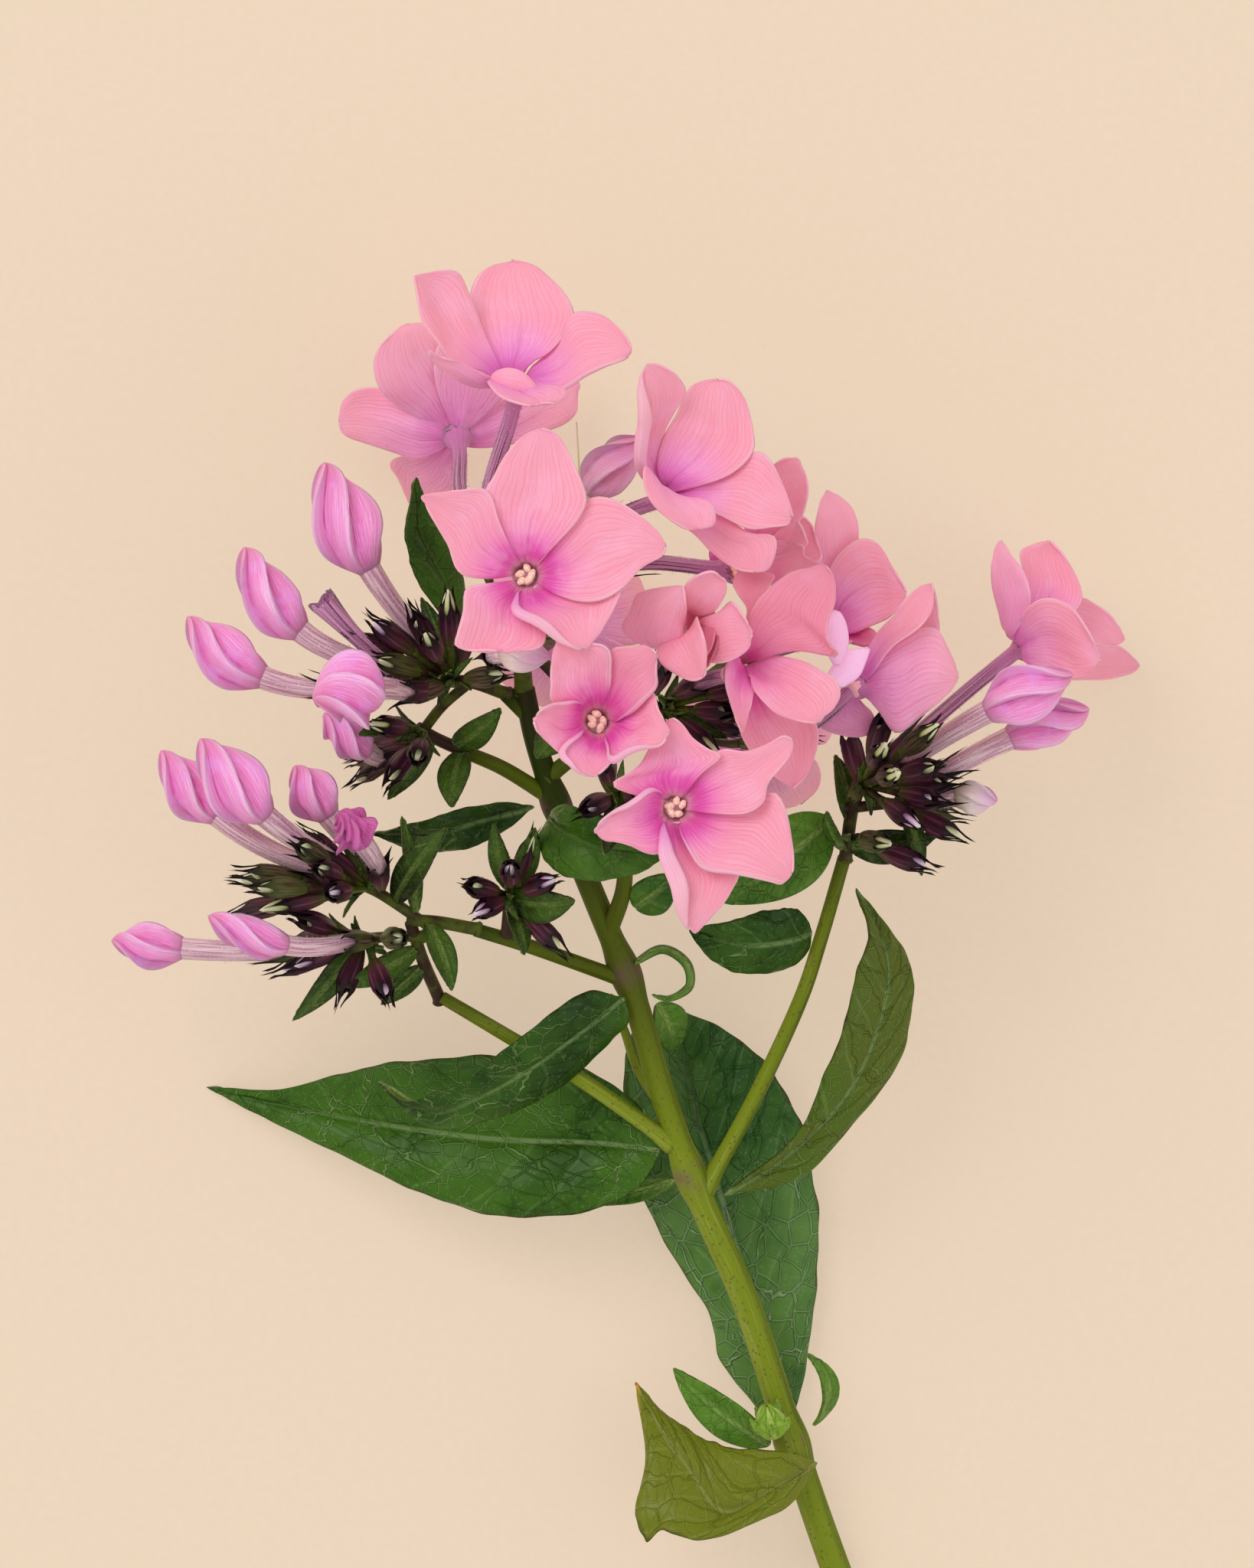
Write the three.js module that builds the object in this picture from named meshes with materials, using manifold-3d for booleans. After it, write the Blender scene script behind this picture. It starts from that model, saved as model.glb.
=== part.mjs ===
// A cut stem of garden phlox in flower, lying down. Millimetres, +Z up. The origin is the small flat
// underneath the cut end of the stem, +Y runs up the stem, and the leafy crown spreads to both sides.
import * as THREE from 'three';
import { mergeVertices } from 'three/addons/utils/BufferGeometryUtils.js';
import Module from 'manifold-3d';

const wasm = await Module();
wasm.setup();

// ---------------------------------------------------------------- driving dimensions

const STEM_RADIUS = 2.1;
const STEM_TOP_RADIUS = 1.35;
const STEM_SIDES = 9;
const STEM_STEPS = 22;
const NODE_SWELLING = 0.55;
const NODE_HALF_LENGTH = 4;
const STALK_SIDES = 5;
const BRANCH_STEPS = 4;

const PETAL_THICKNESS = 0.8;
const PETAL_CLAW = 0.15;
const CLAW_OFFSET = 0.9;
const PETAL_WIDEST = 0.62;
const PETAL_ROWS = [0, 0.34, 0.64, 0.88, 1];
const EDGED_ROWS = [0, 0.25, 0.5, 0.74, 0.91, 1];
const PETAL_DISH = 0.12;
const CLAW_HALF = 0.6;
const CLAW_ENDS = 0.25;
const UNDERLAP = 1;
const UNDERLAP_ENDS = 0.6;
const TUBE_RADIUS = 0.95;
const TUBE_STEPS = 3;
const TUBE_BEND = 0.35;
const THROAT_RADIUS = 1.5;
const THROAT_DEPTH = 1.2;

const BUD_TUBE_RADIUS = 1.1;
const BUD_NECK_RADIUS = 1.55;
const BUD_NECK_SHARE = 0.56;
const BUD_PLEATS = 5;
const BUD_PLEAT_DEPTH = 0.13;
const BUD_TWIST = 1.1;
const BUD_NECK = 0.95;
const BUD_ROWS = [0.16, 0.4, 0.66, 0.87];

const CALYX_LENGTH = 6;
const CALYX_RADIUS = 1.75;
const CALYX_BASE = 0.5;
const CALYX_INNER = 0.8;
const TOOTH_LENGTH = 4.2;
const TOOTH_SPREAD = 1.15;
const TEETH = 5;
const YOUNG_TEETH = 4;
const YOUNG_RADIUS = 1.5;
const TINY_BUD_HEIGHT = 1.7;
const PEDICEL_RADIUS = 0.5;
const SEAT_GAP = 0.35;

const LEAF_THICKNESS = 0.8;
const LEAF_FOLD = 0.28;
const LEAF_ROWS = [0, 0.12, 0.26, 0.4, 0.55, 0.7, 0.85, 1];
const LEAF_COLUMNS = [-1, -0.5, 0, 0.5, 1];
const SMALL_LEAF_ROWS = [0, 0.2, 0.45, 0.72, 1];
const BRACT_ROWS = [0, 0.35, 0.7, 1];
const NARROW_COLUMNS = [-1, 0, 1];

const GROUND_BLOCK = [400, 500, 20];
const CLEARANCE = 0.3;
const LEAST_OVERLAP = 1e-4;

// ---------------------------------------------------------------- colours and finishes

const finish = (color, roughness) => new THREE.MeshStandardMaterial({ color, roughness, metalness: 0 });

const FINISHES = {
  stem: () => finish(0x78913a, 0.55),
  cyme: () => finish(0x4a2836, 0.6),
  petal: () => finish(0xf99fc0, 0.5),
  bud: () => finish(0xe487be, 0.5),
  leaf: () => finish(0x2f6a30, 0.45),
  youngLeaf: () => finish(0x5f8433, 0.5),
};

// ---------------------------------------------------------------- where everything grows

// The main stem, from the cut end to the crown, and the places of its swollen nodes.
const STEM_LINE = [
  [1.6, -5, 1.75], [-2.4, 7, 1.8], [-6.3, 17, 3.5], [-11.5, 32, 6.5], [-18, 52, 11], [-24.5, 67, 15],
  [-29, 79.5, 18], [-33.5, 94.5, 22], [-38.5, 107, 25.5], [-43, 118, 29], [-46, 127, 32], [-47.5, 134, 35],
];
const STEM_NODES = [[-12, 34, 7], [-25.5, 70, 15.5], [-34.2, 97, 22.6], [-43.3, 119, 29.4]];

// Branches that grow from the stem in one piece with it: [points, radius at the root, at the tip].
const BRANCHES = [
  [[[-28, 74, 16.6], [-40, 82.5, 21], [-50, 88.5, 22.5], [-58.5, 93.5, 22]], 1.1, 0.85],
  [[[-33.6, 95.5, 22.3], [-46, 100, 27], [-54, 102.5, 28.5]], 1.05, 0.9],
  [[[-43.6, 119.5, 29.8], [-50, 123.5, 31], [-55, 125.7, 30.5]], 1.05, 0.9],
  [[[-46.6, 130, 33.2], [-50, 133.3, 35]], 1.0, 0.9],
  [[[-24, 67.5, 15], [-17.5, 79.5, 19], [-11.5, 92.5, 23], [-8.5, 101.5, 25], [-5.5, 112, 27]], 1.1, 0.9],
  [[[-36.5, 102, 24], [-34.5, 108, 30], [-34.5, 115, 36.5]], 1.2, 0.95],
  [[[-44.4, 122.5, 30.6], [-38.5, 127.3, 33]], 1.1, 0.95],
  [[[-28.6, 78, 17.6], [-32.5, 83.5, 13], [-34.5, 89, 11], [-36.5, 93.5, 10]], 0.75, 0.5],
];

// Each flower head: its own axes, the hubs its flower stalks leave from, calyces that hold only a tiny
// bud [hub, mouth], and its small leaves [base, tip, width, up, arch].
const CYMES = {
  cyme_crown: {
    axes: [
      [[[-47.6, 134.5, 35.5], [-47.8, 138, 39.5], [-47.5, 140, 43]], 1.3, 1.1],
      [[[-38, 127.7, 33.3], [-33, 131, 36], [-29, 131.5, 38]], 0.95, 0.9],
      [[[-34.5, 115.8, 37.2], [-35, 119, 41], [-35, 120.5, 44]], 0.95, 0.85],
      [[[-38.2, 127.5, 33.2], [-41, 133, 37], [-46.5, 139, 41]], 0.8, 0.8],
      [[[-38.2, 127.5, 33.2], [-37, 122.5, 38], [-35.2, 119.5, 41]], 0.8, 0.8],
    ],
    hubs: { top: [-47.5, 140, 43], right: [-29.5, 131.5, 38], low: [-35, 120.5, 44] },
    young: [
      ['top', [-42, 147, 51]], ['right', [-20, 134, 51]], ['right', [-21.5, 131, 48]],
      ['low', [-39, 118.5, 52]], ['right', [-24, 127, 45]], ['right', [-20, 129, 42]],
    ],
    bracts: [
      [[-35, 120.5, 44], [-37, 112.5, 56], 3.2, [0, -0.3, 1], 0.1],
      [[-30, 130, 39], [-21, 127.5, 43], 3, [0, 0, 1], 0.08],
      [[-41, 131, 37], [-46, 125, 43], 5.5, [-0.2, -0.3, 1], 0.12],
    ],
  },
  cyme_upper_left: {
    axes: [
      [[[-50.5, 133.6, 35.3], [-54, 134.8, 37], [-57, 135, 38]], 0.9, 0.85],
      [[[-55.6, 126, 30.4], [-59, 127.5, 31.5], [-61.5, 129, 33]], 0.9, 0.8],
      [[[-54.5, 134.9, 37.2], [-58, 132, 35.5], [-60.5, 129, 33]], 0.7, 0.7],
    ],
    hubs: { high: [-57, 135, 38], low: [-60.5, 128.6, 32.6] },
    young: [
      ['high', [-57.2, 144.1, 46]], ['high', [-61.3, 142.6, 45]], ['high', [-65.7, 141.6, 47]],
      ['high', [-67.9, 139.9, 46]], ['high', [-64.9, 137.3, 47]], ['high', [-51.3, 135.7, 45]],
      ['high', [-62.5, 139.8, 34]], ['high', [-61.2, 133.3, 44]], ['high', [-59.7, 140.2, 50]],
      ['high', [-55, 141.8, 36]], ['low', [-68, 123.2, 28]], ['low', [-68.9, 125.2, 22]],
      ['low', [-65.8, 129.2, 42]], ['low', [-64.4, 123, 40]], ['low', [-66.2, 127.5, 25]],
      ['low', [-61.3, 125.2, 43]],
    ],
    bracts: [
      [[-56.5, 127, 32], [-50.5, 131.5, 38], 4, [0, -0.4, 1], 0.12],
      [[-60, 127, 31.5], [-65.5, 119.5, 30], 3.4, [0, 0, 1], 0.1],
      [[-55, 125, 31], [-57, 118.5, 36], 4.5, [-0.3, 0, 1], 0.14],
      [[-62, 130, 34], [-69, 128, 43], 3, [0, 0.3, 1], 0.1],
      [[-57, 136.5, 38.5], [-61, 146, 37], 3.4, [0.3, 0, 1], 0.1],
    ],
  },
  cyme_lower_left: {
    axes: [
      [[[-59.1, 93.9, 22], [-61, 98.5, 25], [-62.5, 103.4, 29.2]], 0.9, 0.8],
      [[[-54.6, 102.7, 28.6], [-59, 103.5, 29.4], [-63, 103.8, 29.7]], 0.9, 0.8],
      [[[-61, 103.6, 29.5], [-66, 107, 32], [-69, 108.5, 33]], 0.75, 0.7],
      [[[-61.8, 101.6, 27.8], [-66, 101.5, 28], [-69, 101.3, 28.5]], 0.75, 0.7],
    ],
    hubs: { high: [-68, 108, 32.6], low: [-68.5, 101.3, 28.4] },
    young: [
      ['high', [-75.8, 113.3, 46.5]], ['high', [-82.1, 109.8, 37]], ['high', [-80.6, 108.1, 42]],
      ['high', [-82.7, 108.9, 29]], ['high', [-78.7, 105.8, 38]], ['high', [-83.7, 104.9, 30]],
      ['high', [-73.6, 110.6, 47]], ['high', [-75.1, 114.2, 32]], ['high', [-72.1, 107.6, 46]],
      ['low', [-75.9, 103.8, 38]], ['low', [-75.7, 98.5, 32]], ['low', [-77.8, 97.7, 27]],
      ['low', [-70.9, 95.1, 32]], ['low', [-65.8, 94.8, 36]],
      ['low', [-76.3, 101, 20]], ['low', [-63.8, 101.6, 42]],
    ],
    bracts: [
      [[-63, 99, 27], [-71, 95, 32], 3.6, [0, -0.2, 1], 0.14],
      [[-69.5, 99.5, 29], [-78, 90.5, 30], 3.6, [0.3, 0, 1], 0.16],
      [[-60, 103.5, 30], [-57, 94.5, 33], 3.6, [0.4, 0, 1], 0.14],
      [[-61, 105, 31], [-63.5, 117.5, 36], 2.6, [0.5, 0, 1], 0.06],
      [[-64, 106, 32], [-57.5, 116, 39], 4.4, [-0.4, 0, 1], 0.12],
      [[-60.5, 97, 25.5], [-66.5, 92.5, 24], 3, [0, 0, 1], 0.1],
    ],
  },
  cyme_small_left: {
    axes: [[[[-49.8, 102.8, 30], [-49.5, 106, 33], [-49.2, 107.5, 35]], 0.8, 0.8]],
    hubs: { mid: [-49.3, 107, 34.6] },
    young: [
      ['mid', [-49.2, 110.6, 46]], ['mid', [-53.9, 108.3, 43]], ['mid', [-44.7, 108.8, 43]],
      ['mid', [-43.8, 101.2, 38]], ['mid', [-52.7, 105.3, 42]], ['mid', [-47, 112.8, 40]],
    ],
    bracts: [
      [[-49, 108, 35], [-46, 116, 42], 3.4, [0.3, 0, 1], 0.12],
      [[-49.5, 108, 35], [-51.5, 116.5, 41], 3, [-0.3, 0, 1], 0.1],
      [[-47, 106, 34], [-40.8, 106.5, 42], 5.2, [0, -0.3, 1], 0.16],
      [[-50, 105.5, 33.5], [-47.5, 99.3, 39], 3, [0.4, 0, 1], 0.12],
    ],
  },
  cyme_right: {
    axes: [
      [[[-5.3, 112.7, 27.2], [-4.6, 118, 28.5], [-3.5, 121.5, 30]], 0.9, 0.85],
      [[[-4.4, 118.5, 28.7], [0, 119, 29.5], [2, 119, 29.5]], 0.75, 0.7],
    ],
    hubs: { high: [-3.5, 121.5, 30], low: [1, 119, 29.5], lower: [-4.9, 114.6, 28] },
    young: [
      ['high', [-0.9, 129.4, 38]], ['high', [-4.9, 127.2, 29]], ['high', [-1.2, 125.7, 44]],
      ['high', [4.6, 128, 42]], ['high', [5, 123.7, 43]], ['high', [6.6, 121.8, 36]],
      ['high', [5.3, 119.6, 41]], ['low', [7.8, 115.5, 34]], ['low', [7.4, 117.7, 27]],
      ['high', [2.4, 117.2, 40]], ['lower', [3.6, 111.4, 33]], ['high', [0.2, 122.8, 46]],
      ['high', [-1.7, 124.2, 29]], ['lower', [-1, 114, 36]],
    ],
    bracts: [
      [[-5, 116, 28.5], [-6.8, 125.5, 27], 3.4, [0.5, 0, 1], 0.1],
      [[-5.8, 111.5, 28.4], [-8, 118, 34], 2.6, [-0.6, 0, 1], 0.1],
      [[-3.6, 113, 28.6], [6.5, 114.8, 30], 5, [0, -0.4, 1], 0.12],
      [[2, 118, 30.5], [4.5, 109.5, 31], 2.6, [0.3, 0, 1], 0.16],
    ],
  },
};

// Open blooms. mouth: where the tube leaves its calyx. throat: centre of the eye. faces: the way the
// eye looks. Petals are given by their tip and both edges, the left one being on the left looking outward
// from the throat with the face up, or by [tip, width, arch, cup, twist, pointedness]. lip: how far the
// right edge rolls over, or the left one where it is negative.
const BLOOMS = [
  {
    name: 'bloom_top', cyme: 'cyme_crown', hub: 'top',
    mouth: [-52.3, 154.5, 50], throat: [-48.2, 172.8, 57], faces: [0.08, 0.88, 0.46],
    petals: [
      {
        tip: [-49, 189.1, 50],
        left: [[-50.5, 176.1, 56], [-52.9, 180.1, 55], [-54.5, 183.6, 53.5], [-53.6, 186.6, 52],
          [-51.6, 188.4, 51]],
        right: [[-47.8, 175.3, 57], [-44.6, 176.9, 57.5], [-42.1, 179.8, 57], [-41.1, 182.5, 56],
          [-42.4, 185.3, 54], [-44.7, 187.7, 52], [-46.4, 188.6, 51]],
      },
      {
        tip: [-61.5, 186.7, 60],
        left: [[-52.1, 174.9, 57], [-55.6, 175.6, 59.5], [-58.5, 178.1, 61], [-60.2, 180.4, 61.5],
          [-61, 183.8, 61]],
        right: [[-50.9, 175.9, 57.5], [-52.7, 180, 57], [-54.1, 184, 56.5], [-55.7, 187.1, 56.5],
          [-58.4, 187.5, 58]],
      },
      {
        tip: [-59.4, 176.9, 66],
        left: [[-51.7, 174, 59], [-55.1, 175.5, 62.5], [-58.1, 176.3, 65]],
        right: [[-51.5, 172.4, 57], [-54.1, 172.5, 60], [-57, 173.9, 63], [-59, 175.8, 65]],
      },
      {
        tip: [-45.2, 170.1, 65.5],
        left: [[-47.8, 173.9, 58], [-45.3, 172.7, 61], [-42.3, 172.1, 63], [-41.6, 171.5, 64],
          [-43, 170.5, 65]],
        right: [[-50.2, 173.7, 58], [-51.7, 173.2, 61], [-51.2, 171.8, 64], [-49.2, 170.5, 65.5],
          [-47.2, 170, 65.7]],
      },
      {
        tip: [-33.5, 177.5, 60], lip: 1.0,
        left: [[-46.8, 174.3, 57], [-43.3, 177.6, 57.5], [-41.3, 181.6, 57.5], [-39.4, 182.4, 57.5],
          [-37, 181.9, 58], [-34.8, 179.8, 59]],
        right: [[-46.8, 173.1, 58.5], [-43.6, 171.8, 60.5], [-41.4, 172.7, 61], [-39.4, 174.2, 61],
          [-36, 175.6, 61], [-34, 176.6, 60.5]],
      },
    ],
  },
  {
    name: 'bloom_behind', cyme: 'cyme_crown', hub: 'top',
    mouth: [-54.8, 155, 35], throat: [-56.7, 168, 12], faces: [-0.15, 0.55, -0.82],
    petals: [
      {
        tip: [-63.6, 182.4, 16.5],
        left: [[-56.4, 169.8, 12], [-56.3, 174.8, 14], [-57.3, 178.8, 15.5], [-60.4, 182.3, 16.5]],
        right: [[-58.4, 168.8, 12], [-62.4, 170.8, 13], [-66.5, 173.6, 15], [-67.7, 176.8, 16],
          [-66.7, 179.8, 16.5]],
      },
      {
        tip: [-72.4, 169.9, 10.5],
        left: [[-58.2, 168.6, 12], [-62, 171.8, 12], [-66, 174, 11.5], [-69.6, 174.2, 11],
          [-71.7, 172.7, 10.8]],
        right: [[-57.6, 167, 12], [-61.5, 164.9, 11.5], [-65, 165.7, 11], [-69.1, 166.9, 10.7],
          [-71.7, 168, 10.5]],
      },
      {
        tip: [-63.2, 159.4, 0.2],
        left: [[-57.9, 166.3, 11], [-61.5, 165.3, 8], [-65.4, 164.9, 5], [-64.9, 163, 2.5]],
        right: [[-56.6, 164.8, 10], [-56.5, 160.8, 6], [-58.6, 158.3, 3], [-61.2, 157.9, 1]],
      },
      {
        tip: [-40.4, 175, 8],
        left: [[-55.2, 167, 11.5], [-50.8, 167.3, 10.5], [-46.2, 168.2, 9.5], [-42.7, 169.3, 9],
          [-40.9, 170.9, 8.5], [-40.7, 173, 8]],
        right: [[-55.1, 168.8, 12], [-51.3, 171.9, 11], [-46.2, 175, 9.5], [-42.7, 176.3, 8.5]],
      },
      [[-52, 183, 18], 12, 0.1, 0.1, 0, 0.5],
    ],
  },
  {
    name: 'bloom_front', cyme: 'cyme_crown', hub: 'top',
    mouth: [-48.3, 143.5, 56], throat: [-47, 148.2, 70], faces: [-0.05, 0.05, 1],
    petals: [
      {
        tip: [-45.1, 166.8, 70.5],
        left: [[-48.4, 151, 70.4], [-50.4, 154.1, 70.8], [-51.8, 157.8, 71], [-51, 160.9, 71],
          [-49.4, 163.7, 70.8], [-47.2, 166, 70.6]],
        right: [[-45.1, 150.6, 71], [-42.5, 153.1, 71.8], [-40.3, 155.6, 72], [-39.3, 158.2, 72],
          [-40.7, 162.1, 71.5], [-42.8, 166, 71]],
      },
      {
        tip: [-60.3, 158.2, 71.5],
        left: [[-49.4, 148.5, 70.2], [-52.3, 148.5, 70.5], [-55.1, 149.2, 70.8], [-56.9, 151.9, 71],
          [-58.5, 154.7, 71.2]],
        right: [[-48.8, 150.8, 71.2], [-50.5, 154.6, 72], [-51.9, 158.9, 72], [-55.4, 159, 72],
          [-58.1, 158.6, 71.8]],
      },
      {
        tip: [-50.5, 138.5, 73],
        left: [[-47.1, 145.8, 70.2], [-45.7, 143.6, 70.8], [-45, 141.5, 71.5], [-45.1, 138.9, 72.5]],
        right: [[-49.2, 147.1, 71], [-52.5, 146.8, 72], [-54.4, 146.1, 72.5], [-54.9, 143.4, 73],
          [-55.7, 140.8, 73.3], [-55.6, 138.9, 73.2]],
      },
      {
        tip: [-39.1, 138.8, 73.5], lip: 2.2,
        left: [[-45.1, 146.5, 70.2], [-39.8, 145.6, 71], [-35.2, 146.3, 71.5], [-35.4, 144.6, 72],
          [-37.1, 141.4, 73]],
        right: [[-47.6, 145.5, 71.2], [-48, 143.7, 72.5], [-45.7, 142, 73.5], [-42.6, 139.9, 74],
          [-40.6, 139, 74]],
      },
      {
        tip: [-29.1, 151.9, 71.5],
        left: [[-44.5, 149.5, 70.2], [-41.8, 152.7, 70.8], [-39.3, 157, 71.2], [-36.4, 158, 71.5],
          [-33, 156.2, 71.5], [-30.3, 153.9, 71.5]],
        right: [[-44.5, 146.8, 71], [-41.3, 145.3, 72], [-37.9, 145, 72.5], [-35, 146.2, 72.5],
          [-32.3, 149, 72.5], [-29.9, 150.4, 72]],
      },
    ],
  },
  {
    name: 'bloom_cupped', cyme: 'cyme_crown', hub: 'low',
    mouth: [-37, 124.3, 58], throat: [-37.9, 129.6, 67], faces: [0, 0.1, 1],
    petals: [
      {
        tip: [-42.9, 140.1, 73], lip: 0.8,
        left: [[-39.4, 131.3, 68], [-40.8, 131.7, 70], [-43.3, 132.5, 71.5], [-43.9, 135.4, 72],
          [-43.5, 138.3, 72.8]],
        right: [[-37.4, 132.2, 68], [-36.9, 135.6, 70.5], [-36.9, 138.7, 72.5], [-39.8, 139.4, 73]],
      },
      {
        tip: [-30.3, 138.2, 73.5], lip: 1.2,
        left: [[-36.9, 131.9, 67.7], [-36.4, 135.6, 69.5], [-35.9, 138.8, 71.5], [-33.5, 139, 72.5],
          [-31.9, 139.2, 73]],
        right: [[-36, 130.3, 68], [-33.2, 131.7, 70.5], [-30.8, 133.9, 72.5], [-30.5, 136, 73]],
      },
      {
        tip: [-28.7, 128.1, 73.5], lip: 1.6,
        left: [[-35.7, 130, 67.7], [-33, 131.2, 69.5], [-30.8, 133.2, 71.5], [-30.1, 131.2, 72.5],
          [-29.3, 129.6, 73]],
        right: [[-36.4, 128.3, 68], [-36, 126.4, 70], [-35.5, 124.7, 71.5], [-32.1, 126.2, 73],
          [-29.9, 126.8, 73.5]],
      },
      {
        tip: [-38.1, 122.6, 73], lip: 1.6,
        left: [[-37.4, 127.8, 67.7], [-36.9, 125.9, 69.5], [-35.9, 124.9, 71.5], [-36.9, 123.5, 72.5]],
        right: [[-38.9, 128, 68], [-40, 127.3, 70], [-42.3, 125.4, 72], [-40.8, 123.6, 73],
          [-39.3, 122.9, 73]],
      },
      {
        tip: [-46, 129.6, 73], lip: 1.0,
        left: [[-39.4, 129.3, 67.7], [-40, 127.4, 69.5], [-42.3, 125.4, 71], [-44.2, 126.9, 72],
          [-45.4, 128.1, 72.5]],
        right: [[-39.7, 130.8, 68], [-41.3, 131.5, 70.5], [-43.5, 131.5, 72.5], [-44.9, 130.9, 73]],
      },
    ],
  },
  {
    name: 'bloom_low', cyme: 'cyme_crown', hub: 'low',
    mouth: [-32.3, 119.5, 57], throat: [-27.9, 118.6, 70], faces: [0.1, 0.05, 1],
    petals: [
      {
        tip: [-28.4, 130, 70.5],
        left: [[-30.3, 120, 70.5], [-32.5, 120.4, 70.8], [-35.2, 121.7, 71], [-33, 123.5, 71],
          [-31.3, 126.1, 70.8], [-29.9, 128.8, 70.5]],
        right: [[-26.9, 120.6, 71], [-24.8, 123, 71.6], [-22.2, 125.1, 71.8], [-23.8, 126.1, 71.5],
          [-25.7, 127.5, 71.2], [-27, 129.2, 70.8]],
      },
      {
        tip: [-38.3, 115.6, 72], lip: 1.3,
        left: [[-29.3, 116.1, 70.3], [-30.1, 113.8, 71], [-32.1, 113.3, 71.5], [-34.8, 114.1, 72],
          [-36.9, 114.4, 72]],
        right: [[-29.7, 119.5, 71], [-31.1, 120.4, 73], [-32.8, 119.5, 73.5], [-34.8, 118.4, 73],
          [-36.9, 117, 72.5]],
      },
      {
        tip: [-25.4, 102.6, 71.5], lip: 3.2,
        left: [[-26.7, 115.7, 70], [-23.8, 112.7, 70.3], [-20.2, 110.3, 70.6], [-20.8, 107.9, 71],
          [-22.8, 105.2, 71.3]],
        right: [[-28.9, 116.1, 70.5], [-29.3, 112.7, 71.5], [-28.4, 109.3, 72.5], [-27.5, 105.9, 73],
          [-26.5, 103.8, 72]],
      },
      {
        tip: [-13.1, 110.3, 71.6], lip: 1.0,
        left: [[-26.2, 117.9, 70], [-21.3, 118.1, 70.3], [-16.5, 120, 70.6], [-14.7, 119.8, 71],
          [-13.6, 117.3, 71.3], [-13, 113.7, 71.5]],
        right: [[-26.9, 116.3, 71], [-25.4, 113, 72], [-23.8, 111.2, 72.5], [-19.9, 110.4, 73],
          [-16, 109.5, 72.8], [-14.1, 109.2, 72]],
      },
      {
        tip: [-13.1, 127.2, 71.5],
        left: [[-26.5, 120, 70], [-24.1, 123.2, 70.4], [-21.8, 125.5, 71], [-18.9, 125.8, 71.2],
          [-16.2, 126.8, 71.5], [-14.3, 127.7, 71.5]],
        right: [[-26, 118.6, 71], [-22.3, 118.1, 72], [-18.9, 118.1, 72.3], [-16.7, 119.4, 72.3],
          [-16.2, 121.5, 72], [-14.5, 123.7, 72], [-13.2, 125.5, 71.8]],
      },
    ],
  },
  {
    name: 'bloom_high_right', cyme: 'cyme_crown', hub: 'top',
    mouth: [-38.2, 154, 49], throat: [-28.5, 158.4, 56], faces: [0.55, 0.15, 0.8],
    petals: [
      {
        tip: [-31.5, 175.3, 64], lip: -2.8,
        left: [[-31.1, 161.3, 58], [-32.2, 163.2, 60], [-32.5, 166.1, 62], [-32.4, 170.9, 64],
          [-32, 174, 64.5]],
        right: [[-29.3, 163.3, 57.5], [-29.5, 166.7, 58.5], [-27.7, 170.1, 60], [-26.4, 171.8, 61],
          [-27.6, 173.9, 62.5], [-29.9, 175.2, 63.5]],
      },
      {
        tip: [-22.6, 173.6, 57],
        left: [[-29.5, 162.1, 57.5], [-28.5, 166.7, 58], [-27.1, 170.7, 58], [-25.8, 172.8, 57.5],
          [-24.4, 173.4, 57.2]],
        right: [[-27.6, 159.5, 58.5], [-24.2, 160.2, 59.5], [-20.7, 161.6, 59.5], [-18, 164.1, 58.5],
          [-17.8, 166.7, 58], [-18.8, 171, 57.5], [-20.7, 173.2, 57]],
      },
      {
        tip: [-13, 155.8, 60],
        left: [[-27.6, 159.8, 57.5], [-23.2, 160.7, 58], [-18, 164.1, 58.5], [-16, 163.5, 59],
          [-14.4, 160.8, 59.5], [-13.4, 158.3, 60]],
        right: [[-27.1, 158.8, 58.5], [-22.7, 156.5, 60.5], [-18.8, 154.4, 61.5], [-15.4, 154.4, 61.5],
          [-13.6, 154.8, 61]],
      },
      {
        tip: [-17.8, 148.8, 60],
        left: [[-28.1, 158.4, 58], [-23.2, 156.2, 59], [-18.8, 153.9, 60], [-15.2, 153.4, 60.5],
          [-15.1, 150.9, 60.5], [-16, 149.1, 60]],
        right: [[-29.1, 157.9, 58.5], [-27.6, 155.4, 60], [-25.7, 153.9, 60.5], [-23.2, 151.2, 60],
          [-20.5, 149.3, 60]],
      },
      {
        tip: [-25, 154.1, 65],
        left: [[-28.9, 159.3, 60], [-26.2, 158.7, 62.5], [-23.4, 157.2, 64], [-22.7, 155.6, 64.5],
          [-23.2, 154.5, 65]],
        right: [[-30.3, 160.5, 60], [-31.7, 162, 63], [-31.9, 159.2, 65], [-30.3, 156.7, 66],
          [-27.6, 154.6, 66]],
      },
    ],
  },
  {
    name: 'bloom_behind_right', cyme: 'cyme_crown', hub: 'top',
    mouth: [-35.5, 149.5, 44], throat: [-19.9, 149.6, 44], faces: [0.85, 0.1, 0.4],
    petals: [
      {
        tip: [-11.9, 163.8, 46],
        left: [[-19.3, 151.8, 44.5], [-17.6, 157.7, 44.5], [-16.1, 161.9, 45], [-14, 163.7, 46]],
        right: [[-18.3, 151.6, 45], [-14.9, 153.8, 45.5], [-11.7, 155.7, 46], [-10.6, 158.7, 46.5],
          [-10.7, 160.9, 46.5], [-11.4, 162.5, 46.5]],
      },
      {
        tip: [-12.1, 155.7, 47.5],
        left: [[-18.6, 150.3, 45], [-15.7, 153.2, 46.5], [-13.6, 155.1, 47.5]],
        right: [[-18.1, 149.6, 45.5], [-14.2, 150.7, 47], [-10.9, 152.1, 48], [-11.1, 154, 48]],
      },
      {
        tip: [-8.3, 150, 48],
        left: [[-18.3, 150, 45], [-15.2, 152.9, 46.5], [-11, 152.5, 48], [-9.5, 151.3, 48]],
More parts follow.
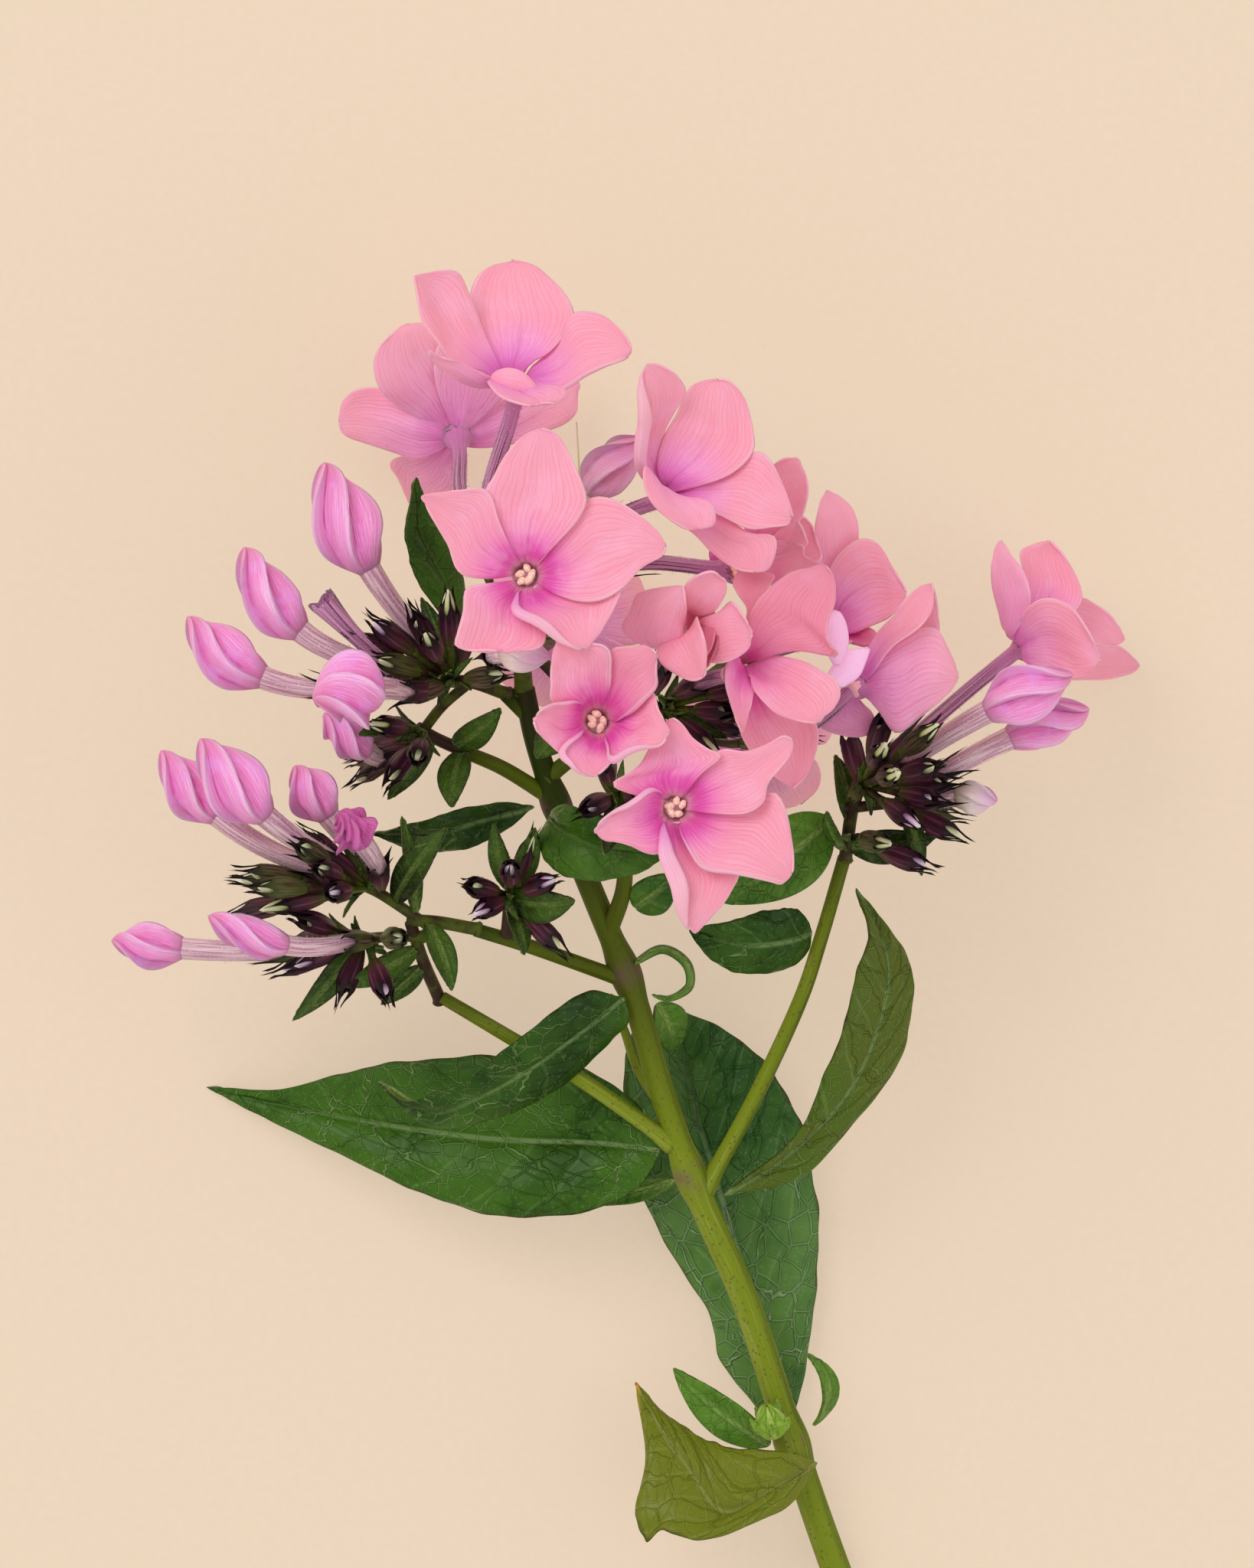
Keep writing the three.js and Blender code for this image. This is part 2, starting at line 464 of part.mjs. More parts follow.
        right: [[-18.6, 148.8, 45.5], [-16.2, 147.3, 46.5], [-13.2, 148.6, 47.5], [-10.4, 149.5, 48]],
      },
      {
        tip: [-9.9, 154.8, 43],
        left: [[-18.9, 151, 43.5], [-16.1, 154.8, 43], [-11.6, 156.4, 43]],
        right: [[-18.3, 149.8, 43.5], [-13.1, 149.6, 43], [-8.9, 150.6, 43], [-9.4, 153, 43]],
      },
      {
        tip: [-22, 153.9, 40],
        left: [[-19.9, 148.8, 43.5], [-21.6, 149.4, 42], [-23.5, 151.4, 41]],
        right: [[-20.3, 150.3, 43.5], [-20.6, 152.3, 42], [-21.1, 153.7, 41]],
      },
    ],
  },
  {
    name: 'bloom_right', cyme: 'cyme_crown', hub: 'right',
    mouth: [-24.8, 134.6, 47], throat: [-19.6, 135.8, 56], faces: [0.72, 0.05, 0.69],
    petals: [
      {
        tip: [-8.7, 149.7, 60],
        left: [[-18.1, 139.9, 58.5], [-17.9, 143.1, 59.5], [-16.3, 146.3, 60], [-13.4, 148.5, 60],
          [-10.6, 149.4, 60]],
        right: [[-16.8, 137.9, 58.5], [-12.4, 138.7, 60], [-7.1, 137.9, 62], [-8.2, 139.8, 62.5],
          [-8.3, 142.1, 62], [-7.4, 145, 61.5], [-7.5, 148, 60.5]],
      },
      {
        tip: [-9.7, 129.4, 63],
        left: [[-16.8, 137.5, 58], [-12.4, 137.2, 60], [-8.1, 135.5, 62], [-6.8, 133.7, 63],
          [-7.4, 131.6, 63.3]],
        right: [[-18.3, 136.7, 58.8], [-17.8, 133.8, 61], [-15.6, 131, 62.5], [-12.5, 129.7, 63]],
      },
      {
        tip: [-19.3, 128.1, 62],
        left: [[-18.5, 136.9, 58.5], [-17.7, 135, 60], [-18.1, 132.3, 61.5], [-18.7, 129.8, 62]],
        right: [[-19.8, 137.9, 59], [-21.2, 136.9, 61], [-21.6, 134.5, 62], [-20.8, 131.8, 62.5],
          [-20.1, 129.6, 62.5]],
      },
      {
        tip: [-12.8, 121, 52],
        left: [[-16.3, 133.8, 56], [-11.3, 130.4, 55], [-9.5, 128.4, 54], [-9.9, 125, 53],
          [-10.8, 122.8, 52.5]],
        right: [[-18.8, 133.3, 57], [-19.6, 129.4, 57], [-18, 125.4, 55], [-15.3, 122.8, 53]],
      },
      {
        tip: [-19.4, 149.2, 56],
        left: [[-18.8, 139.7, 57.5], [-18.5, 143.6, 57], [-20, 146.1, 56.5], [-20.5, 147.6, 56]],
        right: [[-17.8, 140.2, 57], [-17.3, 143.6, 57], [-15.8, 147.1, 57], [-15.3, 148.6, 56.5]],
      },
    ],
  },
  {
    name: 'bloom_opening', cyme: 'cyme_crown', hub: 'right',
    mouth: [-29.6, 136.8, 48], throat: [-26.4, 141.9, 54], faces: [0.05, 0.05, 1],
    petals: [
      {
        tip: [-26.9, 146.8, 67.5],
        left: [[-27.1, 139.8, 62], [-26.6, 142.7, 66], [-26.6, 144.9, 67.5]],
        right: [[-30.1, 139.2, 60.5], [-32.5, 139.4, 61.5], [-34.8, 141.4, 62], [-33.8, 143.7, 64],
          [-32.8, 145.9, 65.5], [-30.1, 146.7, 66.5]],
      },
      {
        tip: [-18.1, 140.8, 64.5],
        left: [[-25.4, 141.8, 61], [-22.7, 143.5, 63], [-20.8, 145, 64], [-19.1, 143, 64.5]],
        right: [[-25, 139.6, 61], [-24.2, 137.5, 62], [-22.2, 137, 63], [-20.1, 137.7, 63.5],
          [-18.6, 138.9, 64]],
      },
      {
        tip: [-21.4, 147.4, 66],
        left: [[-26.6, 143.6, 61.5], [-26.9, 146.2, 66], [-25.7, 148, 66.5], [-23.3, 148.9, 66.5]],
        right: [[-25, 143, 61], [-23.2, 143.5, 62.5], [-21.7, 145.3, 65]],
      },
      {
        tip: [-24.2, 135.3, 67.5],
        left: [[-25.6, 142.4, 62.5], [-24.8, 142.9, 66.5], [-24.1, 140, 68], [-24, 137, 68]],
        right: [[-28.3, 140.1, 62], [-30.1, 138.6, 63], [-29.7, 136.9, 64.5], [-27.9, 135.6, 66],
          [-25.8, 134.8, 67]],
      },
      {
        tip: [-23.8, 136.5, 63],
        left: [[-25.4, 142.1, 61], [-22.4, 143.1, 62], [-22.4, 139.6, 63]],
        right: [[-26.5, 140.8, 61], [-26.2, 138.7, 62], [-25, 136.9, 62.7]],
      },
      {
        tip: [-24.8, 137.3, 64.5],
        left: [[-23.6, 144.8, 60], [-22.7, 142.4, 62], [-23.2, 139.1, 64]],
        right: [[-26.1, 144.4, 60], [-26.5, 141.6, 62.5], [-25.9, 138.8, 64]],
      },
    ],
  },
  {
    name: 'bloom_far', cyme: 'cyme_crown', hub: 'right',
    mouth: [-19, 137.5, 34], throat: [-8.2, 141.4, 34], faces: [0.6, 0.4, 0.69],
    petals: [
      {
        tip: [-8, 160, 32],
        left: [[-5.4, 144.5, 33.5], [-4.4, 150, 33], [-3.8, 154.2, 33], [-4.4, 157.3, 32.5],
          [-6.1, 159.1, 32]],
        right: [[-6.7, 144.5, 34], [-9, 150.5, 34], [-9.7, 154, 34], [-9, 158.1, 33]],
      },
      {
        tip: [2.3, 146.6, 36],
        left: [[-6.8, 143.5, 34.5], [-7, 148.8, 35], [-4.2, 153.2, 35], [-1.8, 153.4, 35],
          [-0.4, 151.8, 35.5], [1.2, 148.8, 36]],
        right: [[-5.4, 141.4, 36], [-3, 142, 37], [0, 143.2, 37], [2, 145.2, 36.5]],
      },
      {
        tip: [-0.9, 140.5, 38],
        left: [[-4.8, 141.8, 35], [-2.5, 142, 36.5]],
        right: [[-5.4, 140.2, 36], [-3.1, 139.5, 37.5]],
      },
      {
        tip: [-7, 144.2, 44],
        left: [[-7.2, 141.5, 37], [-8, 142.1, 42], [-7.8, 143.6, 44.5]],
        right: [[-6.2, 140, 37], [-5.4, 141.1, 42], [-6, 143.1, 44]],
      },
      {
        tip: [-7.2, 137.1, 43],
        left: [[-5.6, 140.8, 37], [-5.3, 139.7, 41], [-6, 138.1, 43]],
        right: [[-6.6, 140.8, 37], [-7.9, 140.1, 41], [-7.8, 138.3, 43]],
      },
    ],
  },
  {
    name: 'bloom_right_back', cyme: 'cyme_crown', hub: 'right',
    mouth: [-13.5, 128, 36], throat: [-3.9, 134.7, 40], faces: [0.55, 0.45, -0.7],
    petals: [
      {
        tip: [5.4, 147.6, 43],
        left: [[-3.7, 135.9, 42], [-1.7, 139.4, 43], [0.3, 143.3, 44], [2.6, 146.2, 44],
          [4.2, 147.3, 43.5]],
        right: [[-2.2, 136.7, 43], [0.2, 139.7, 45], [3.7, 141.8, 46], [5.4, 144.1, 45],
          [5.7, 146, 44]],
      },
      {
        tip: [8.9, 135.3, 42],
        left: [[-3.1, 133.7, 41], [-1.4, 131.7, 42], [0.6, 129, 43], [3.8, 130.1, 43],
          [7.4, 133.1, 42.5]],
        right: [[-3.3, 134.9, 40.5], [-1.2, 137.9, 42], [3.8, 141.7, 43], [6.3, 141.6, 43],
          [7.6, 139.4, 42.5], [8.5, 137.1, 42]],
      },
      {
        tip: [-2.8, 139.3, 38],
        left: [[-3.9, 135.8, 38.5], [-3.2, 137.4, 38]],
        right: [[-4.9, 135.5, 39], [-6.3, 134.5, 38], [-7.8, 135.9, 38], [-6.3, 137.6, 38],
          [-4.5, 138.8, 38]],
      },
      {
        tip: [-1.9, 129.2, 36],
        left: [[-5.6, 133.5, 38.5], [-7.5, 131, 37], [-8.8, 129, 36], [-6, 127.9, 36],
          [-3.2, 127.8, 36]],
        right: [[-4.3, 133.2, 38.5], [-3.3, 132, 37.5], [-2, 130.8, 36.5]],
      },
      {
        tip: [5.8, 147.1, 41],
        left: [[-1.1, 135.4, 40], [5.4, 137.9, 40], [6.5, 141.4, 40.5], [6.3, 144.4, 41]],
        right: [[-1.1, 136.9, 40.5], [2.8, 140.9, 41], [5, 144.9, 41]],
      },
    ],
  },
  {
    name: 'bloom_far_right', cyme: 'cyme_right', hub: 'high',
    mouth: [2.8, 127, 26], throat: [19.1, 140.4, 19], faces: [0.65, 0.5, 0.57],
    petals: [
      {
        tip: [15.3, 153.7, 22],
        left: [[17.1, 141.7, 22], [18.7, 144.2, 24], [19.2, 146.7, 25], [18, 149.7, 25],
          [16.4, 152, 24]],
        right: [[15.7, 141.7, 21], [14.8, 144.2, 22], [14, 147.7, 22.5], [14.1, 151.3, 23],
          [14.6, 153.1, 22.5]],
      },
      {
        tip: [21.8, 153.8, 18],
        left: [[17.2, 141.7, 19.5], [18.4, 144.8, 19], [18.4, 148.8, 18.5], [17.8, 152.2, 18.2],
          [19.7, 153.3, 18]],
        right: [[18.6, 139.7, 20], [22.1, 141.7, 20], [25.7, 145.3, 19], [26, 147.3, 18.5],
          [25, 149.8, 18.2], [23.5, 152.1, 18]],
      },
      {
        tip: [32, 140.9, 12],
        left: [[18.6, 141.2, 18], [22.8, 144.3, 16], [26.2, 146.3, 14], [28, 145.6, 13.5],
          [30, 144.1, 13], [31.2, 142.5, 12.5]],
        right: [[19.2, 139.7, 18], [23.8, 139.7, 16], [29, 140.1, 13.5], [31.1, 140.1, 12.5]],
      },
      {
        tip: [34.6, 137.5, 0.1],
        left: [[19.2, 139.2, 18], [25, 139.8, 11], [30.2, 140.4, 5], [32.6, 139.4, 2]],
        right: [[19.2, 137.7, 18], [22.9, 136.2, 13], [25.6, 135.5, 9], [30.4, 135.6, 4],
          [33.4, 136.4, 1.2]],
      },
      {
        tip: [28.1, 138.1, 28],
        left: [[17.5, 140.4, 21.5], [18.9, 143.7, 25], [20.8, 145.6, 27], [22.8, 145.6, 28],
          [24.8, 144.1, 29], [26.8, 141.1, 29]],
        right: [[18, 138, 21.5], [20.9, 136.5, 25], [24.3, 135.4, 27], [26.8, 136.4, 28]],
      },
    ],
  },
  {
    name: 'bloom_under_left', cyme: 'cyme_crown', hub: 'top',
    mouth: [-44.8, 140.6, 30], throat: [-42.5, 143, 16], faces: [0.05, 0.05, -1],
    petals: [
      [[-42.5, 155, 6], 11, 0.05, 0.1, 0, 0.5], [[-31.5, 146.5, 4], 11, 0.05, 0.1, 0, 0.5],
      [[-35.5, 133, 5], 11, 0.05, 0.1, 0, 0.5], [[-49, 133.5, 4], 11, 0.05, 0.1, 0, 0.5],
      [[-53.5, 146.5, 5], 11, 0.05, 0.1, 0, 0.5],
    ],
  },
  {
    name: 'bloom_under_right', cyme: 'cyme_crown', hub: 'right',
    mouth: [-22, 129.5, 29], throat: [-17.5, 128.5, 16], faces: [0.05, 0, -1],
    petals: [
      [[-16.5, 139, 6], 10, 0.05, 0.1, 0, 0.5], [[-7, 132.5, 4], 10, 0.05, 0.1, 0, 0.5],
      [[-11, 119, 5], 10, 0.05, 0.1, 0, 0.5], [[-23, 119, 4], 10, 0.05, 0.1, 0, 0.5],
      [[-27.5, 131.5, 5], 10, 0.05, 0.1, 0, 0.5],
    ],
  },
];

// Closed buds. mouth: where the tube leaves its calyx. neck: where the pleated head starts.
const BUDS = [
  ['bud_upper_left_1', 'cyme_upper_left', 'high',
    [-60.8, 140.5, 39], [-67.5, 149.5, 42], [-73.5, 163.5, 40], 3.9],
  ['bud_upper_left_2', 'cyme_upper_left', 'high',
    [-66, 137, 39], [-76.5, 141.5, 40], [-84, 152.5, 38], 3.4],
  ['bud_upper_left_3', 'cyme_upper_left', 'high',
    [-71.5, 134, 38], [-81.5, 135.5, 37], [-91.5, 143.5, 36], 3.1],
  ['bud_upper_left_4', 'cyme_upper_left', 'high',
    [-62.5, 133.5, 46], [-66.5, 134, 52], [-74.5, 132.5, 57], 4.3],
  ['bud_upper_left_5', 'cyme_upper_left', 'low',
    [-66.3, 125, 33.5], [-68.3, 126, 37], [-73.5, 130.8, 42], 2.4],
  ['bud_lower_left_1', 'cyme_lower_left', 'high',
    [-74.5, 110.5, 35], [-87.5, 117.5, 35], [-95, 126, 35], 3.0],
  ['bud_lower_left_2', 'cyme_lower_left', 'high',
    [-73, 112, 38], [-81, 117.5, 43], [-89.5, 127.5, 44], 3.6],
  ['bud_lower_left_3', 'cyme_lower_left', 'high',
    [-69.5, 113, 35.5], [-73, 117.5, 37.5], [-77.5, 124, 38], 2.8],
  ['bud_lower_left_4', 'cyme_lower_left', 'high',
    [-66.5, 110.8, 39], [-68.5, 114.2, 45], [-71.5, 117.7, 49], 2.6],
  ['bud_lower_left_5', 'cyme_lower_left', 'low',
    [-79, 99.6, 26.5], [-92.5, 100, 25], [-102, 101, 24], 2.6],
  ['bud_lower_left_6', 'cyme_lower_left', 'low',
    [-70.5, 101, 35], [-78.5, 100.7, 41], [-88.5, 104.5, 43.5], 2.4],
  ['bud_right_1', 'cyme_right', 'high',
    [2.2, 124.2, 31.5], [13, 131, 37], [24, 136, 39], 3.2],
  ['bud_right_2', 'cyme_right', 'low',
    [6.5, 122.5, 30.5], [16, 127.5, 31], [26.5, 131.5, 30.5], 2.9],
  ['bud_right_3', 'cyme_right', 'low',
    [6.2, 119.3, 30], [8.8, 119.7, 30.2], [14.5, 119.5, 30.5], 1.9],
  ['bud_crown_1', 'cyme_crown', 'top',
    [-40.5, 153, 43.5], [-38.5, 159, 45.5], [-32.5, 166.5, 48], 3.0],
  ['bud_crown_2', 'cyme_crown', 'top',
    [-51.3, 138.2, 52], [-49.8, 138.2, 55.5], [-43.8, 138, 60], 1.9],
];

// Large leaves as three hand-set lines each: midrib and both edges, from the stalk to the tip.
const LEAVES = {
  leaf_left_large: {
    middle: [[-29.6, 73, 15.5], [-39, 74, 14], [-52.5, 74.5, 12], [-68.5, 76.5, 7.5], [-81, 79, 3.5],
      [-90.5, 81, 0.1]],
    left: [[-29.6, 73, 15.5], [-33.5, 80, 15.8], [-42, 84.5, 16], [-54.5, 85.5, 14], [-65.5, 84.5, 10.5],
      [-73, 82.8, 8], [-81.5, 80.8, 4.5], [-90.5, 81, 0.1]],
    right: [[-29.6, 73, 15.5], [-31.5, 69.5, 15.5], [-36, 66, 15.5], [-47, 64, 14.5],
      [-56.5, 65.5, 12], [-64.5, 68.5, 10], [-74, 73, 6.5], [-83, 77.2, 3], [-90.5, 81, 0.1]],
  },
  leaf_left_folded: {
    middle: [[-34.4, 93.5, 24.4], [-40, 89, 26], [-47, 84, 25.8], [-54, 80.2, 25], [-60, 78.5, 24.5],
      [-67, 82.5, 25.5]],
    left: [[-34.4, 93.5, 24.4], [-39.5, 94.3, 28], [-45.5, 90.5, 29.5], [-51, 86, 28.6], [-55, 82.8, 27.2],
      [-58.5, 81.4, 27], [-63, 80, 26.4], [-67, 82.5, 25.5]],
    right: [[-34.4, 93.5, 24.4], [-34, 90.3, 23], [-36, 88, 22.5], [-41, 83.2, 22.2], [-47, 79.2, 22],
      [-55, 76.8, 22], [-61, 76.8, 22.8], [-67, 82.5, 25.5]],
  },
  leaf_back_large: {
    middle: [[-12.8, 34.5, 4.2], [-15, 43.5, 2.6], [-18, 54.5, 2.2], [-22, 68, 3], [-25.5, 80, 5],
      [-27, 91.5, 8.5]],
    left: [[-12.8, 34.5, 4.2], [-17, 38.5, 3.6], [-21.5, 44.5, 3.6], [-23.5, 51.5, 4], [-29.5, 61, 5],
      [-33, 71, 6.2], [-34.5, 82.5, 7], [-33, 89, 7.6], [-27, 91.5, 8.5]],
    right: [[-12.8, 34.5, 4.2], [-10.5, 42, 3], [-9, 52.5, 3.2], [-8.5, 62.5, 4], [-10, 73, 5.5],
      [-13.5, 81.5, 7.5], [-19.5, 88, 9], [-27, 91.5, 8.5]],
  },
  leaf_right_tall: {
    middle: [[-21.4, 67, 16.2], [-12, 73.5, 20.5], [-5, 81, 24], [-1, 90, 26], [0, 98.5, 27], [-4, 108, 25]],
    left: [[-21.4, 67, 16.2], [-16, 71.5, 21], [-11, 76.5, 24], [-8, 84, 27], [-5.5, 90.5, 29],
      [-4, 97, 30], [-2.5, 102.5, 28.5], [-4, 108, 25]],
    right: [[-21.4, 67, 16.2], [-10.5, 70, 18], [-3, 78.5, 21], [2, 85.5, 23], [3.5, 93, 24],
      [3, 98.5, 25], [0, 103, 25.5], [-4, 108, 25]],
  },
  leaf_lowest: {
    middle: [[-8.7, 31.2, 8], [-13.5, 28.5, 13], [-21, 25, 15.5], [-25.5, 30.5, 15], [-29.5, 36, 13],
      [-33, 42, 9]],
    left: [[-8.7, 31.2, 8], [-13.5, 33, 12.5], [-20, 33.5, 12.5], [-24.5, 35, 11.5], [-28.5, 37.5, 10.5],
      [-31, 39.5, 9.5], [-33, 42, 9]],
    right: [[-8.7, 31.2, 8], [-12.5, 26, 13], [-18, 23.5, 17], [-24.5, 21.5, 19], [-29.5, 23, 18.5],
      [-31.5, 21.5, 17], [-33, 25, 16], [-31.5, 32.5, 14], [-33, 42, 9]],
  },
  leaf_right_small: {
    middle: [[-9.8, 102, 26.2], [-13, 101, 28.6], [-18.5, 100.5, 30.5], [-26, 102.5, 29.5]],
    left: [[-9.8, 102, 26.2], [-11.5, 105, 29.5], [-15, 105.2, 31.5], [-20.5, 103.8, 32.5],
      [-26, 102.5, 29.5]],
    right: [[-9.8, 102, 26.2], [-10.5, 99.5, 25.5], [-14, 97, 26], [-20, 97, 27], [-23.5, 99, 28.5],
      [-26, 102.5, 29.5]],
  },
  leaf_crown_round: {
    middle: [[-44.2, 117.4, 32.2], [-42, 115.5, 41], [-36.5, 113.2, 46], [-29, 112.6, 48]],
    left: [[-44.2, 117.4, 32.2], [-42.3, 119, 42], [-37.5, 117.6, 48], [-32, 115.5, 50], [-29, 112.6, 48]],
    right: [[-44.2, 117.4, 32.2], [-45.6, 114, 39], [-43.5, 110.3, 42], [-38, 109, 44], [-32, 110.3, 46.5],
      [-29, 112.6, 48]],
  },
  leaf_crown_left: {
    middle: [[-46.2, 118.6, 30.8], [-53, 117, 31.6], [-60, 115, 30.6], [-67.5, 115, 28]],
    left: [[-46.2, 118.6, 30.8], [-51, 119.2, 33.4], [-57, 118, 34], [-63, 116.2, 31.8],
      [-67.5, 115, 28]],
    right: [[-46.2, 118.6, 30.8], [-51, 115, 30], [-56, 113, 28.6], [-62, 113, 28], [-67.5, 115, 28]],
  },
  leaf_crown_top: {
    middle: [[-54.6, 138.6, 40.2], [-57.5, 147, 41], [-61, 154, 42], [-61.5, 161.5, 42]],
    left: [[-54.6, 138.6, 40.2], [-60.5, 146.5, 43], [-62.7, 152, 44], [-62.7, 156.5, 43.5],
      [-61.5, 161.5, 42]],
    right: [[-54.6, 138.6, 40.2], [-55.4, 147, 38.4], [-57, 152.5, 39.4], [-59.5, 157, 41],
      [-61.5, 161.5, 42]],
  },
};

// Smaller leaves: [name, base, tip, width, up, arch].
const SMALL_LEAVES = [
  ['leaf_low_left', [-15, 33.6, 8.4], [-28, 44, 11], 6, [-0.3, -0.4, 1], 0.08],
  ['leaf_low_right', [-9.3, 36.2, 8.6], [-10.2, 46, 12], 3.6, [0.8, 0.1, 0.7], 0.3],
  ['leaf_under_bloom', [-33, 105.4, 27.8], [-27.5, 110, 33], 5.5, [0, -0.2, 1], 0.1],
  ['leaf_behind_bloom', [-7.4, 117, 27.6], [-21.5, 106, 32], 9.5, [0.1, -0.1, 1], 0.12],
  ['leaf_shoot', [-30.2, 92.6, 19.4], [-27.6, 86.3, 12], 5.5, [0.4, 0, 1], 0.1],
  ['leaf_narrow_back', [-27.6, 69, 13.2], [-38.5, 65.5, 8.5], 3, [0, 0, 1], -0.25],
];

// The bud in the lowest node: rings are [distance along it, share of its radius].
const AXILLARY_BUD = {
  centre: [-14.9, 36.2, 11.4], tip: [-16, 41.2, 14.2], radius: 1.7, sides: 7,
  rings: [[-1.4, 0.5], [0, 1], [1.8, 0.85]],
};

// ---------------------------------------------------------------- vectors and curves

const point = ([x, y, z]) => new THREE.Vector3(x, y, z);
const along = (start, direction, distance) => start.clone().addScaledVector(direction, distance);
const towards = (start, end) => end.clone().sub(start).normalize();

function smoothLine(points) {
  return new THREE.CatmullRomCurve3(points.map(point), false, 'catmullrom', 0.5);
}

// The quadratic curve from start to end that passes through the middle point.
function curveThrough(start, middle, end) {
  const u = start.distanceTo(middle) / (start.distanceTo(middle) + middle.distanceTo(end));
  const control = middle.clone()
    .addScaledVector(start, -((1 - u) ** 2))
    .addScaledVector(end, -(u ** 2))
    .divideScalar(2 * u * (1 - u));
  return { curve: new THREE.QuadraticBezierCurve3(start, control, end), middleAt: u };
}

// ---------------------------------------------------------------- solids

function geometryFrom(points, faces) {
  const geometry = new THREE.BufferGeometry();
  const flat = points.flatMap((p) => [p.x, p.y, p.z]);
  geometry.setAttribute('position', new THREE.Float32BufferAttribute(flat, 3));
  geometry.setIndex(faces.flat());
  return geometry;
}

function solidFrom(geometry) {
  const bare = geometry.clone();
  bare.deleteAttribute('normal');
  bare.deleteAttribute('uv');
  const merged = mergeVertices(bare, 1e-5);
  const vertProperties = new Float32Array(merged.attributes.position.array);
  const triVerts = new Uint32Array(merged.index.array);
  return new wasm.Manifold(new wasm.Mesh({ numProp: 3, vertProperties, triVerts }));
}

function outwardSolid(points, faces) {
  const solid = solidFrom(geometryFrom(points, faces));
  if (solid.volume() > 0) return solid;
  return solidFrom(geometryFrom(points, faces.map(([a, b, c]) => [a, c, b])));
}

// The largest of the separate bodies in a solid: loose scraps are dropped.
function mainBody(solid) {
  const bodies = solid.decompose();
  return bodies.reduce((best, body) => (body.volume() > best.volume() ? body : best));
}

const fuse = (solids) => mainBody(solids.reduce((whole, piece) => whole.add(piece)));

function geometryOf(solid) {
  const { vertProperties, triVerts } = solid.getMesh();
  const geometry = new THREE.BufferGeometry();
  geometry.setAttribute('position', new THREE.BufferAttribute(new Float32Array(vertProperties), 3));
  geometry.setIndex(new THREE.BufferAttribute(new Uint32Array(triVerts), 1));
  return geometry;
}

// The same solid with every point pushed out along its mean normal.
function grown(solid, distance) {
  const geometry = geometryOf(solid);
  geometry.computeVertexNormals();
  const position = geometry.attributes.position;
  const normal = geometry.attributes.normal;
  const points = [];
  for (let i = 0; i < position.count; i += 1) {
    const at = new THREE.Vector3().fromBufferAttribute(position, i);
    const out = new THREE.Vector3().fromBufferAttribute(normal, i);
    points.push(at.addScaledVector(out, distance));
  }
  const index = Array.from(geometry.index.array);
  const faces = [];
  for (let i = 0; i < index.length; i += 3) faces.push(index.slice(i, i + 3));
  return outwardSolid(points, faces);
}

// A closed body through rings of points. A ring of one point closes its end to a tip.
function loft(rings) {
  const points = rings.flat();
  const starts = [];
  let next = 0;
  for (const ring of rings) {
    starts.push(next);
    next += ring.length;
  }
  const faces = [];
  for (let i = 0; i + 1 < rings.length; i += 1) joinRings(faces, rings, starts, i);
  capRing(faces, starts[0], rings[0].length, true);
  capRing(faces, starts[rings.length - 1], rings[rings.length - 1].length, false);
  return outwardSolid(points, faces);
}

function joinRings(faces, rings, starts, i) {
  const sides = Math.max(rings[i].length, rings[i + 1].length);
  const near = (k) => starts[i] + (k % rings[i].length);
  const far = (k) => starts[i + 1] + (k % rings[i + 1].length);
  for (let k = 0; k < sides; k += 1) {
    if (rings[i].length > 1) faces.push([near(k), near(k + 1), far(k)]);
    if (rings[i + 1].length > 1) faces.push([near(k + 1), far(k + 1), far(k)]);
  }
}

function capRing(faces, start, sides, first) {
  for (let k = 1; k + 1 < sides; k += 1) {
    const [b, c] = first ? [k + 1, k] : [k, k + 1];
    faces.push([start, start + b, start + c]);
  }
}

// Two directions across a line of travel, steady from ring to ring.
function across(direction, steady) {
  const side = new THREE.Vector3().crossVectors(steady, direction).normalize();
  const other = new THREE.Vector3().crossVectors(direction, side).normalize();
  return [side, other];
}

function steadyFor(direction) {
  return Math.abs(direction.z) < 0.8 ? new THREE.Vector3(0, 0, 1) : new THREE.Vector3(0, 1, 0);
}

function ringAt(centre, [side, other], radiusOf, sides, turn = 0) {
  return Array.from({ length: sides }, (_, k) => {
    const angle = turn + (k * 2 * Math.PI) / sides;
    const radius = radiusOf(k);
    return along(along(centre, side, radius * Math.cos(angle)), other, radius * Math.sin(angle));
  });
}

// A round bar along a curve.
function bar(curve, radiusAt, sides, steps) {
  const steady = steadyFor(towards(curve.getPoint(0), curve.getPoint(1)));
  const rings = [];
  for (let i = 0; i <= steps; i += 1) {
    const u = i / steps;
    const axes = across(curve.getTangent(u), steady);
    rings.push(ringAt(curve.getPoint(u), axes, () => radiusAt(u), sides, Math.PI / sides));
  }
  return loft(rings);
}

// ---------------------------------------------------------------- blades: petals and leaves

// A thin closed blade over surface(s, t), with a sharp rim and its two faces split alike.
function blade(surface, rows, columns, thickness) {
  const grid = rows.map((s) => columns.map((t) => surface(s, t)));
  const points = [];
  const front = [];
  const back = [];
  grid.forEach((row, i) => {
    const pointed = row[0].distanceTo(row[row.length - 1]) < 1e-6;
    front.push([]);
    back.push([]);
    row.forEach((at, j) => {
      const rim = i === 0 || i === rows.length - 1 || j === 0 || j === columns.length - 1;
      if (pointed && j > 0) {
        front[i].push(front[i][0]);
        back[i].push(back[i][0]);
      } else if (rim) {
        front[i].push(points.push(at) - 1);
        back[i].push(points.length - 1);
      } else {
        const normal = gridNormal(grid, i, j);
        front[i].push(points.push(along(at, normal, thickness / 2)) - 1);
        back[i].push(points.push(along(at, normal, -thickness / 2)) - 1);
      }
    });
  });
  return outwardSolid(points, bladeFaces(front, back));
}

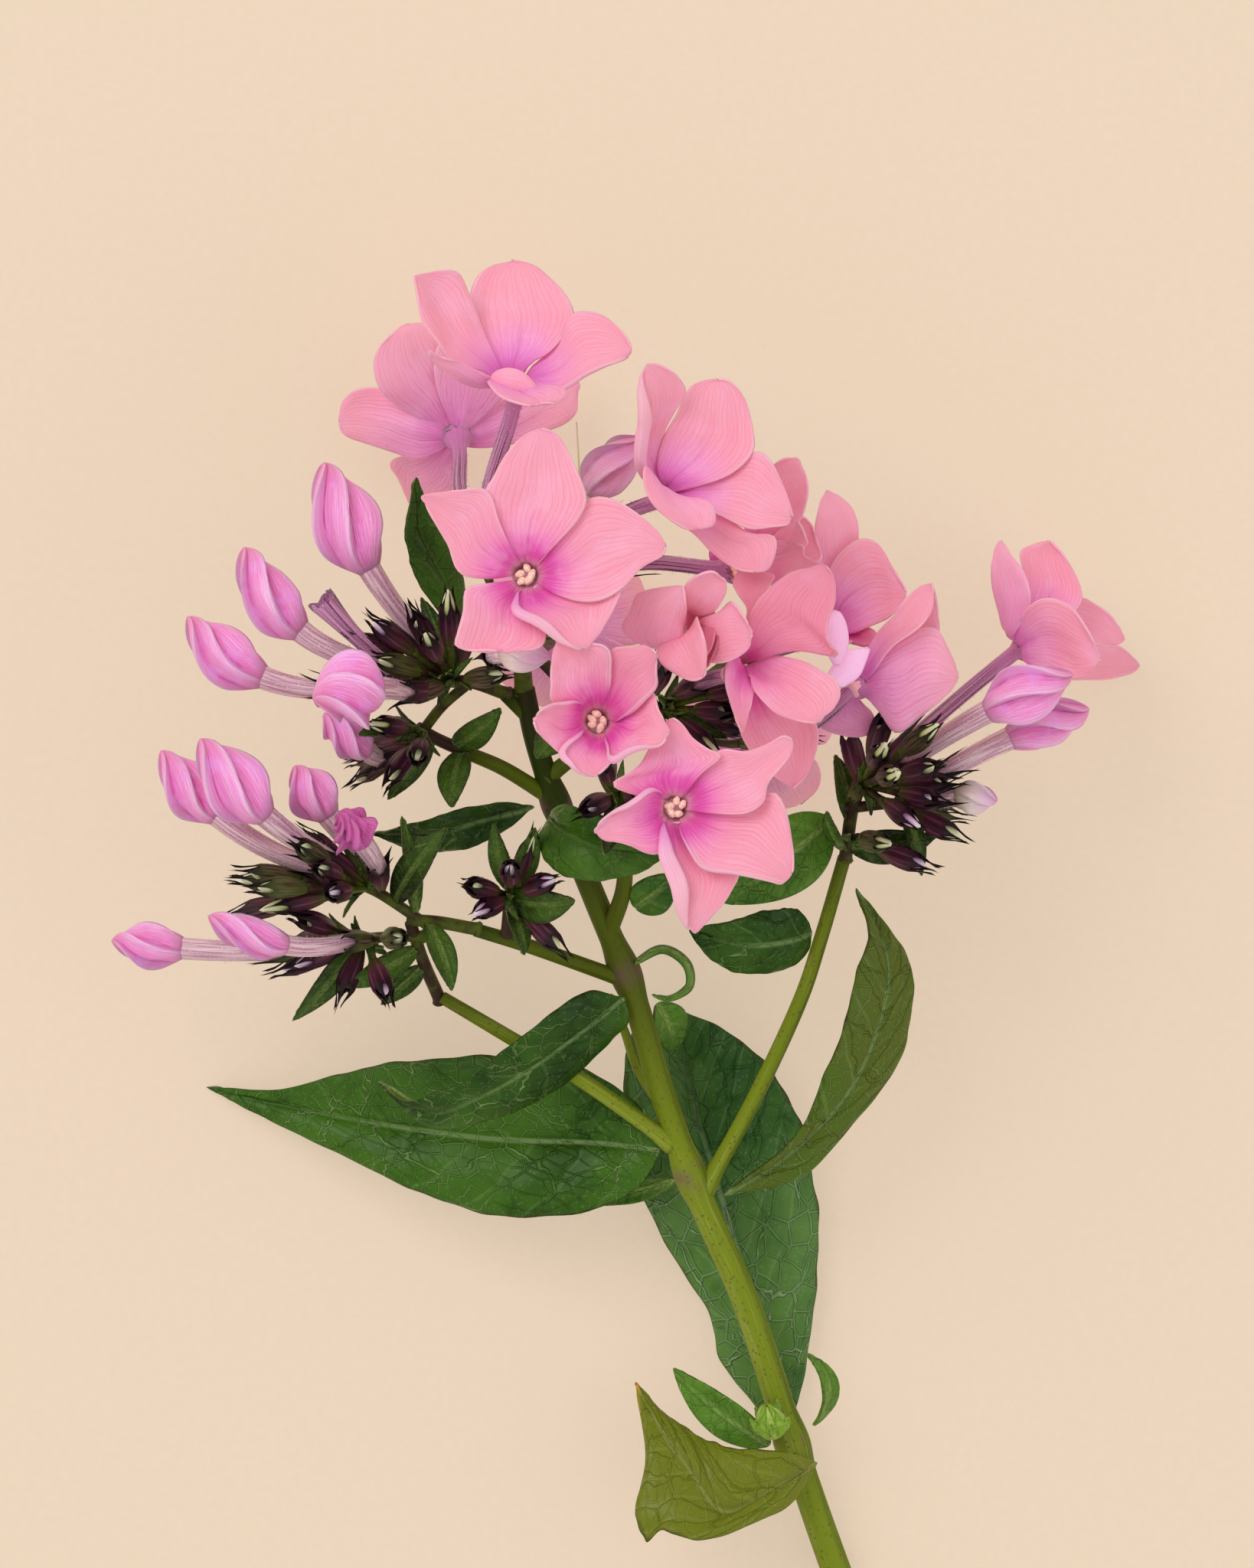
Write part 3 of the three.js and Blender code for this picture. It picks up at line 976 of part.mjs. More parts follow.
function gridNormal(grid, i, j) {
  const lengthwise = grid[i + 1][j].clone().sub(grid[i - 1][j]);
  const crosswise = grid[i][j + 1].clone().sub(grid[i][j - 1]);
  return lengthwise.cross(crosswise).normalize();
}

function bladeFaces(front, back) {
  const faces = [];
  const add = (ids, flip) => {
    if (new Set(ids).size < 3) return;
    faces.push(flip ? [ids[0], ids[2], ids[1]] : ids);
  };
  for (let i = 0; i + 1 < front.length; i += 1) {
    const cells = front[i].length - 1;
    for (let j = 0; j < cells; j += 1) {
      for (const [side, flip] of [[front, false], [back, true]]) {
        const [a, b, c, d] = [side[i][j], side[i][j + 1], side[i + 1][j + 1], side[i + 1][j]];
        const pair = j < cells / 2 ? [[a, b, c], [a, c, d]] : [[a, b, d], [b, c, d]];
        pair.forEach((ids) => add(ids, flip));
      }
    }
  }
  return faces;
}

// Half width of a petal along its length, as a share of its widest: a narrow claw, then a broad limb.
function petalOutline(s, pointedness) {
  if (s < PETAL_WIDEST) return PETAL_CLAW + (1 - PETAL_CLAW) * Math.sin((Math.PI / 2) * (s / PETAL_WIDEST));
  const x = (s - PETAL_WIDEST) / (1 - PETAL_WIDEST);
  return Math.max(0, 1 - x ** 2) ** pointedness;
}

function petalSurface(throat, faces, [tipAt, width, arch, cup, twist, pointedness]) {
  const tip = point(tipAt);
  const reach = tip.clone().sub(throat);
  const outward = reach.clone().addScaledVector(faces, -reach.dot(faces)).normalize();
  const start = along(along(throat, outward, CLAW_OFFSET), faces, -CLAW_OFFSET / 2);
  const length = start.distanceTo(tip);
  const control = along(along(start, outward, length / 2), faces, arch * length);
  const middle = new THREE.QuadraticBezierCurve3(start, control, tip);
  return (s, t) => {
    const forward = middle.getTangent(Math.min(s, 0.999));
    const side = new THREE.Vector3().crossVectors(faces, forward).normalize();
    const normal = new THREE.Vector3().crossVectors(forward, side);
    const angle = twist * s;
    const turnedSide = side.clone().multiplyScalar(Math.cos(angle)).addScaledVector(normal, Math.sin(angle));
    const turnedUp = normal.clone().multiplyScalar(Math.cos(angle)).addScaledVector(side, -Math.sin(angle));
    const half = (width / 2) * petalOutline(s, pointedness);
    return along(along(middle.getPoint(s), turnedSide, half * t), turnedUp, cup * half * t * t);
  };
}

function meanOf(points) {
  return points.map(point).reduce((sum, at) => sum.add(at)).divideScalar(points.length);
}

// A petal between its two edges, which both run from the throat to the tip. Near the eye both edges are
// set out to the width of the claw, and the left one runs on under the next petal.
function edgedPetal(throat, faces, { tip, left, right }) {
  const reach = meanOf([...left, ...right]).sub(throat);
  const outward = reach.addScaledVector(faces, -reach.dot(faces)).normalize();
  const start = along(along(throat, outward, CLAW_OFFSET), faces, -CLAW_OFFSET / 2).toArray();
  const [leftLine, rightLine] = [left, right].map((edge) => smoothLine([start, ...edge, tip]));
  const side = faces.clone().cross(outward);
  side.multiplyScalar(Math.sign(side.dot(meanOf(left).sub(meanOf(right)))));
  const claw = (s) => CLAW_HALF * Math.max(0, 1 - s / CLAW_ENDS);
  const under = (s) => UNDERLAP * Math.sin(Math.PI * Math.min(s / UNDERLAP_ENDS, 1));
  const leftAt = (s) => along(leftLine.getPointAt(s), side, claw(s) + under(s));
  const rightAt = (s) => along(rightLine.getPointAt(s), side, -claw(s));
  const middleAt = (s) => leftAt(s).lerp(rightAt(s), 0.5);
  return (s, t) => {
    const span = leftAt(s).sub(rightAt(s));
    const forward = middleAt(Math.min(s + 0.01, 1)).sub(middleAt(Math.max(s - 0.01, 0)));
    const normal = forward.cross(span).normalize();
    const dish = (-PETAL_DISH / 2) * span.length() * (1 - t * t);
    return along(along(middleAt(s), span, t / 2), normal, dish);
  };
}

function flowerTube(bloom) {
  const throat = point(bloom.throat);
  const faces = point(bloom.faces).normalize();
  const { start, direction } = tubeStart(bloom);
  const reach = start.distanceTo(throat);
  const curve = new THREE.CubicBezierCurve3(
    start, along(start, direction, reach * TUBE_BEND), along(throat, faces, -reach * TUBE_BEND), throat,
  );
  const flareFrom = 1 - THROAT_DEPTH / reach;
  const radiusAt = (u) => (u > flareFrom ? THROAT_RADIUS : TUBE_RADIUS);
  return bar(curve, radiusAt, STALK_SIDES, TUBE_STEPS);
}

function bloomSolid(bloom) {
  const throat = point(bloom.throat);
  const faces = point(bloom.faces).normalize();
  const petals = bloom.petals.map((petal) => (petal.tip
    ? blade(edgedPetal(throat, faces, petal), EDGED_ROWS, NARROW_COLUMNS, PETAL_THICKNESS)
    : blade(petalSurface(throat, faces, petal), PETAL_ROWS, NARROW_COLUMNS, PETAL_THICKNESS)));
  return fuse([flowerTube(bloom), ...petals]);
}

// ---------------------------------------------------------------- buds

// Where a tube starts, just clear of the calyx it stands in, and which way it leaves it.
function tubeStart({ cyme, hub, mouth, throat, neck }) {
  const root = point(CYMES[cyme].hubs[hub]);
  const leave = calyxDirection(root, point(mouth), point(throat ?? neck));
  return { start: along(point(mouth), leave, SEAT_GAP), direction: leave };
}

function calyxDirection(root, mouth, next) {
  return towards(root, mouth).lerp(towards(mouth, next), 0.5).normalize();
}

function budHead(x) {
  return Math.sin(Math.PI * x ** 0.72) ** 0.8;
}

function budSolid([, cyme, hub, mouth, neckAt, tipAt, radius]) {
  const neck = point(neckAt);
  const { start } = tubeStart({ cyme, hub, mouth, neck: neckAt });
  const { curve, middleAt } = curveThrough(start, neck, point(tipAt));
  const steady = steadyFor(towards(start, point(tipAt)));
  const sides = BUD_PLEATS * 2;
  const stations = [0, middleAt * BUD_NECK, ...BUD_ROWS.map((x) => middleAt + (1 - middleAt) * x)];
  const rings = stations.map((u) => {
    const x = Math.max(0, (u - middleAt) / (1 - middleAt));
    const axes = across(curve.getTangent(u), steady);
    const neckRadius = Math.min(BUD_NECK_RADIUS, radius * BUD_NECK_SHARE);
    const stalk = BUD_TUBE_RADIUS + (neckRadius - BUD_TUBE_RADIUS) * Math.min(1, u / middleAt);
    const full = Math.max(x < 0.5 ? stalk : 0, radius * budHead(x));
    const depth = x > 0 ? BUD_PLEAT_DEPTH : 0;
    const radiusOf = (k) => full * (1 + (k % 2 ? -depth : depth));
    return ringAt(curve.getPoint(u), axes, radiusOf, sides, BUD_TWIST * x);
  });
  rings.push([curve.getPoint(1)]);
  return loft(rings);
}

// ---------------------------------------------------------------- calyces and cymes

// A flower stalk that widens into a calyx with five pointed teeth round its open mouth.
function calyx(root, mouth, direction) {
  const { rings, axes, teeth } = calyxRings(root, mouth, direction, TEETH, CALYX_RADIUS);
  const inner = ringAt(mouth, axes, () => CALYX_RADIUS * CALYX_INNER, TEETH);
  const points = [...rings.flat(), ...teeth, ...inner];
  const id = (row, k) => row * TEETH + (k % TEETH);
  const [OUTER, TIPS, INNER] = [rings.length - 1, rings.length, rings.length + 1];
  const faces = calyxWall(rings.length, TEETH);
  for (let k = 0; k < TEETH; k += 1) {
    faces.push([id(OUTER, k), id(OUTER, k + 1), id(TIPS, k)]);
    faces.push([id(INNER, k + 1), id(INNER, k), id(TIPS, k)]);
    faces.push([id(OUTER, k), id(TIPS, k), id(INNER, k)]);
    faces.push([id(OUTER, k + 1), id(INNER, k + 1), id(TIPS, k)]);
  }
  capRing(faces, id(INNER, 0), TEETH, false);
  return outwardSolid(points, faces);
}

// The same, slimmer and still closed round a tiny bud: the teeth are ridges that run down to its tip.
function youngCalyx(root, mouth) {
  const direction = towards(root, mouth);
  const { rings, teeth } = calyxRings(root, mouth, direction, YOUNG_TEETH, YOUNG_RADIUS);
  const points = [...rings.flat(), ...teeth, along(mouth, direction, TINY_BUD_HEIGHT)];
  const id = (row, k) => row * YOUNG_TEETH + (k % YOUNG_TEETH);
  const [OUTER, TIPS] = [rings.length - 1, rings.length];
  const bud = id(TIPS + 1, 0);
  const faces = calyxWall(rings.length, YOUNG_TEETH);
  for (let k = 0; k < YOUNG_TEETH; k += 1) {
    faces.push([id(OUTER, k), id(OUTER, k + 1), id(TIPS, k)]);
    faces.push([id(OUTER, k + 1), bud, id(TIPS, k)]);
    faces.push([bud, id(OUTER, k), id(TIPS, k)]);
  }
  return outwardSolid(points, faces);
}

function calyxRings(root, mouth, direction, sides, radius) {
  const shoulder = along(mouth, direction, -CALYX_LENGTH);
  const axes = across(direction, steadyFor(direction));
  const stalkAxes = across(towards(root, shoulder), steadyFor(direction));
  const rings = [
    ringAt(root, stalkAxes, () => PEDICEL_RADIUS, sides),
    ringAt(shoulder, axes, () => radius * CALYX_BASE, sides),
    ringAt(mouth, axes, () => radius, sides),
  ];
  const tipsAt = along(mouth, direction, TOOTH_LENGTH);
  const teeth = ringAt(tipsAt, axes, () => radius * TOOTH_SPREAD, sides, Math.PI / sides);
  return { rings, axes, teeth };
}

function calyxWall(rows, sides) {
  const faces = [];
  const id = (row, k) => row * sides + (k % sides);
  capRing(faces, 0, sides, true);
  for (let row = 0; row + 1 < rows; row += 1) {
    for (let k = 0; k < sides; k += 1) {
      faces.push([id(row, k), id(row, k + 1), id(row + 1, k)]);
      faces.push([id(row, k + 1), id(row + 1, k + 1), id(row + 1, k)]);
    }
  }
  return faces;
}

function flowersOf(cymeName) {
  const buds = BUDS.map(([, cyme, hub, mouth, neck]) => ({ cyme, hub, mouth, next: neck }));
  const blooms = BLOOMS.map(({ cyme, hub, mouth, throat }) => ({ cyme, hub, mouth, next: throat }));
  return [...blooms, ...buds].filter(({ cyme }) => cyme === cymeName);
}

// The point of a flower head's axes that is nearest to a place: a small leaf's root is sunk in there.
function nearestOn(axes, place) {
  const spots = axes.flatMap(([line]) => smoothLine(line).getPoints(12));
  return spots.reduce((best, spot) => (spot.distanceTo(place) < best.distanceTo(place) ? spot : best));
}

function cymeSolid(name) {
  const { axes, hubs, young, bracts } = CYMES[name];
  const stalks = axes.map(([line, from, to]) => {
    return bar(smoothLine(line), (u) => from + (to - from) * u, STALK_SIDES, 2);
  });
  const open = flowersOf(name).map(({ hub, mouth, next }) => {
    const root = point(hubs[hub]);
    return calyx(root, point(mouth), calyxDirection(root, point(mouth), point(next)));
  });
  const closed = young.map(([hub, mouth]) => youngCalyx(point(hubs[hub]), point(mouth)));
  const leaves = bracts.map(([base, ...shape]) => {
    const surface = leafSurface(nearestOn(axes, point(base)).toArray(), ...shape);
    return blade(surface, BRACT_ROWS, NARROW_COLUMNS, LEAF_THICKNESS);
  });
  return fuse([...stalks, ...open, ...closed, ...leaves]);
}

// ---------------------------------------------------------------- leaves

// A leaf by its base, tip and width: a pointed oval, folded a little along the midrib.
function leafSurface(baseAt, tipAt, width, upAt, arch) {
  const base = point(baseAt);
  const tip = point(tipAt);
  const up = point(upAt).normalize();
  const length = base.distanceTo(tip);
  const control = along(base.clone().lerp(tip, 0.5), up, arch * length * 2);
  const middle = new THREE.QuadraticBezierCurve3(base, control, tip);
  return (s, t) => {
    const forward = middle.getTangent(s);
    const side = new THREE.Vector3().crossVectors(up, forward).normalize();
    const normal = new THREE.Vector3().crossVectors(forward, side);
    const half = (width / 2) * Math.sin(Math.PI * s ** 0.8) ** 0.85;
    return along(along(middle.getPoint(s), side, half * t), normal, LEAF_FOLD * half * Math.abs(t));
  };
}

// A leaf by its midrib and both edges.
function railSurface({ middle, left, right }) {
  const [rib, port, starboard] = [middle, left, right].map(smoothLine);
  return (s, t) => {
    const edge = (t < 0 ? port : starboard).getPoint(s);
    return rib.getPoint(s).lerp(edge, Math.abs(t));
  };
}

// ---------------------------------------------------------------- the stem

function stemRadius(at, u) {
  const plain = STEM_RADIUS + (STEM_TOP_RADIUS - STEM_RADIUS) * u;
  const swelling = STEM_NODES.reduce((most, node) => {
    return Math.max(most, 1 - at.distanceTo(point(node)) / NODE_HALF_LENGTH);
  }, 0);
  return plain + NODE_SWELLING * swelling;
}

function stemSolid() {
  const line = smoothLine(STEM_LINE);
  const stem = bar(line, (u) => stemRadius(line.getPoint(u), u), STEM_SIDES, STEM_STEPS);
  const branches = BRANCHES.map(([points, from, to]) => {
    return bar(smoothLine(points), (u) => from + (to - from) * u, STALK_SIDES, BRANCH_STEPS);
  });
  return fuse([stem, ...branches]).subtract(groundBlock());
}

// Everything under z = 0, cut away to leave the small flat that the stem rests on.
function groundBlock() {
  const [width, length, depth] = GROUND_BLOCK;
  const geometry = new THREE.BoxGeometry(width, length, depth);
  geometry.translate(0, 0, -depth / 2);
  return solidFrom(geometry);
}

function axillaryBud() {
  const { centre, tip, radius, sides, rings } = AXILLARY_BUD;
  const axis = towards(point(centre), point(tip));
  const axes = across(axis, steadyFor(axis));
  const belly = rings.map(([distance, share]) => {
    return ringAt(along(point(centre), axis, distance), axes, () => radius * share, sides);
  });
  return loft([...belly, [point(tip)]]);
}

// ---------------------------------------------------------------- the whole plant

function allPieces() {
  const pieces = [['stem', stemSolid(), FINISHES.stem()]];
  for (const name of Object.keys(CYMES)) pieces.push([name, cymeSolid(name), FINISHES.cyme()]);
  for (const bloom of BLOOMS) pieces.push([bloom.name, bloomSolid(bloom), FINISHES.petal()]);
  for (const bud of BUDS) pieces.push([bud[0], budSolid(bud), FINISHES.bud()]);
  for (const [name, rails] of Object.entries(LEAVES)) {
    const solid = blade(railSurface(rails), LEAF_ROWS, LEAF_COLUMNS, LEAF_THICKNESS);
    pieces.push([name, solid, FINISHES.leaf()]);
  }
  for (const [name, ...shape] of SMALL_LEAVES) {
    const solid = blade(leafSurface(...shape), SMALL_LEAF_ROWS, NARROW_COLUMNS, LEAF_THICKNESS);
    pieces.push([name, solid, FINISHES.leaf()]);
  }
  pieces.push(['bud_axillary', axillaryBud(), FINISHES.youngLeaf()]);
  return pieces;
}

// Pieces that would touch are parted: the later one is cut back to leave the clearance.
function partedPieces(pieces) {
  const done = [];
  for (const [name, whole, material] of pieces) {
    let solid = whole;
    for (const [, earlier] of done) {
      if (solid.intersect(earlier).volume() > LEAST_OVERLAP) {
        solid = mainBody(solid.subtract(grown(earlier, CLEARANCE)).subtract(earlier));
      }
    }
    done.push([name, solid, material]);
  }
  return done;
}

const group = new THREE.Group();
for (const [name, solid, material] of partedPieces(allPieces())) {
  const mesh = new THREE.Mesh(geometryOf(solid), material);
  mesh.name = name;
  group.add(mesh);
}

export default group;
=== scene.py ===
"""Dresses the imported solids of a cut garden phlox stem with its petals, buds, calyces, leaves and skin.

Every length below is in millimetres in the frame of the solids: +Y runs up the stem, +Z is up, and the
plant lies on z = 0. The meshes are written in metres.
"""

import math

import bpy
import numpy as np
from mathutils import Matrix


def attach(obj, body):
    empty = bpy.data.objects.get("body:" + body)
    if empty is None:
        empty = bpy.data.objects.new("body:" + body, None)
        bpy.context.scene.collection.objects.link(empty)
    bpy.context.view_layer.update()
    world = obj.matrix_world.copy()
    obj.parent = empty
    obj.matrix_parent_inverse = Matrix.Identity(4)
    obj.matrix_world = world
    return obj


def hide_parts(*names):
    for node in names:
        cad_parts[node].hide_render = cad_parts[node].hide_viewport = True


bl_info = {
    "name": "Garden phlox stem",
    "version": (1, 0, 0),
    "blender": (4, 5, 0),
    "location": "3D View > Sidebar > Phlox",
    "description": "Builds the visible surfaces of a cut phlox stem that lies on a table",
    "category": "Add Mesh",
}

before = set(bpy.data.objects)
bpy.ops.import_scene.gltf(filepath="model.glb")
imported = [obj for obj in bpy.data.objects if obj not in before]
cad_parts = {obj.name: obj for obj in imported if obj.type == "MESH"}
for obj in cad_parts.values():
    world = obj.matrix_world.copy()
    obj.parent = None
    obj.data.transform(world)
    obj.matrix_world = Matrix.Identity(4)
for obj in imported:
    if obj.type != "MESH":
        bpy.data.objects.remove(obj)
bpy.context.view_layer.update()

MM = 0.001
TURN = 2 * math.pi
TANGENT_STEP = 1e-4

# ------------------------------------------------------------------ where everything grows

# The main stem, from the cut end to the crown, and its swollen nodes.
STEM_LINE = [[1.6, -5, 1.75], [-2.4, 7, 1.8], [-6.3, 17, 3.5], [-11.5, 32, 6.5], [-18, 52, 11],
    [-24.5, 67, 15], [-29, 79.5, 18], [-33.5, 94.5, 22], [-38.5, 107, 25.5], [-43, 118, 29], [-46, 127, 32],
    [-47.5, 134, 35]]
STEM_NODES = [[-12, 34, 7], [-25.5, 70, 15.5], [-34.2, 97, 22.6], [-43.3, 119, 29.4]]

# Side branches: [points, radius at the root, radius at the tip].
BRANCHES = [
    [[[-28, 74, 16.6], [-40, 82.5, 21], [-50, 88.5, 22.5], [-58.5, 93.5, 22]], 1.1, 0.85],
    [[[-33.6, 95.5, 22.3], [-46, 100, 27], [-54, 102.5, 28.5]], 1.05, 0.9],
    [[[-43.6, 119.5, 29.8], [-50, 123.5, 31], [-55, 125.7, 30.5]], 1.05, 0.9],
    [[[-46.6, 130, 33.2], [-50, 133.3, 35]], 1.0, 0.9],
    [[[-24, 67.5, 15], [-17.5, 79.5, 19], [-11.5, 92.5, 23], [-8.5, 101.5, 25], [-5.5, 112, 27]], 1.1, 0.9],
    [[[-36.5, 102, 24], [-34.5, 108, 30], [-34.5, 115, 36.5]], 1.2, 0.95],
    [[[-44.4, 122.5, 30.6], [-38.5, 127.3, 33]], 1.1, 0.95],
    [[[-28.6, 78, 17.6], [-32.5, 83.5, 13], [-34.5, 89, 11], [-36.5, 93.5, 10]], 0.75, 0.5]
]

# Each flower head: its axes, the hubs its flower stalks leave from, calyces that hold only a tiny bud
# [hub, mouth], and its small leaves [base, tip, width, up, arch].
CYMES = {
    "cyme_crown": {"axes": [[[[-47.6, 134.5, 35.5], [-47.8, 138, 39.5], [-47.5, 140, 43]], 1.3, 1.1],
     [[[-38, 127.7, 33.3], [-33, 131, 36], [-29, 131.5, 38]], 0.95, 0.9], [[[-34.5, 115.8, 37.2],
     [-35, 119, 41], [-35, 120.5, 44]], 0.95, 0.85], [[[-38.2, 127.5, 33.2], [-41, 133, 37],
     [-46.5, 139, 41]], 0.8, 0.8], [[[-38.2, 127.5, 33.2], [-37, 122.5, 38], [-35.2, 119.5, 41]], 0.8,
     0.8]], "hubs": {"top": [-47.5, 140, 43], "right": [-29.5, 131.5, 38], "low": [-35, 120.5, 44]},
     "young": [["top", [-42, 147, 51]], ["right", [-20, 134, 51]], ["right", [-21.5, 131, 48]],
     ["low", [-39, 118.5, 52]], ["right", [-24, 127, 45]], ["right", [-20, 129, 42]]],
     "bracts": [[[-35, 120.5, 44], [-37, 112.5, 56], 3.2, [0, -0.3, 1], 0.1], [[-30, 130, 39],
     [-21, 127.5, 43], 3, [0, 0, 1], 0.08], [[-41, 131, 37], [-46, 125, 43], 5.5, [-0.2, -0.3, 1], 0.12]]},
    "cyme_upper_left": {"axes": [[[[-50.5, 133.6, 35.3], [-54, 134.8, 37], [-57, 135, 38]], 0.9, 0.85],
     [[[-55.6, 126, 30.4], [-59, 127.5, 31.5], [-61.5, 129, 33]], 0.9, 0.8], [[[-54.5, 134.9, 37.2],
     [-58, 132, 35.5], [-60.5, 129, 33]], 0.7, 0.7]], "hubs": {"high": [-57, 135, 38],
     "low": [-60.5, 128.6, 32.6]}, "young": [["high", [-57.2, 144.1, 46]], ["high", [-61.3, 142.6, 45]],
     ["high", [-65.7, 141.6, 47]], ["high", [-67.9, 139.9, 46]], ["high", [-64.9, 137.3, 47]], ["high",
     [-51.3, 135.7, 45]], ["high", [-62.5, 139.8, 34]], ["high", [-61.2, 133.3, 44]], ["high",
     [-59.7, 140.2, 50]], ["high", [-55, 141.8, 36]], ["low", [-68, 123.2, 28]], ["low",
     [-68.9, 125.2, 22]], ["low", [-65.8, 129.2, 42]], ["low", [-64.4, 123, 40]], ["low",
     [-66.2, 127.5, 25]], ["low", [-61.3, 125.2, 43]]], "bracts": [[[-56.5, 127, 32], [-50.5, 131.5, 38], 4,
     [0, -0.4, 1], 0.12], [[-60, 127, 31.5], [-65.5, 119.5, 30], 3.4, [0, 0, 1], 0.1], [[-55, 125, 31],
     [-57, 118.5, 36], 4.5, [-0.3, 0, 1], 0.14], [[-62, 130, 34], [-69, 128, 43], 3, [0, 0.3, 1], 0.1],
     [[-57, 136.5, 38.5], [-61, 146, 37], 3.4, [0.3, 0, 1], 0.1]]},
    "cyme_lower_left": {"axes": [[[[-59.1, 93.9, 22], [-61, 98.5, 25], [-62.5, 103.4, 29.2]], 0.9, 0.8],
     [[[-54.6, 102.7, 28.6], [-59, 103.5, 29.4], [-63, 103.8, 29.7]], 0.9, 0.8], [[[-61, 103.6, 29.5],
     [-66, 107, 32], [-69, 108.5, 33]], 0.75, 0.7], [[[-61.8, 101.6, 27.8], [-66, 101.5, 28],
     [-69, 101.3, 28.5]], 0.75, 0.7]], "hubs": {"high": [-68, 108, 32.6], "low": [-68.5, 101.3, 28.4]},
     "young": [["high", [-75.8, 113.3, 46.5]], ["high", [-82.1, 109.8, 37]], ["high", [-80.6, 108.1, 42]],
     ["high", [-82.7, 108.9, 29]], ["high", [-78.7, 105.8, 38]], ["high", [-83.7, 104.9, 30]], ["high",
     [-73.6, 110.6, 47]], ["high", [-75.1, 114.2, 32]], ["high", [-72.1, 107.6, 46]], ["low",
     [-75.9, 103.8, 38]], ["low", [-75.7, 98.5, 32]], ["low", [-77.8, 97.7, 27]],
     ["low", [-70.9, 95.1, 32]], ["low", [-65.8, 94.8, 36]], ["low", [-76.3, 101, 20]], ["low",
     [-63.8, 101.6, 42]]], "bracts": [[[-63, 99, 27], [-71, 95, 32], 3.6, [0, -0.2, 1], 0.14],
     [[-69.5, 99.5, 29], [-78, 90.5, 30], 3.6, [0.3, 0, 1], 0.16], [[-60, 103.5, 30], [-57, 94.5, 33], 3.6,
     [0.4, 0, 1], 0.14], [[-61, 105, 31], [-63.5, 117.5, 36], 2.6, [0.5, 0, 1], 0.06], [[-64, 106, 32],
     [-57.5, 116, 39], 4.4, [-0.4, 0, 1], 0.12], [[-60.5, 97, 25.5], [-66.5, 92.5, 24], 3, [0, 0, 1],
     0.1]]},
    "cyme_small_left": {"axes": [[[[-49.8, 102.8, 30], [-49.5, 106, 33], [-49.2, 107.5, 35]], 0.8, 0.8]],
     "hubs": {"mid": [-49.3, 107, 34.6]}, "young": [["mid", [-49.2, 110.6, 46]], ["mid",
     [-53.9, 108.3, 43]], ["mid", [-44.7, 108.8, 43]], ["mid", [-43.8, 101.2, 38]], ["mid",
     [-52.7, 105.3, 42]], ["mid", [-47, 112.8, 40]]], "bracts": [[[-49, 108, 35], [-46, 116, 42], 3.4,
     [0.3, 0, 1], 0.12], [[-49.5, 108, 35], [-51.5, 116.5, 41], 3, [-0.3, 0, 1], 0.1], [[-47, 106, 34],
     [-40.8, 106.5, 42], 5.2, [0, -0.3, 1], 0.16], [[-50, 105.5, 33.5], [-47.5, 99.3, 39], 3, [0.4, 0, 1],
     0.12]]},
    "cyme_right": {"axes": [[[[-5.3, 112.7, 27.2], [-4.6, 118, 28.5], [-3.5, 121.5, 30]], 0.9, 0.85],
     [[[-4.4, 118.5, 28.7], [0, 119, 29.5], [2, 119, 29.5]], 0.75, 0.7]],
     "hubs": {"high": [-3.5, 121.5, 30], "low": [1, 119, 29.5], "lower": [-4.9, 114.6, 28]},
     "young": [["high", [-0.9, 129.4, 38]], ["high", [-4.9, 127.2, 29]], ["high", [-1.2, 125.7, 44]],
     ["high", [4.6, 128, 42]], ["high", [5, 123.7, 43]], ["high", [6.6, 121.8, 36]],
     ["high", [5.3, 119.6, 41]], ["low", [7.8, 115.5, 34]], ["low", [7.4, 117.7, 27]],
     ["high", [2.4, 117.2, 40]], ["lower", [3.6, 111.4, 33]], ["high", [0.2, 122.8, 46]], ["high",
     [-1.7, 124.2, 29]], ["lower", [-1, 114, 36]]], "bracts": [[[-5, 116, 28.5], [-6.8, 125.5, 27], 3.4,
     [0.5, 0, 1], 0.1], [[-5.8, 111.5, 28.4], [-8, 118, 34], 2.6, [-0.6, 0, 1], 0.1], [[-3.6, 113, 28.6],
     [6.5, 114.8, 30], 5, [0, -0.4, 1], 0.12], [[2, 118, 30.5], [4.5, 109.5, 31], 2.6, [0.3, 0, 1], 0.16]]}
}

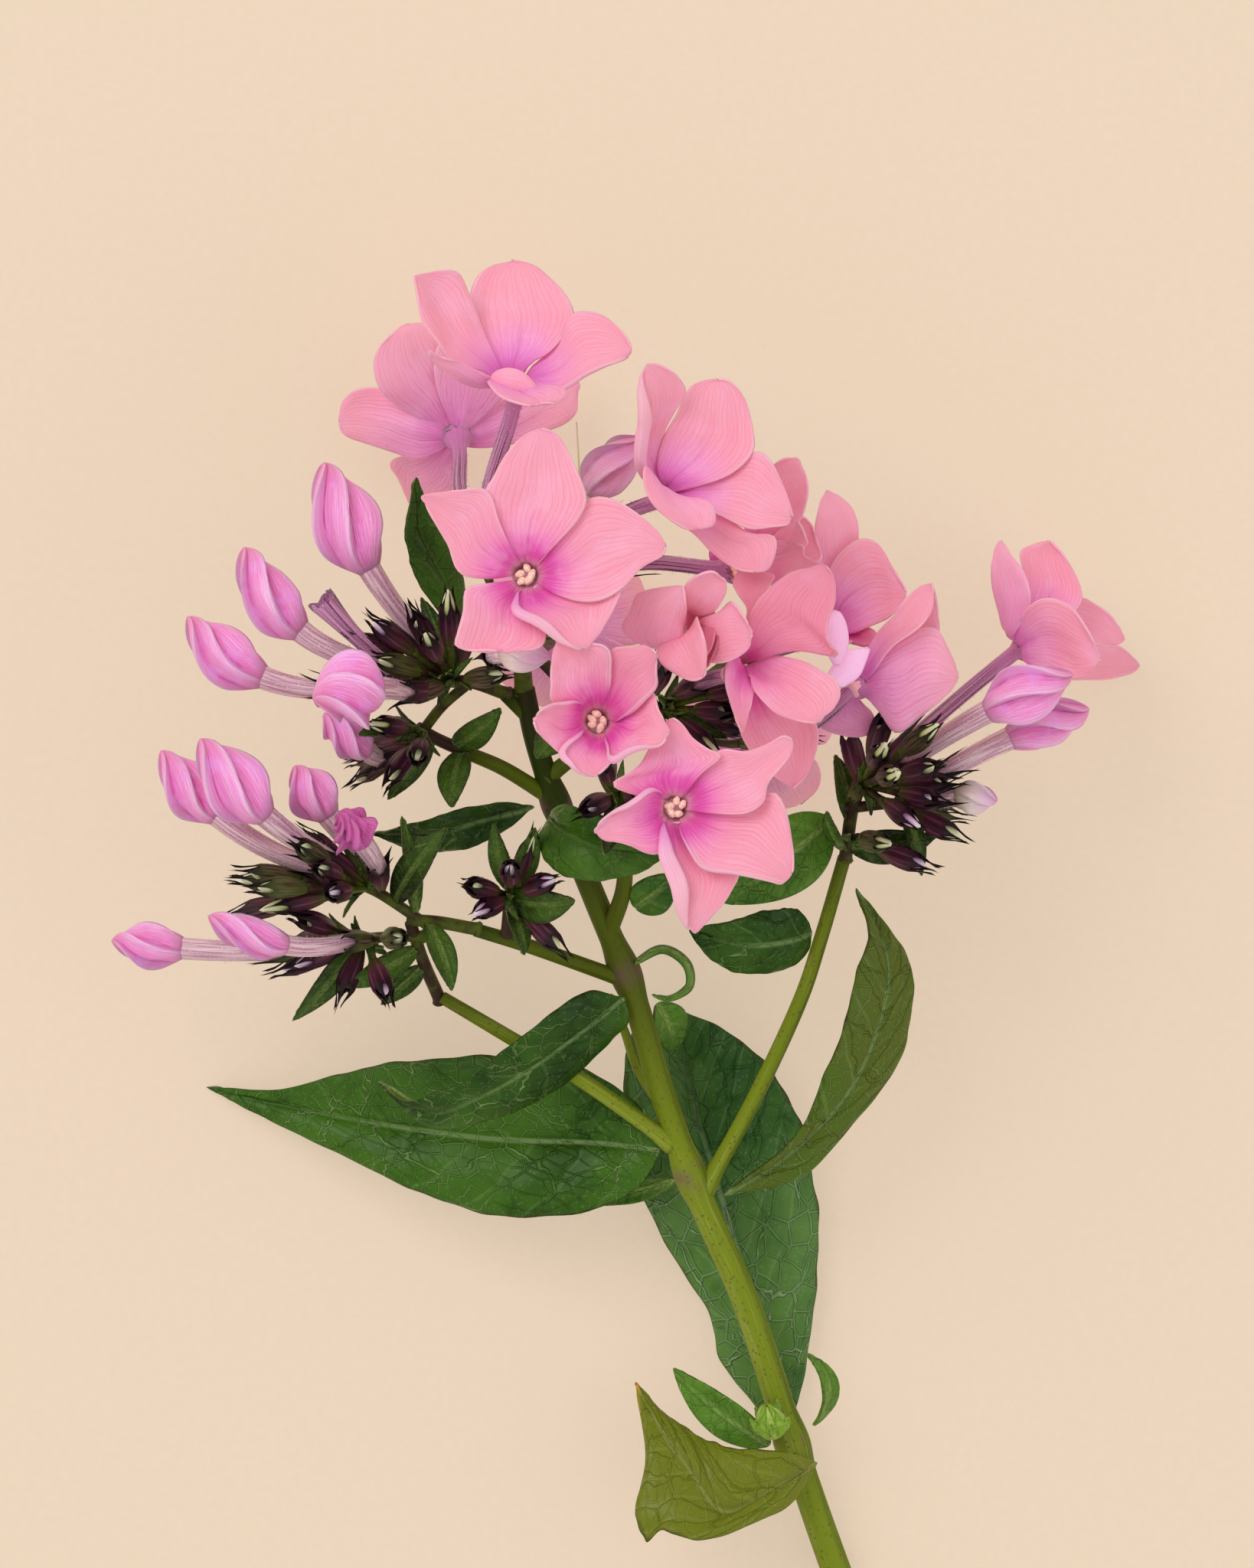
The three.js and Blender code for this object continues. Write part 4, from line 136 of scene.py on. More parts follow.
# Open blooms. mouth: where the tube leaves its calyx. throat: centre of the eye. faces: the way the eye
# looks. Petals are given by their tip and both edges, the left one being on the left looking outward from
# the throat with the face up, or by [tip, width, arch, cup, twist, pointedness, lean]. lip: how far the
# right edge rolls over, or the left one where it is negative.
BLOOMS = [
    {"name": "bloom_top", "cyme": "cyme_crown", "hub": "top", "mouth": [-52.3, 154.5, 50],
     "throat": [-48.2, 172.8, 57], "faces": [0.08, 0.88, 0.46], "petals": [
     {"tip": [-49, 189.1, 50], "left": [[-50.5, 176.1, 56], [-52.9, 180.1, 55], [-54.5, 183.6, 53.5],
      [-53.6, 186.6, 52], [-51.6, 188.4, 51]], "right": [[-47.8, 175.3, 57], [-44.6, 176.9, 57.5],
      [-42.1, 179.8, 57], [-41.1, 182.5, 56], [-42.4, 185.3, 54], [-44.7, 187.7, 52], [-46.4, 188.6, 51]]},
     {"tip": [-61.5, 186.7, 60], "left": [[-52.1, 174.9, 57], [-55.6, 175.6, 59.5], [-58.5, 178.1, 61],
      [-60.2, 180.4, 61.5], [-61, 183.8, 61]], "right": [[-50.9, 175.9, 57.5], [-52.7, 180, 57],
      [-54.1, 184, 56.5], [-55.7, 187.1, 56.5], [-58.4, 187.5, 58]]},
     {"tip": [-59.4, 176.9, 66], "left": [[-51.7, 174, 59], [-55.1, 175.5, 62.5], [-58.1, 176.3, 65]],
      "right": [[-51.5, 172.4, 57], [-54.1, 172.5, 60], [-57, 173.9, 63], [-59, 175.8, 65]]},
     {"tip": [-45.2, 170.1, 65.5], "left": [[-47.8, 173.9, 58], [-45.3, 172.7, 61], [-42.3, 172.1, 63],
      [-41.6, 171.5, 64], [-43, 170.5, 65]], "right": [[-50.2, 173.7, 58], [-51.7, 173.2, 61],
      [-51.2, 171.8, 64], [-49.2, 170.5, 65.5], [-47.2, 170, 65.7]]},
     {"tip": [-33.5, 177.5, 60], "lip": 1.0, "left": [[-46.8, 174.3, 57], [-43.3, 177.6, 57.5],
      [-41.3, 181.6, 57.5], [-39.4, 182.4, 57.5], [-37, 181.9, 58], [-34.8, 179.8, 59]],
      "right": [[-46.8, 173.1, 58.5], [-43.6, 171.8, 60.5], [-41.4, 172.7, 61], [-39.4, 174.2, 61],
      [-36, 175.6, 61], [-34, 176.6, 60.5]]}]},
    {"name": "bloom_behind", "cyme": "cyme_crown", "hub": "top", "mouth": [-54.8, 155, 35],
     "throat": [-56.7, 168, 12], "faces": [-0.15, 0.55, -0.82], "petals": [
     {"tip": [-63.6, 182.4, 16.5], "left": [[-56.4, 169.8, 12], [-56.3, 174.8, 14], [-57.3, 178.8, 15.5],
      [-60.4, 182.3, 16.5]], "right": [[-58.4, 168.8, 12], [-62.4, 170.8, 13], [-66.5, 173.6, 15],
      [-67.7, 176.8, 16], [-66.7, 179.8, 16.5]]},
     {"tip": [-72.4, 169.9, 10.5], "left": [[-58.2, 168.6, 12], [-62, 171.8, 12], [-66, 174, 11.5],
      [-69.6, 174.2, 11], [-71.7, 172.7, 10.8]], "right": [[-57.6, 167, 12], [-61.5, 164.9, 11.5],
      [-65, 165.7, 11], [-69.1, 166.9, 10.7], [-71.7, 168, 10.5]]},
     {"tip": [-63.2, 159.4, 0.2], "left": [[-57.9, 166.3, 11], [-61.5, 165.3, 8], [-65.4, 164.9, 5],
      [-64.9, 163, 2.5]], "right": [[-56.6, 164.8, 10], [-56.5, 160.8, 6], [-58.6, 158.3, 3],
      [-61.2, 157.9, 1]]},
     {"tip": [-40.4, 175, 8], "left": [[-55.2, 167, 11.5], [-50.8, 167.3, 10.5], [-46.2, 168.2, 9.5],
      [-42.7, 169.3, 9], [-40.9, 170.9, 8.5], [-40.7, 173, 8]], "right": [[-55.1, 168.8, 12],
      [-51.3, 171.9, 11], [-46.2, 175, 9.5], [-42.7, 176.3, 8.5]]},
     [[-52, 183, 18], 12, 0.1, 0.1, 0, 0.5]]},
    {"name": "bloom_front", "cyme": "cyme_crown", "hub": "top", "mouth": [-48.3, 143.5, 56],
     "throat": [-47, 148.2, 70], "faces": [-0.05, 0.05, 1], "petals": [
     {"tip": [-45.1, 166.8, 70.5], "left": [[-48.4, 151, 70.4], [-50.4, 154.1, 70.8], [-51.8, 157.8, 71],
      [-51, 160.9, 71], [-49.4, 163.7, 70.8], [-47.2, 166, 70.6]], "right": [[-45.1, 150.6, 71],
      [-42.5, 153.1, 71.8], [-40.3, 155.6, 72], [-39.3, 158.2, 72], [-40.7, 162.1, 71.5],
      [-42.8, 166, 71]]},
     {"tip": [-60.3, 158.2, 71.5], "left": [[-49.4, 148.5, 70.2], [-52.3, 148.5, 70.5],
      [-55.1, 149.2, 70.8], [-56.9, 151.9, 71], [-58.5, 154.7, 71.2]], "right": [[-48.8, 150.8, 71.2],
      [-50.5, 154.6, 72], [-51.9, 158.9, 72], [-55.4, 159, 72], [-58.1, 158.6, 71.8]]},
     {"tip": [-50.5, 138.5, 73], "left": [[-47.1, 145.8, 70.2], [-45.7, 143.6, 70.8], [-45, 141.5, 71.5],
      [-45.1, 138.9, 72.5]], "right": [[-49.2, 147.1, 71], [-52.5, 146.8, 72], [-54.4, 146.1, 72.5],
      [-54.9, 143.4, 73], [-55.7, 140.8, 73.3], [-55.6, 138.9, 73.2]]},
     {"tip": [-39.1, 138.8, 73.5], "lip": 2.2, "left": [[-45.1, 146.5, 70.2], [-39.8, 145.6, 71],
      [-35.2, 146.3, 71.5], [-35.4, 144.6, 72], [-37.1, 141.4, 73]], "right": [[-47.6, 145.5, 71.2],
      [-48, 143.7, 72.5], [-45.7, 142, 73.5], [-42.6, 139.9, 74], [-40.6, 139, 74]]},
     {"tip": [-29.1, 151.9, 71.5], "left": [[-44.5, 149.5, 70.2], [-41.8, 152.7, 70.8], [-39.3, 157, 71.2],
      [-36.4, 158, 71.5], [-33, 156.2, 71.5], [-30.3, 153.9, 71.5]], "right": [[-44.5, 146.8, 71],
      [-41.3, 145.3, 72], [-37.9, 145, 72.5], [-35, 146.2, 72.5], [-32.3, 149, 72.5],
      [-29.9, 150.4, 72]]}]},
    {"name": "bloom_cupped", "cyme": "cyme_crown", "hub": "low", "mouth": [-37, 124.3, 58],
     "throat": [-37.9, 129.6, 67], "faces": [0, 0.1, 1], "petals": [
     {"tip": [-42.9, 140.1, 73], "lip": 0.8, "left": [[-39.4, 131.3, 68], [-40.8, 131.7, 70],
      [-43.3, 132.5, 71.5], [-43.9, 135.4, 72], [-43.5, 138.3, 72.8]], "right": [[-37.4, 132.2, 68],
      [-36.9, 135.6, 70.5], [-36.9, 138.7, 72.5], [-39.8, 139.4, 73]]},
     {"tip": [-30.3, 138.2, 73.5], "lip": 1.2, "left": [[-36.9, 131.9, 67.7], [-36.4, 135.6, 69.5],
      [-35.9, 138.8, 71.5], [-33.5, 139, 72.5], [-31.9, 139.2, 73]], "right": [[-36, 130.3, 68],
      [-33.2, 131.7, 70.5], [-30.8, 133.9, 72.5], [-30.5, 136, 73]]},
     {"tip": [-28.7, 128.1, 73.5], "lip": 1.6, "left": [[-35.7, 130, 67.7], [-33, 131.2, 69.5],
      [-30.8, 133.2, 71.5], [-30.1, 131.2, 72.5], [-29.3, 129.6, 73]], "right": [[-36.4, 128.3, 68],
      [-36, 126.4, 70], [-35.5, 124.7, 71.5], [-32.1, 126.2, 73], [-29.9, 126.8, 73.5]]},
     {"tip": [-38.1, 122.6, 73], "lip": 1.6, "left": [[-37.4, 127.8, 67.7], [-36.9, 125.9, 69.5],
      [-35.9, 124.9, 71.5], [-36.9, 123.5, 72.5]], "right": [[-38.9, 128, 68], [-40, 127.3, 70],
      [-42.3, 125.4, 72], [-40.8, 123.6, 73], [-39.3, 122.9, 73]]},
     {"tip": [-46, 129.6, 73], "lip": 1.0, "left": [[-39.4, 129.3, 67.7], [-40, 127.4, 69.5],
      [-42.3, 125.4, 71], [-44.2, 126.9, 72], [-45.4, 128.1, 72.5]], "right": [[-39.7, 130.8, 68],
      [-41.3, 131.5, 70.5], [-43.5, 131.5, 72.5], [-44.9, 130.9, 73]]}]},
    {"name": "bloom_low", "cyme": "cyme_crown", "hub": "low", "mouth": [-32.3, 119.5, 57],
     "throat": [-27.9, 118.6, 70], "faces": [0.1, 0.05, 1], "petals": [
     {"tip": [-28.4, 130, 70.5], "left": [[-30.3, 120, 70.5], [-32.5, 120.4, 70.8], [-35.2, 121.7, 71],
      [-33, 123.5, 71], [-31.3, 126.1, 70.8], [-29.9, 128.8, 70.5]], "right": [[-26.9, 120.6, 71],
      [-24.8, 123, 71.6], [-22.2, 125.1, 71.8], [-23.8, 126.1, 71.5], [-25.7, 127.5, 71.2],
      [-27, 129.2, 70.8]]},
     {"tip": [-38.3, 115.6, 72], "lip": 1.3, "left": [[-29.3, 116.1, 70.3], [-30.1, 113.8, 71],
      [-32.1, 113.3, 71.5], [-34.8, 114.1, 72], [-36.9, 114.4, 72]], "right": [[-29.7, 119.5, 71],
      [-31.1, 120.4, 73], [-32.8, 119.5, 73.5], [-34.8, 118.4, 73], [-36.9, 117, 72.5]]},
     {"tip": [-25.4, 102.6, 71.5], "lip": 3.2, "left": [[-26.7, 115.7, 70], [-23.8, 112.7, 70.3],
      [-20.2, 110.3, 70.6], [-20.8, 107.9, 71], [-22.8, 105.2, 71.3]], "right": [[-28.9, 116.1, 70.5],
      [-29.3, 112.7, 71.5], [-28.4, 109.3, 72.5], [-27.5, 105.9, 73], [-26.5, 103.8, 72]]},
     {"tip": [-13.1, 110.3, 71.6], "lip": 1.0, "left": [[-26.2, 117.9, 70], [-21.3, 118.1, 70.3],
      [-16.5, 120, 70.6], [-14.7, 119.8, 71], [-13.6, 117.3, 71.3], [-13, 113.7, 71.5]],
      "right": [[-26.9, 116.3, 71], [-25.4, 113, 72], [-23.8, 111.2, 72.5], [-19.9, 110.4, 73],
      [-16, 109.5, 72.8], [-14.1, 109.2, 72]]},
     {"tip": [-13.1, 127.2, 71.5], "left": [[-26.5, 120, 70], [-24.1, 123.2, 70.4], [-21.8, 125.5, 71],
      [-18.9, 125.8, 71.2], [-16.2, 126.8, 71.5], [-14.3, 127.7, 71.5]], "right": [[-26, 118.6, 71],
      [-22.3, 118.1, 72], [-18.9, 118.1, 72.3], [-16.7, 119.4, 72.3], [-16.2, 121.5, 72],
      [-14.5, 123.7, 72], [-13.2, 125.5, 71.8]]}]},
    {"name": "bloom_high_right", "cyme": "cyme_crown", "hub": "top", "mouth": [-38.2, 154, 49],
     "throat": [-28.5, 158.4, 56], "faces": [0.55, 0.15, 0.8], "petals": [
     {"tip": [-31.5, 175.3, 64], "lip": -2.8, "left": [[-31.1, 161.3, 58], [-32.2, 163.2, 60],
      [-32.5, 166.1, 62], [-32.4, 170.9, 64], [-32, 174, 64.5]], "right": [[-29.3, 163.3, 57.5],
      [-29.5, 166.7, 58.5], [-27.7, 170.1, 60], [-26.4, 171.8, 61], [-27.6, 173.9, 62.5],
      [-29.9, 175.2, 63.5]]},
     {"tip": [-22.6, 173.6, 57], "left": [[-29.5, 162.1, 57.5], [-28.5, 166.7, 58], [-27.1, 170.7, 58],
      [-25.8, 172.8, 57.5], [-24.4, 173.4, 57.2]], "right": [[-27.6, 159.5, 58.5], [-24.2, 160.2, 59.5],
      [-20.7, 161.6, 59.5], [-18, 164.1, 58.5], [-17.8, 166.7, 58], [-18.8, 171, 57.5],
      [-20.7, 173.2, 57]]},
     {"tip": [-13, 155.8, 60], "left": [[-27.6, 159.8, 57.5], [-23.2, 160.7, 58], [-18, 164.1, 58.5],
      [-16, 163.5, 59], [-14.4, 160.8, 59.5], [-13.4, 158.3, 60]], "right": [[-27.1, 158.8, 58.5],
      [-22.7, 156.5, 60.5], [-18.8, 154.4, 61.5], [-15.4, 154.4, 61.5], [-13.6, 154.8, 61]]},
     {"tip": [-17.8, 148.8, 60], "left": [[-28.1, 158.4, 58], [-23.2, 156.2, 59], [-18.8, 153.9, 60],
      [-15.2, 153.4, 60.5], [-15.1, 150.9, 60.5], [-16, 149.1, 60]], "right": [[-29.1, 157.9, 58.5],
      [-27.6, 155.4, 60], [-25.7, 153.9, 60.5], [-23.2, 151.2, 60], [-20.5, 149.3, 60]]},
     {"tip": [-25, 154.1, 65], "left": [[-28.9, 159.3, 60], [-26.2, 158.7, 62.5], [-23.4, 157.2, 64],
      [-22.7, 155.6, 64.5], [-23.2, 154.5, 65]], "right": [[-30.3, 160.5, 60], [-31.7, 162, 63],
      [-31.9, 159.2, 65], [-30.3, 156.7, 66], [-27.6, 154.6, 66]]}]},
    {"name": "bloom_behind_right", "cyme": "cyme_crown", "hub": "top", "mouth": [-35.5, 149.5, 44],
     "throat": [-19.9, 149.6, 44], "faces": [0.85, 0.1, 0.4], "petals": [
     {"tip": [-11.9, 163.8, 46], "left": [[-19.3, 151.8, 44.5], [-17.6, 157.7, 44.5], [-16.1, 161.9, 45],
      [-14, 163.7, 46]], "right": [[-18.3, 151.6, 45], [-14.9, 153.8, 45.5], [-11.7, 155.7, 46],
      [-10.6, 158.7, 46.5], [-10.7, 160.9, 46.5], [-11.4, 162.5, 46.5]]},
     {"tip": [-12.1, 155.7, 47.5], "left": [[-18.6, 150.3, 45], [-15.7, 153.2, 46.5], [-13.6, 155.1, 47.5]],
      "right": [[-18.1, 149.6, 45.5], [-14.2, 150.7, 47], [-10.9, 152.1, 48], [-11.1, 154, 48]]},
     {"tip": [-8.3, 150, 48], "left": [[-18.3, 150, 45], [-15.2, 152.9, 46.5], [-11, 152.5, 48],
      [-9.5, 151.3, 48]], "right": [[-18.6, 148.8, 45.5], [-16.2, 147.3, 46.5], [-13.2, 148.6, 47.5],
      [-10.4, 149.5, 48]]},
     {"tip": [-9.9, 154.8, 43], "left": [[-18.9, 151, 43.5], [-16.1, 154.8, 43], [-11.6, 156.4, 43]],
      "right": [[-18.3, 149.8, 43.5], [-13.1, 149.6, 43], [-8.9, 150.6, 43], [-9.4, 153, 43]]},
     {"tip": [-22, 153.9, 40], "left": [[-19.9, 148.8, 43.5], [-21.6, 149.4, 42], [-23.5, 151.4, 41]],
      "right": [[-20.3, 150.3, 43.5], [-20.6, 152.3, 42], [-21.1, 153.7, 41]]}]},
    {"name": "bloom_right", "cyme": "cyme_crown", "hub": "right", "mouth": [-24.8, 134.6, 47],
     "throat": [-19.6, 135.8, 56], "faces": [0.72, 0.05, 0.69], "petals": [
     {"tip": [-8.7, 149.7, 60], "left": [[-18.1, 139.9, 58.5], [-17.9, 143.1, 59.5], [-16.3, 146.3, 60],
      [-13.4, 148.5, 60], [-10.6, 149.4, 60]], "right": [[-16.8, 137.9, 58.5], [-12.4, 138.7, 60],
      [-7.1, 137.9, 62], [-8.2, 139.8, 62.5], [-8.3, 142.1, 62], [-7.4, 145, 61.5], [-7.5, 148, 60.5]]},
     {"tip": [-9.7, 129.4, 63], "left": [[-16.8, 137.5, 58], [-12.4, 137.2, 60], [-8.1, 135.5, 62],
      [-6.8, 133.7, 63], [-7.4, 131.6, 63.3]], "right": [[-18.3, 136.7, 58.8], [-17.8, 133.8, 61],
      [-15.6, 131, 62.5], [-12.5, 129.7, 63]]},
     {"tip": [-19.3, 128.1, 62], "left": [[-18.5, 136.9, 58.5], [-17.7, 135, 60], [-18.1, 132.3, 61.5],
      [-18.7, 129.8, 62]], "right": [[-19.8, 137.9, 59], [-21.2, 136.9, 61], [-21.6, 134.5, 62],
      [-20.8, 131.8, 62.5], [-20.1, 129.6, 62.5]]},
     {"tip": [-12.8, 121, 52], "left": [[-16.3, 133.8, 56], [-11.3, 130.4, 55], [-9.5, 128.4, 54],
      [-9.9, 125, 53], [-10.8, 122.8, 52.5]], "right": [[-18.8, 133.3, 57], [-19.6, 129.4, 57],
      [-18, 125.4, 55], [-15.3, 122.8, 53]]},
     {"tip": [-19.4, 149.2, 56], "left": [[-18.8, 139.7, 57.5], [-18.5, 143.6, 57], [-20, 146.1, 56.5],
      [-20.5, 147.6, 56]], "right": [[-17.8, 140.2, 57], [-17.3, 143.6, 57], [-15.8, 147.1, 57],
      [-15.3, 148.6, 56.5]]}]},
    {"name": "bloom_opening", "cyme": "cyme_crown", "hub": "right", "mouth": [-29.6, 136.8, 48],
     "throat": [-26.4, 141.9, 54], "faces": [0.05, 0.05, 1], "petals": [
     {"tip": [-26.9, 146.8, 67.5], "left": [[-27.1, 139.8, 62], [-26.6, 142.7, 66], [-26.6, 144.9, 67.5]],
      "right": [[-30.1, 139.2, 60.5], [-32.5, 139.4, 61.5], [-34.8, 141.4, 62], [-33.8, 143.7, 64],
      [-32.8, 145.9, 65.5], [-30.1, 146.7, 66.5]]},
     {"tip": [-18.1, 140.8, 64.5], "left": [[-25.4, 141.8, 61], [-22.7, 143.5, 63], [-20.8, 145, 64],
      [-19.1, 143, 64.5]], "right": [[-25, 139.6, 61], [-24.2, 137.5, 62], [-22.2, 137, 63],
      [-20.1, 137.7, 63.5], [-18.6, 138.9, 64]]},
     {"tip": [-21.4, 147.4, 66], "left": [[-26.6, 143.6, 61.5], [-26.9, 146.2, 66], [-25.7, 148, 66.5],
      [-23.3, 148.9, 66.5]], "right": [[-25, 143, 61], [-23.2, 143.5, 62.5], [-21.7, 145.3, 65]]},
     {"tip": [-24.2, 135.3, 67.5], "left": [[-25.6, 142.4, 62.5], [-24.8, 142.9, 66.5], [-24.1, 140, 68],
      [-24, 137, 68]], "right": [[-28.3, 140.1, 62], [-30.1, 138.6, 63], [-29.7, 136.9, 64.5],
      [-27.9, 135.6, 66], [-25.8, 134.8, 67]]},
     {"tip": [-23.8, 136.5, 63], "left": [[-25.4, 142.1, 61], [-22.4, 143.1, 62], [-22.4, 139.6, 63]],
      "right": [[-26.5, 140.8, 61], [-26.2, 138.7, 62], [-25, 136.9, 62.7]]},
     {"tip": [-24.8, 137.3, 64.5], "left": [[-23.6, 144.8, 60], [-22.7, 142.4, 62], [-23.2, 139.1, 64]],
      "right": [[-26.1, 144.4, 60], [-26.5, 141.6, 62.5], [-25.9, 138.8, 64]]}]},
    {"name": "bloom_far", "cyme": "cyme_crown", "hub": "right", "mouth": [-19, 137.5, 34],
     "throat": [-8.2, 141.4, 34], "faces": [0.6, 0.4, 0.69], "petals": [
     {"tip": [-8, 160, 32], "left": [[-5.4, 144.5, 33.5], [-4.4, 150, 33], [-3.8, 154.2, 33],
      [-4.4, 157.3, 32.5], [-6.1, 159.1, 32]], "right": [[-6.7, 144.5, 34], [-9, 150.5, 34],
      [-9.7, 154, 34], [-9, 158.1, 33]]},
     {"tip": [2.3, 146.6, 36], "left": [[-6.8, 143.5, 34.5], [-7, 148.8, 35], [-4.2, 153.2, 35],
      [-1.8, 153.4, 35], [-0.4, 151.8, 35.5], [1.2, 148.8, 36]], "right": [[-5.4, 141.4, 36], [-3, 142, 37],
      [0, 143.2, 37], [2, 145.2, 36.5]]},
     {"tip": [-0.9, 140.5, 38], "left": [[-4.8, 141.8, 35], [-2.5, 142, 36.5]], "right": [[-5.4, 140.2, 36],
      [-3.1, 139.5, 37.5]]},
     {"tip": [-7, 144.2, 44], "left": [[-7.2, 141.5, 37], [-8, 142.1, 42], [-7.8, 143.6, 44.5]],
      "right": [[-6.2, 140, 37], [-5.4, 141.1, 42], [-6, 143.1, 44]]},
     {"tip": [-7.2, 137.1, 43], "left": [[-5.6, 140.8, 37], [-5.3, 139.7, 41], [-6, 138.1, 43]],
      "right": [[-6.6, 140.8, 37], [-7.9, 140.1, 41], [-7.8, 138.3, 43]]}]},
    {"name": "bloom_right_back", "cyme": "cyme_crown", "hub": "right", "mouth": [-13.5, 128, 36],
     "throat": [-3.9, 134.7, 40], "faces": [0.55, 0.45, -0.7], "petals": [
     {"tip": [5.4, 147.6, 43], "left": [[-3.7, 135.9, 42], [-1.7, 139.4, 43], [0.3, 143.3, 44],
      [2.6, 146.2, 44], [4.2, 147.3, 43.5]], "right": [[-2.2, 136.7, 43], [0.2, 139.7, 45],
      [3.7, 141.8, 46], [5.4, 144.1, 45], [5.7, 146, 44]]},
     {"tip": [8.9, 135.3, 42], "left": [[-3.1, 133.7, 41], [-1.4, 131.7, 42], [0.6, 129, 43],
      [3.8, 130.1, 43], [7.4, 133.1, 42.5]], "right": [[-3.3, 134.9, 40.5], [-1.2, 137.9, 42],
      [3.8, 141.7, 43], [6.3, 141.6, 43], [7.6, 139.4, 42.5], [8.5, 137.1, 42]]},
     {"tip": [-2.8, 139.3, 38], "left": [[-3.9, 135.8, 38.5], [-3.2, 137.4, 38]],
      "right": [[-4.9, 135.5, 39], [-6.3, 134.5, 38], [-7.8, 135.9, 38], [-6.3, 137.6, 38],
      [-4.5, 138.8, 38]]},
     {"tip": [-1.9, 129.2, 36], "left": [[-5.6, 133.5, 38.5], [-7.5, 131, 37], [-8.8, 129, 36],
      [-6, 127.9, 36], [-3.2, 127.8, 36]], "right": [[-4.3, 133.2, 38.5], [-3.3, 132, 37.5],
      [-2, 130.8, 36.5]]},
     {"tip": [5.8, 147.1, 41], "left": [[-1.1, 135.4, 40], [5.4, 137.9, 40], [6.5, 141.4, 40.5],
      [6.3, 144.4, 41]], "right": [[-1.1, 136.9, 40.5], [2.8, 140.9, 41], [5, 144.9, 41]]}]},
    {"name": "bloom_far_right", "cyme": "cyme_right", "hub": "high", "mouth": [2.8, 127, 26],
     "throat": [19.1, 140.4, 19], "faces": [0.65, 0.5, 0.57], "petals": [
     {"tip": [15.3, 153.7, 22], "left": [[17.1, 141.7, 22], [18.7, 144.2, 24], [19.2, 146.7, 25],
      [18, 149.7, 25], [16.4, 152, 24]], "right": [[15.7, 141.7, 21], [14.8, 144.2, 22], [14, 147.7, 22.5],
      [14.1, 151.3, 23], [14.6, 153.1, 22.5]]},
     {"tip": [21.8, 153.8, 18], "left": [[17.2, 141.7, 19.5], [18.4, 144.8, 19], [18.4, 148.8, 18.5],
      [17.8, 152.2, 18.2], [19.7, 153.3, 18]], "right": [[18.6, 139.7, 20], [22.1, 141.7, 20],
      [25.7, 145.3, 19], [26, 147.3, 18.5], [25, 149.8, 18.2], [23.5, 152.1, 18]]},
     {"tip": [32, 140.9, 12], "left": [[18.6, 141.2, 18], [22.8, 144.3, 16], [26.2, 146.3, 14],
      [28, 145.6, 13.5], [30, 144.1, 13], [31.2, 142.5, 12.5]], "right": [[19.2, 139.7, 18],
      [23.8, 139.7, 16], [29, 140.1, 13.5], [31.1, 140.1, 12.5]]},
     {"tip": [34.6, 137.5, 0.1], "left": [[19.2, 139.2, 18], [25, 139.8, 11], [30.2, 140.4, 5],
      [32.6, 139.4, 2]], "right": [[19.2, 137.7, 18], [22.9, 136.2, 13], [25.6, 135.5, 9], [30.4, 135.6, 4],
      [33.4, 136.4, 1.2]]},
     {"tip": [28.1, 138.1, 28], "left": [[17.5, 140.4, 21.5], [18.9, 143.7, 25], [20.8, 145.6, 27],
      [22.8, 145.6, 28], [24.8, 144.1, 29], [26.8, 141.1, 29]], "right": [[18, 138, 21.5],
      [20.9, 136.5, 25], [24.3, 135.4, 27], [26.8, 136.4, 28]]}]},
    {"name": "bloom_under_left", "cyme": "cyme_crown", "hub": "top", "mouth": [-44.8, 140.6, 30],
     "throat": [-42.5, 143, 16], "faces": [0.05, 0.05, -1], "petals": [[[-42.5, 155, 6], 11, 0.05, 0.1, 0,
     0.5], [[-31.5, 146.5, 4], 11, 0.05, 0.1, 0, 0.5], [[-35.5, 133, 5], 11, 0.05, 0.1, 0, 0.5],
     [[-49, 133.5, 4], 11, 0.05, 0.1, 0, 0.5], [[-53.5, 146.5, 5], 11, 0.05, 0.1, 0, 0.5]]},
    {"name": "bloom_under_right", "cyme": "cyme_crown", "hub": "right", "mouth": [-22, 129.5, 29],
     "throat": [-17.5, 128.5, 16], "faces": [0.05, 0, -1], "petals": [[[-16.5, 139, 6], 10, 0.05, 0.1, 0,
     0.5], [[-7, 132.5, 4], 10, 0.05, 0.1, 0, 0.5], [[-11, 119, 5], 10, 0.05, 0.1, 0, 0.5], [[-23, 119, 4],
     10, 0.05, 0.1, 0, 0.5], [[-27.5, 131.5, 5], 10, 0.05, 0.1, 0, 0.5]]}
]

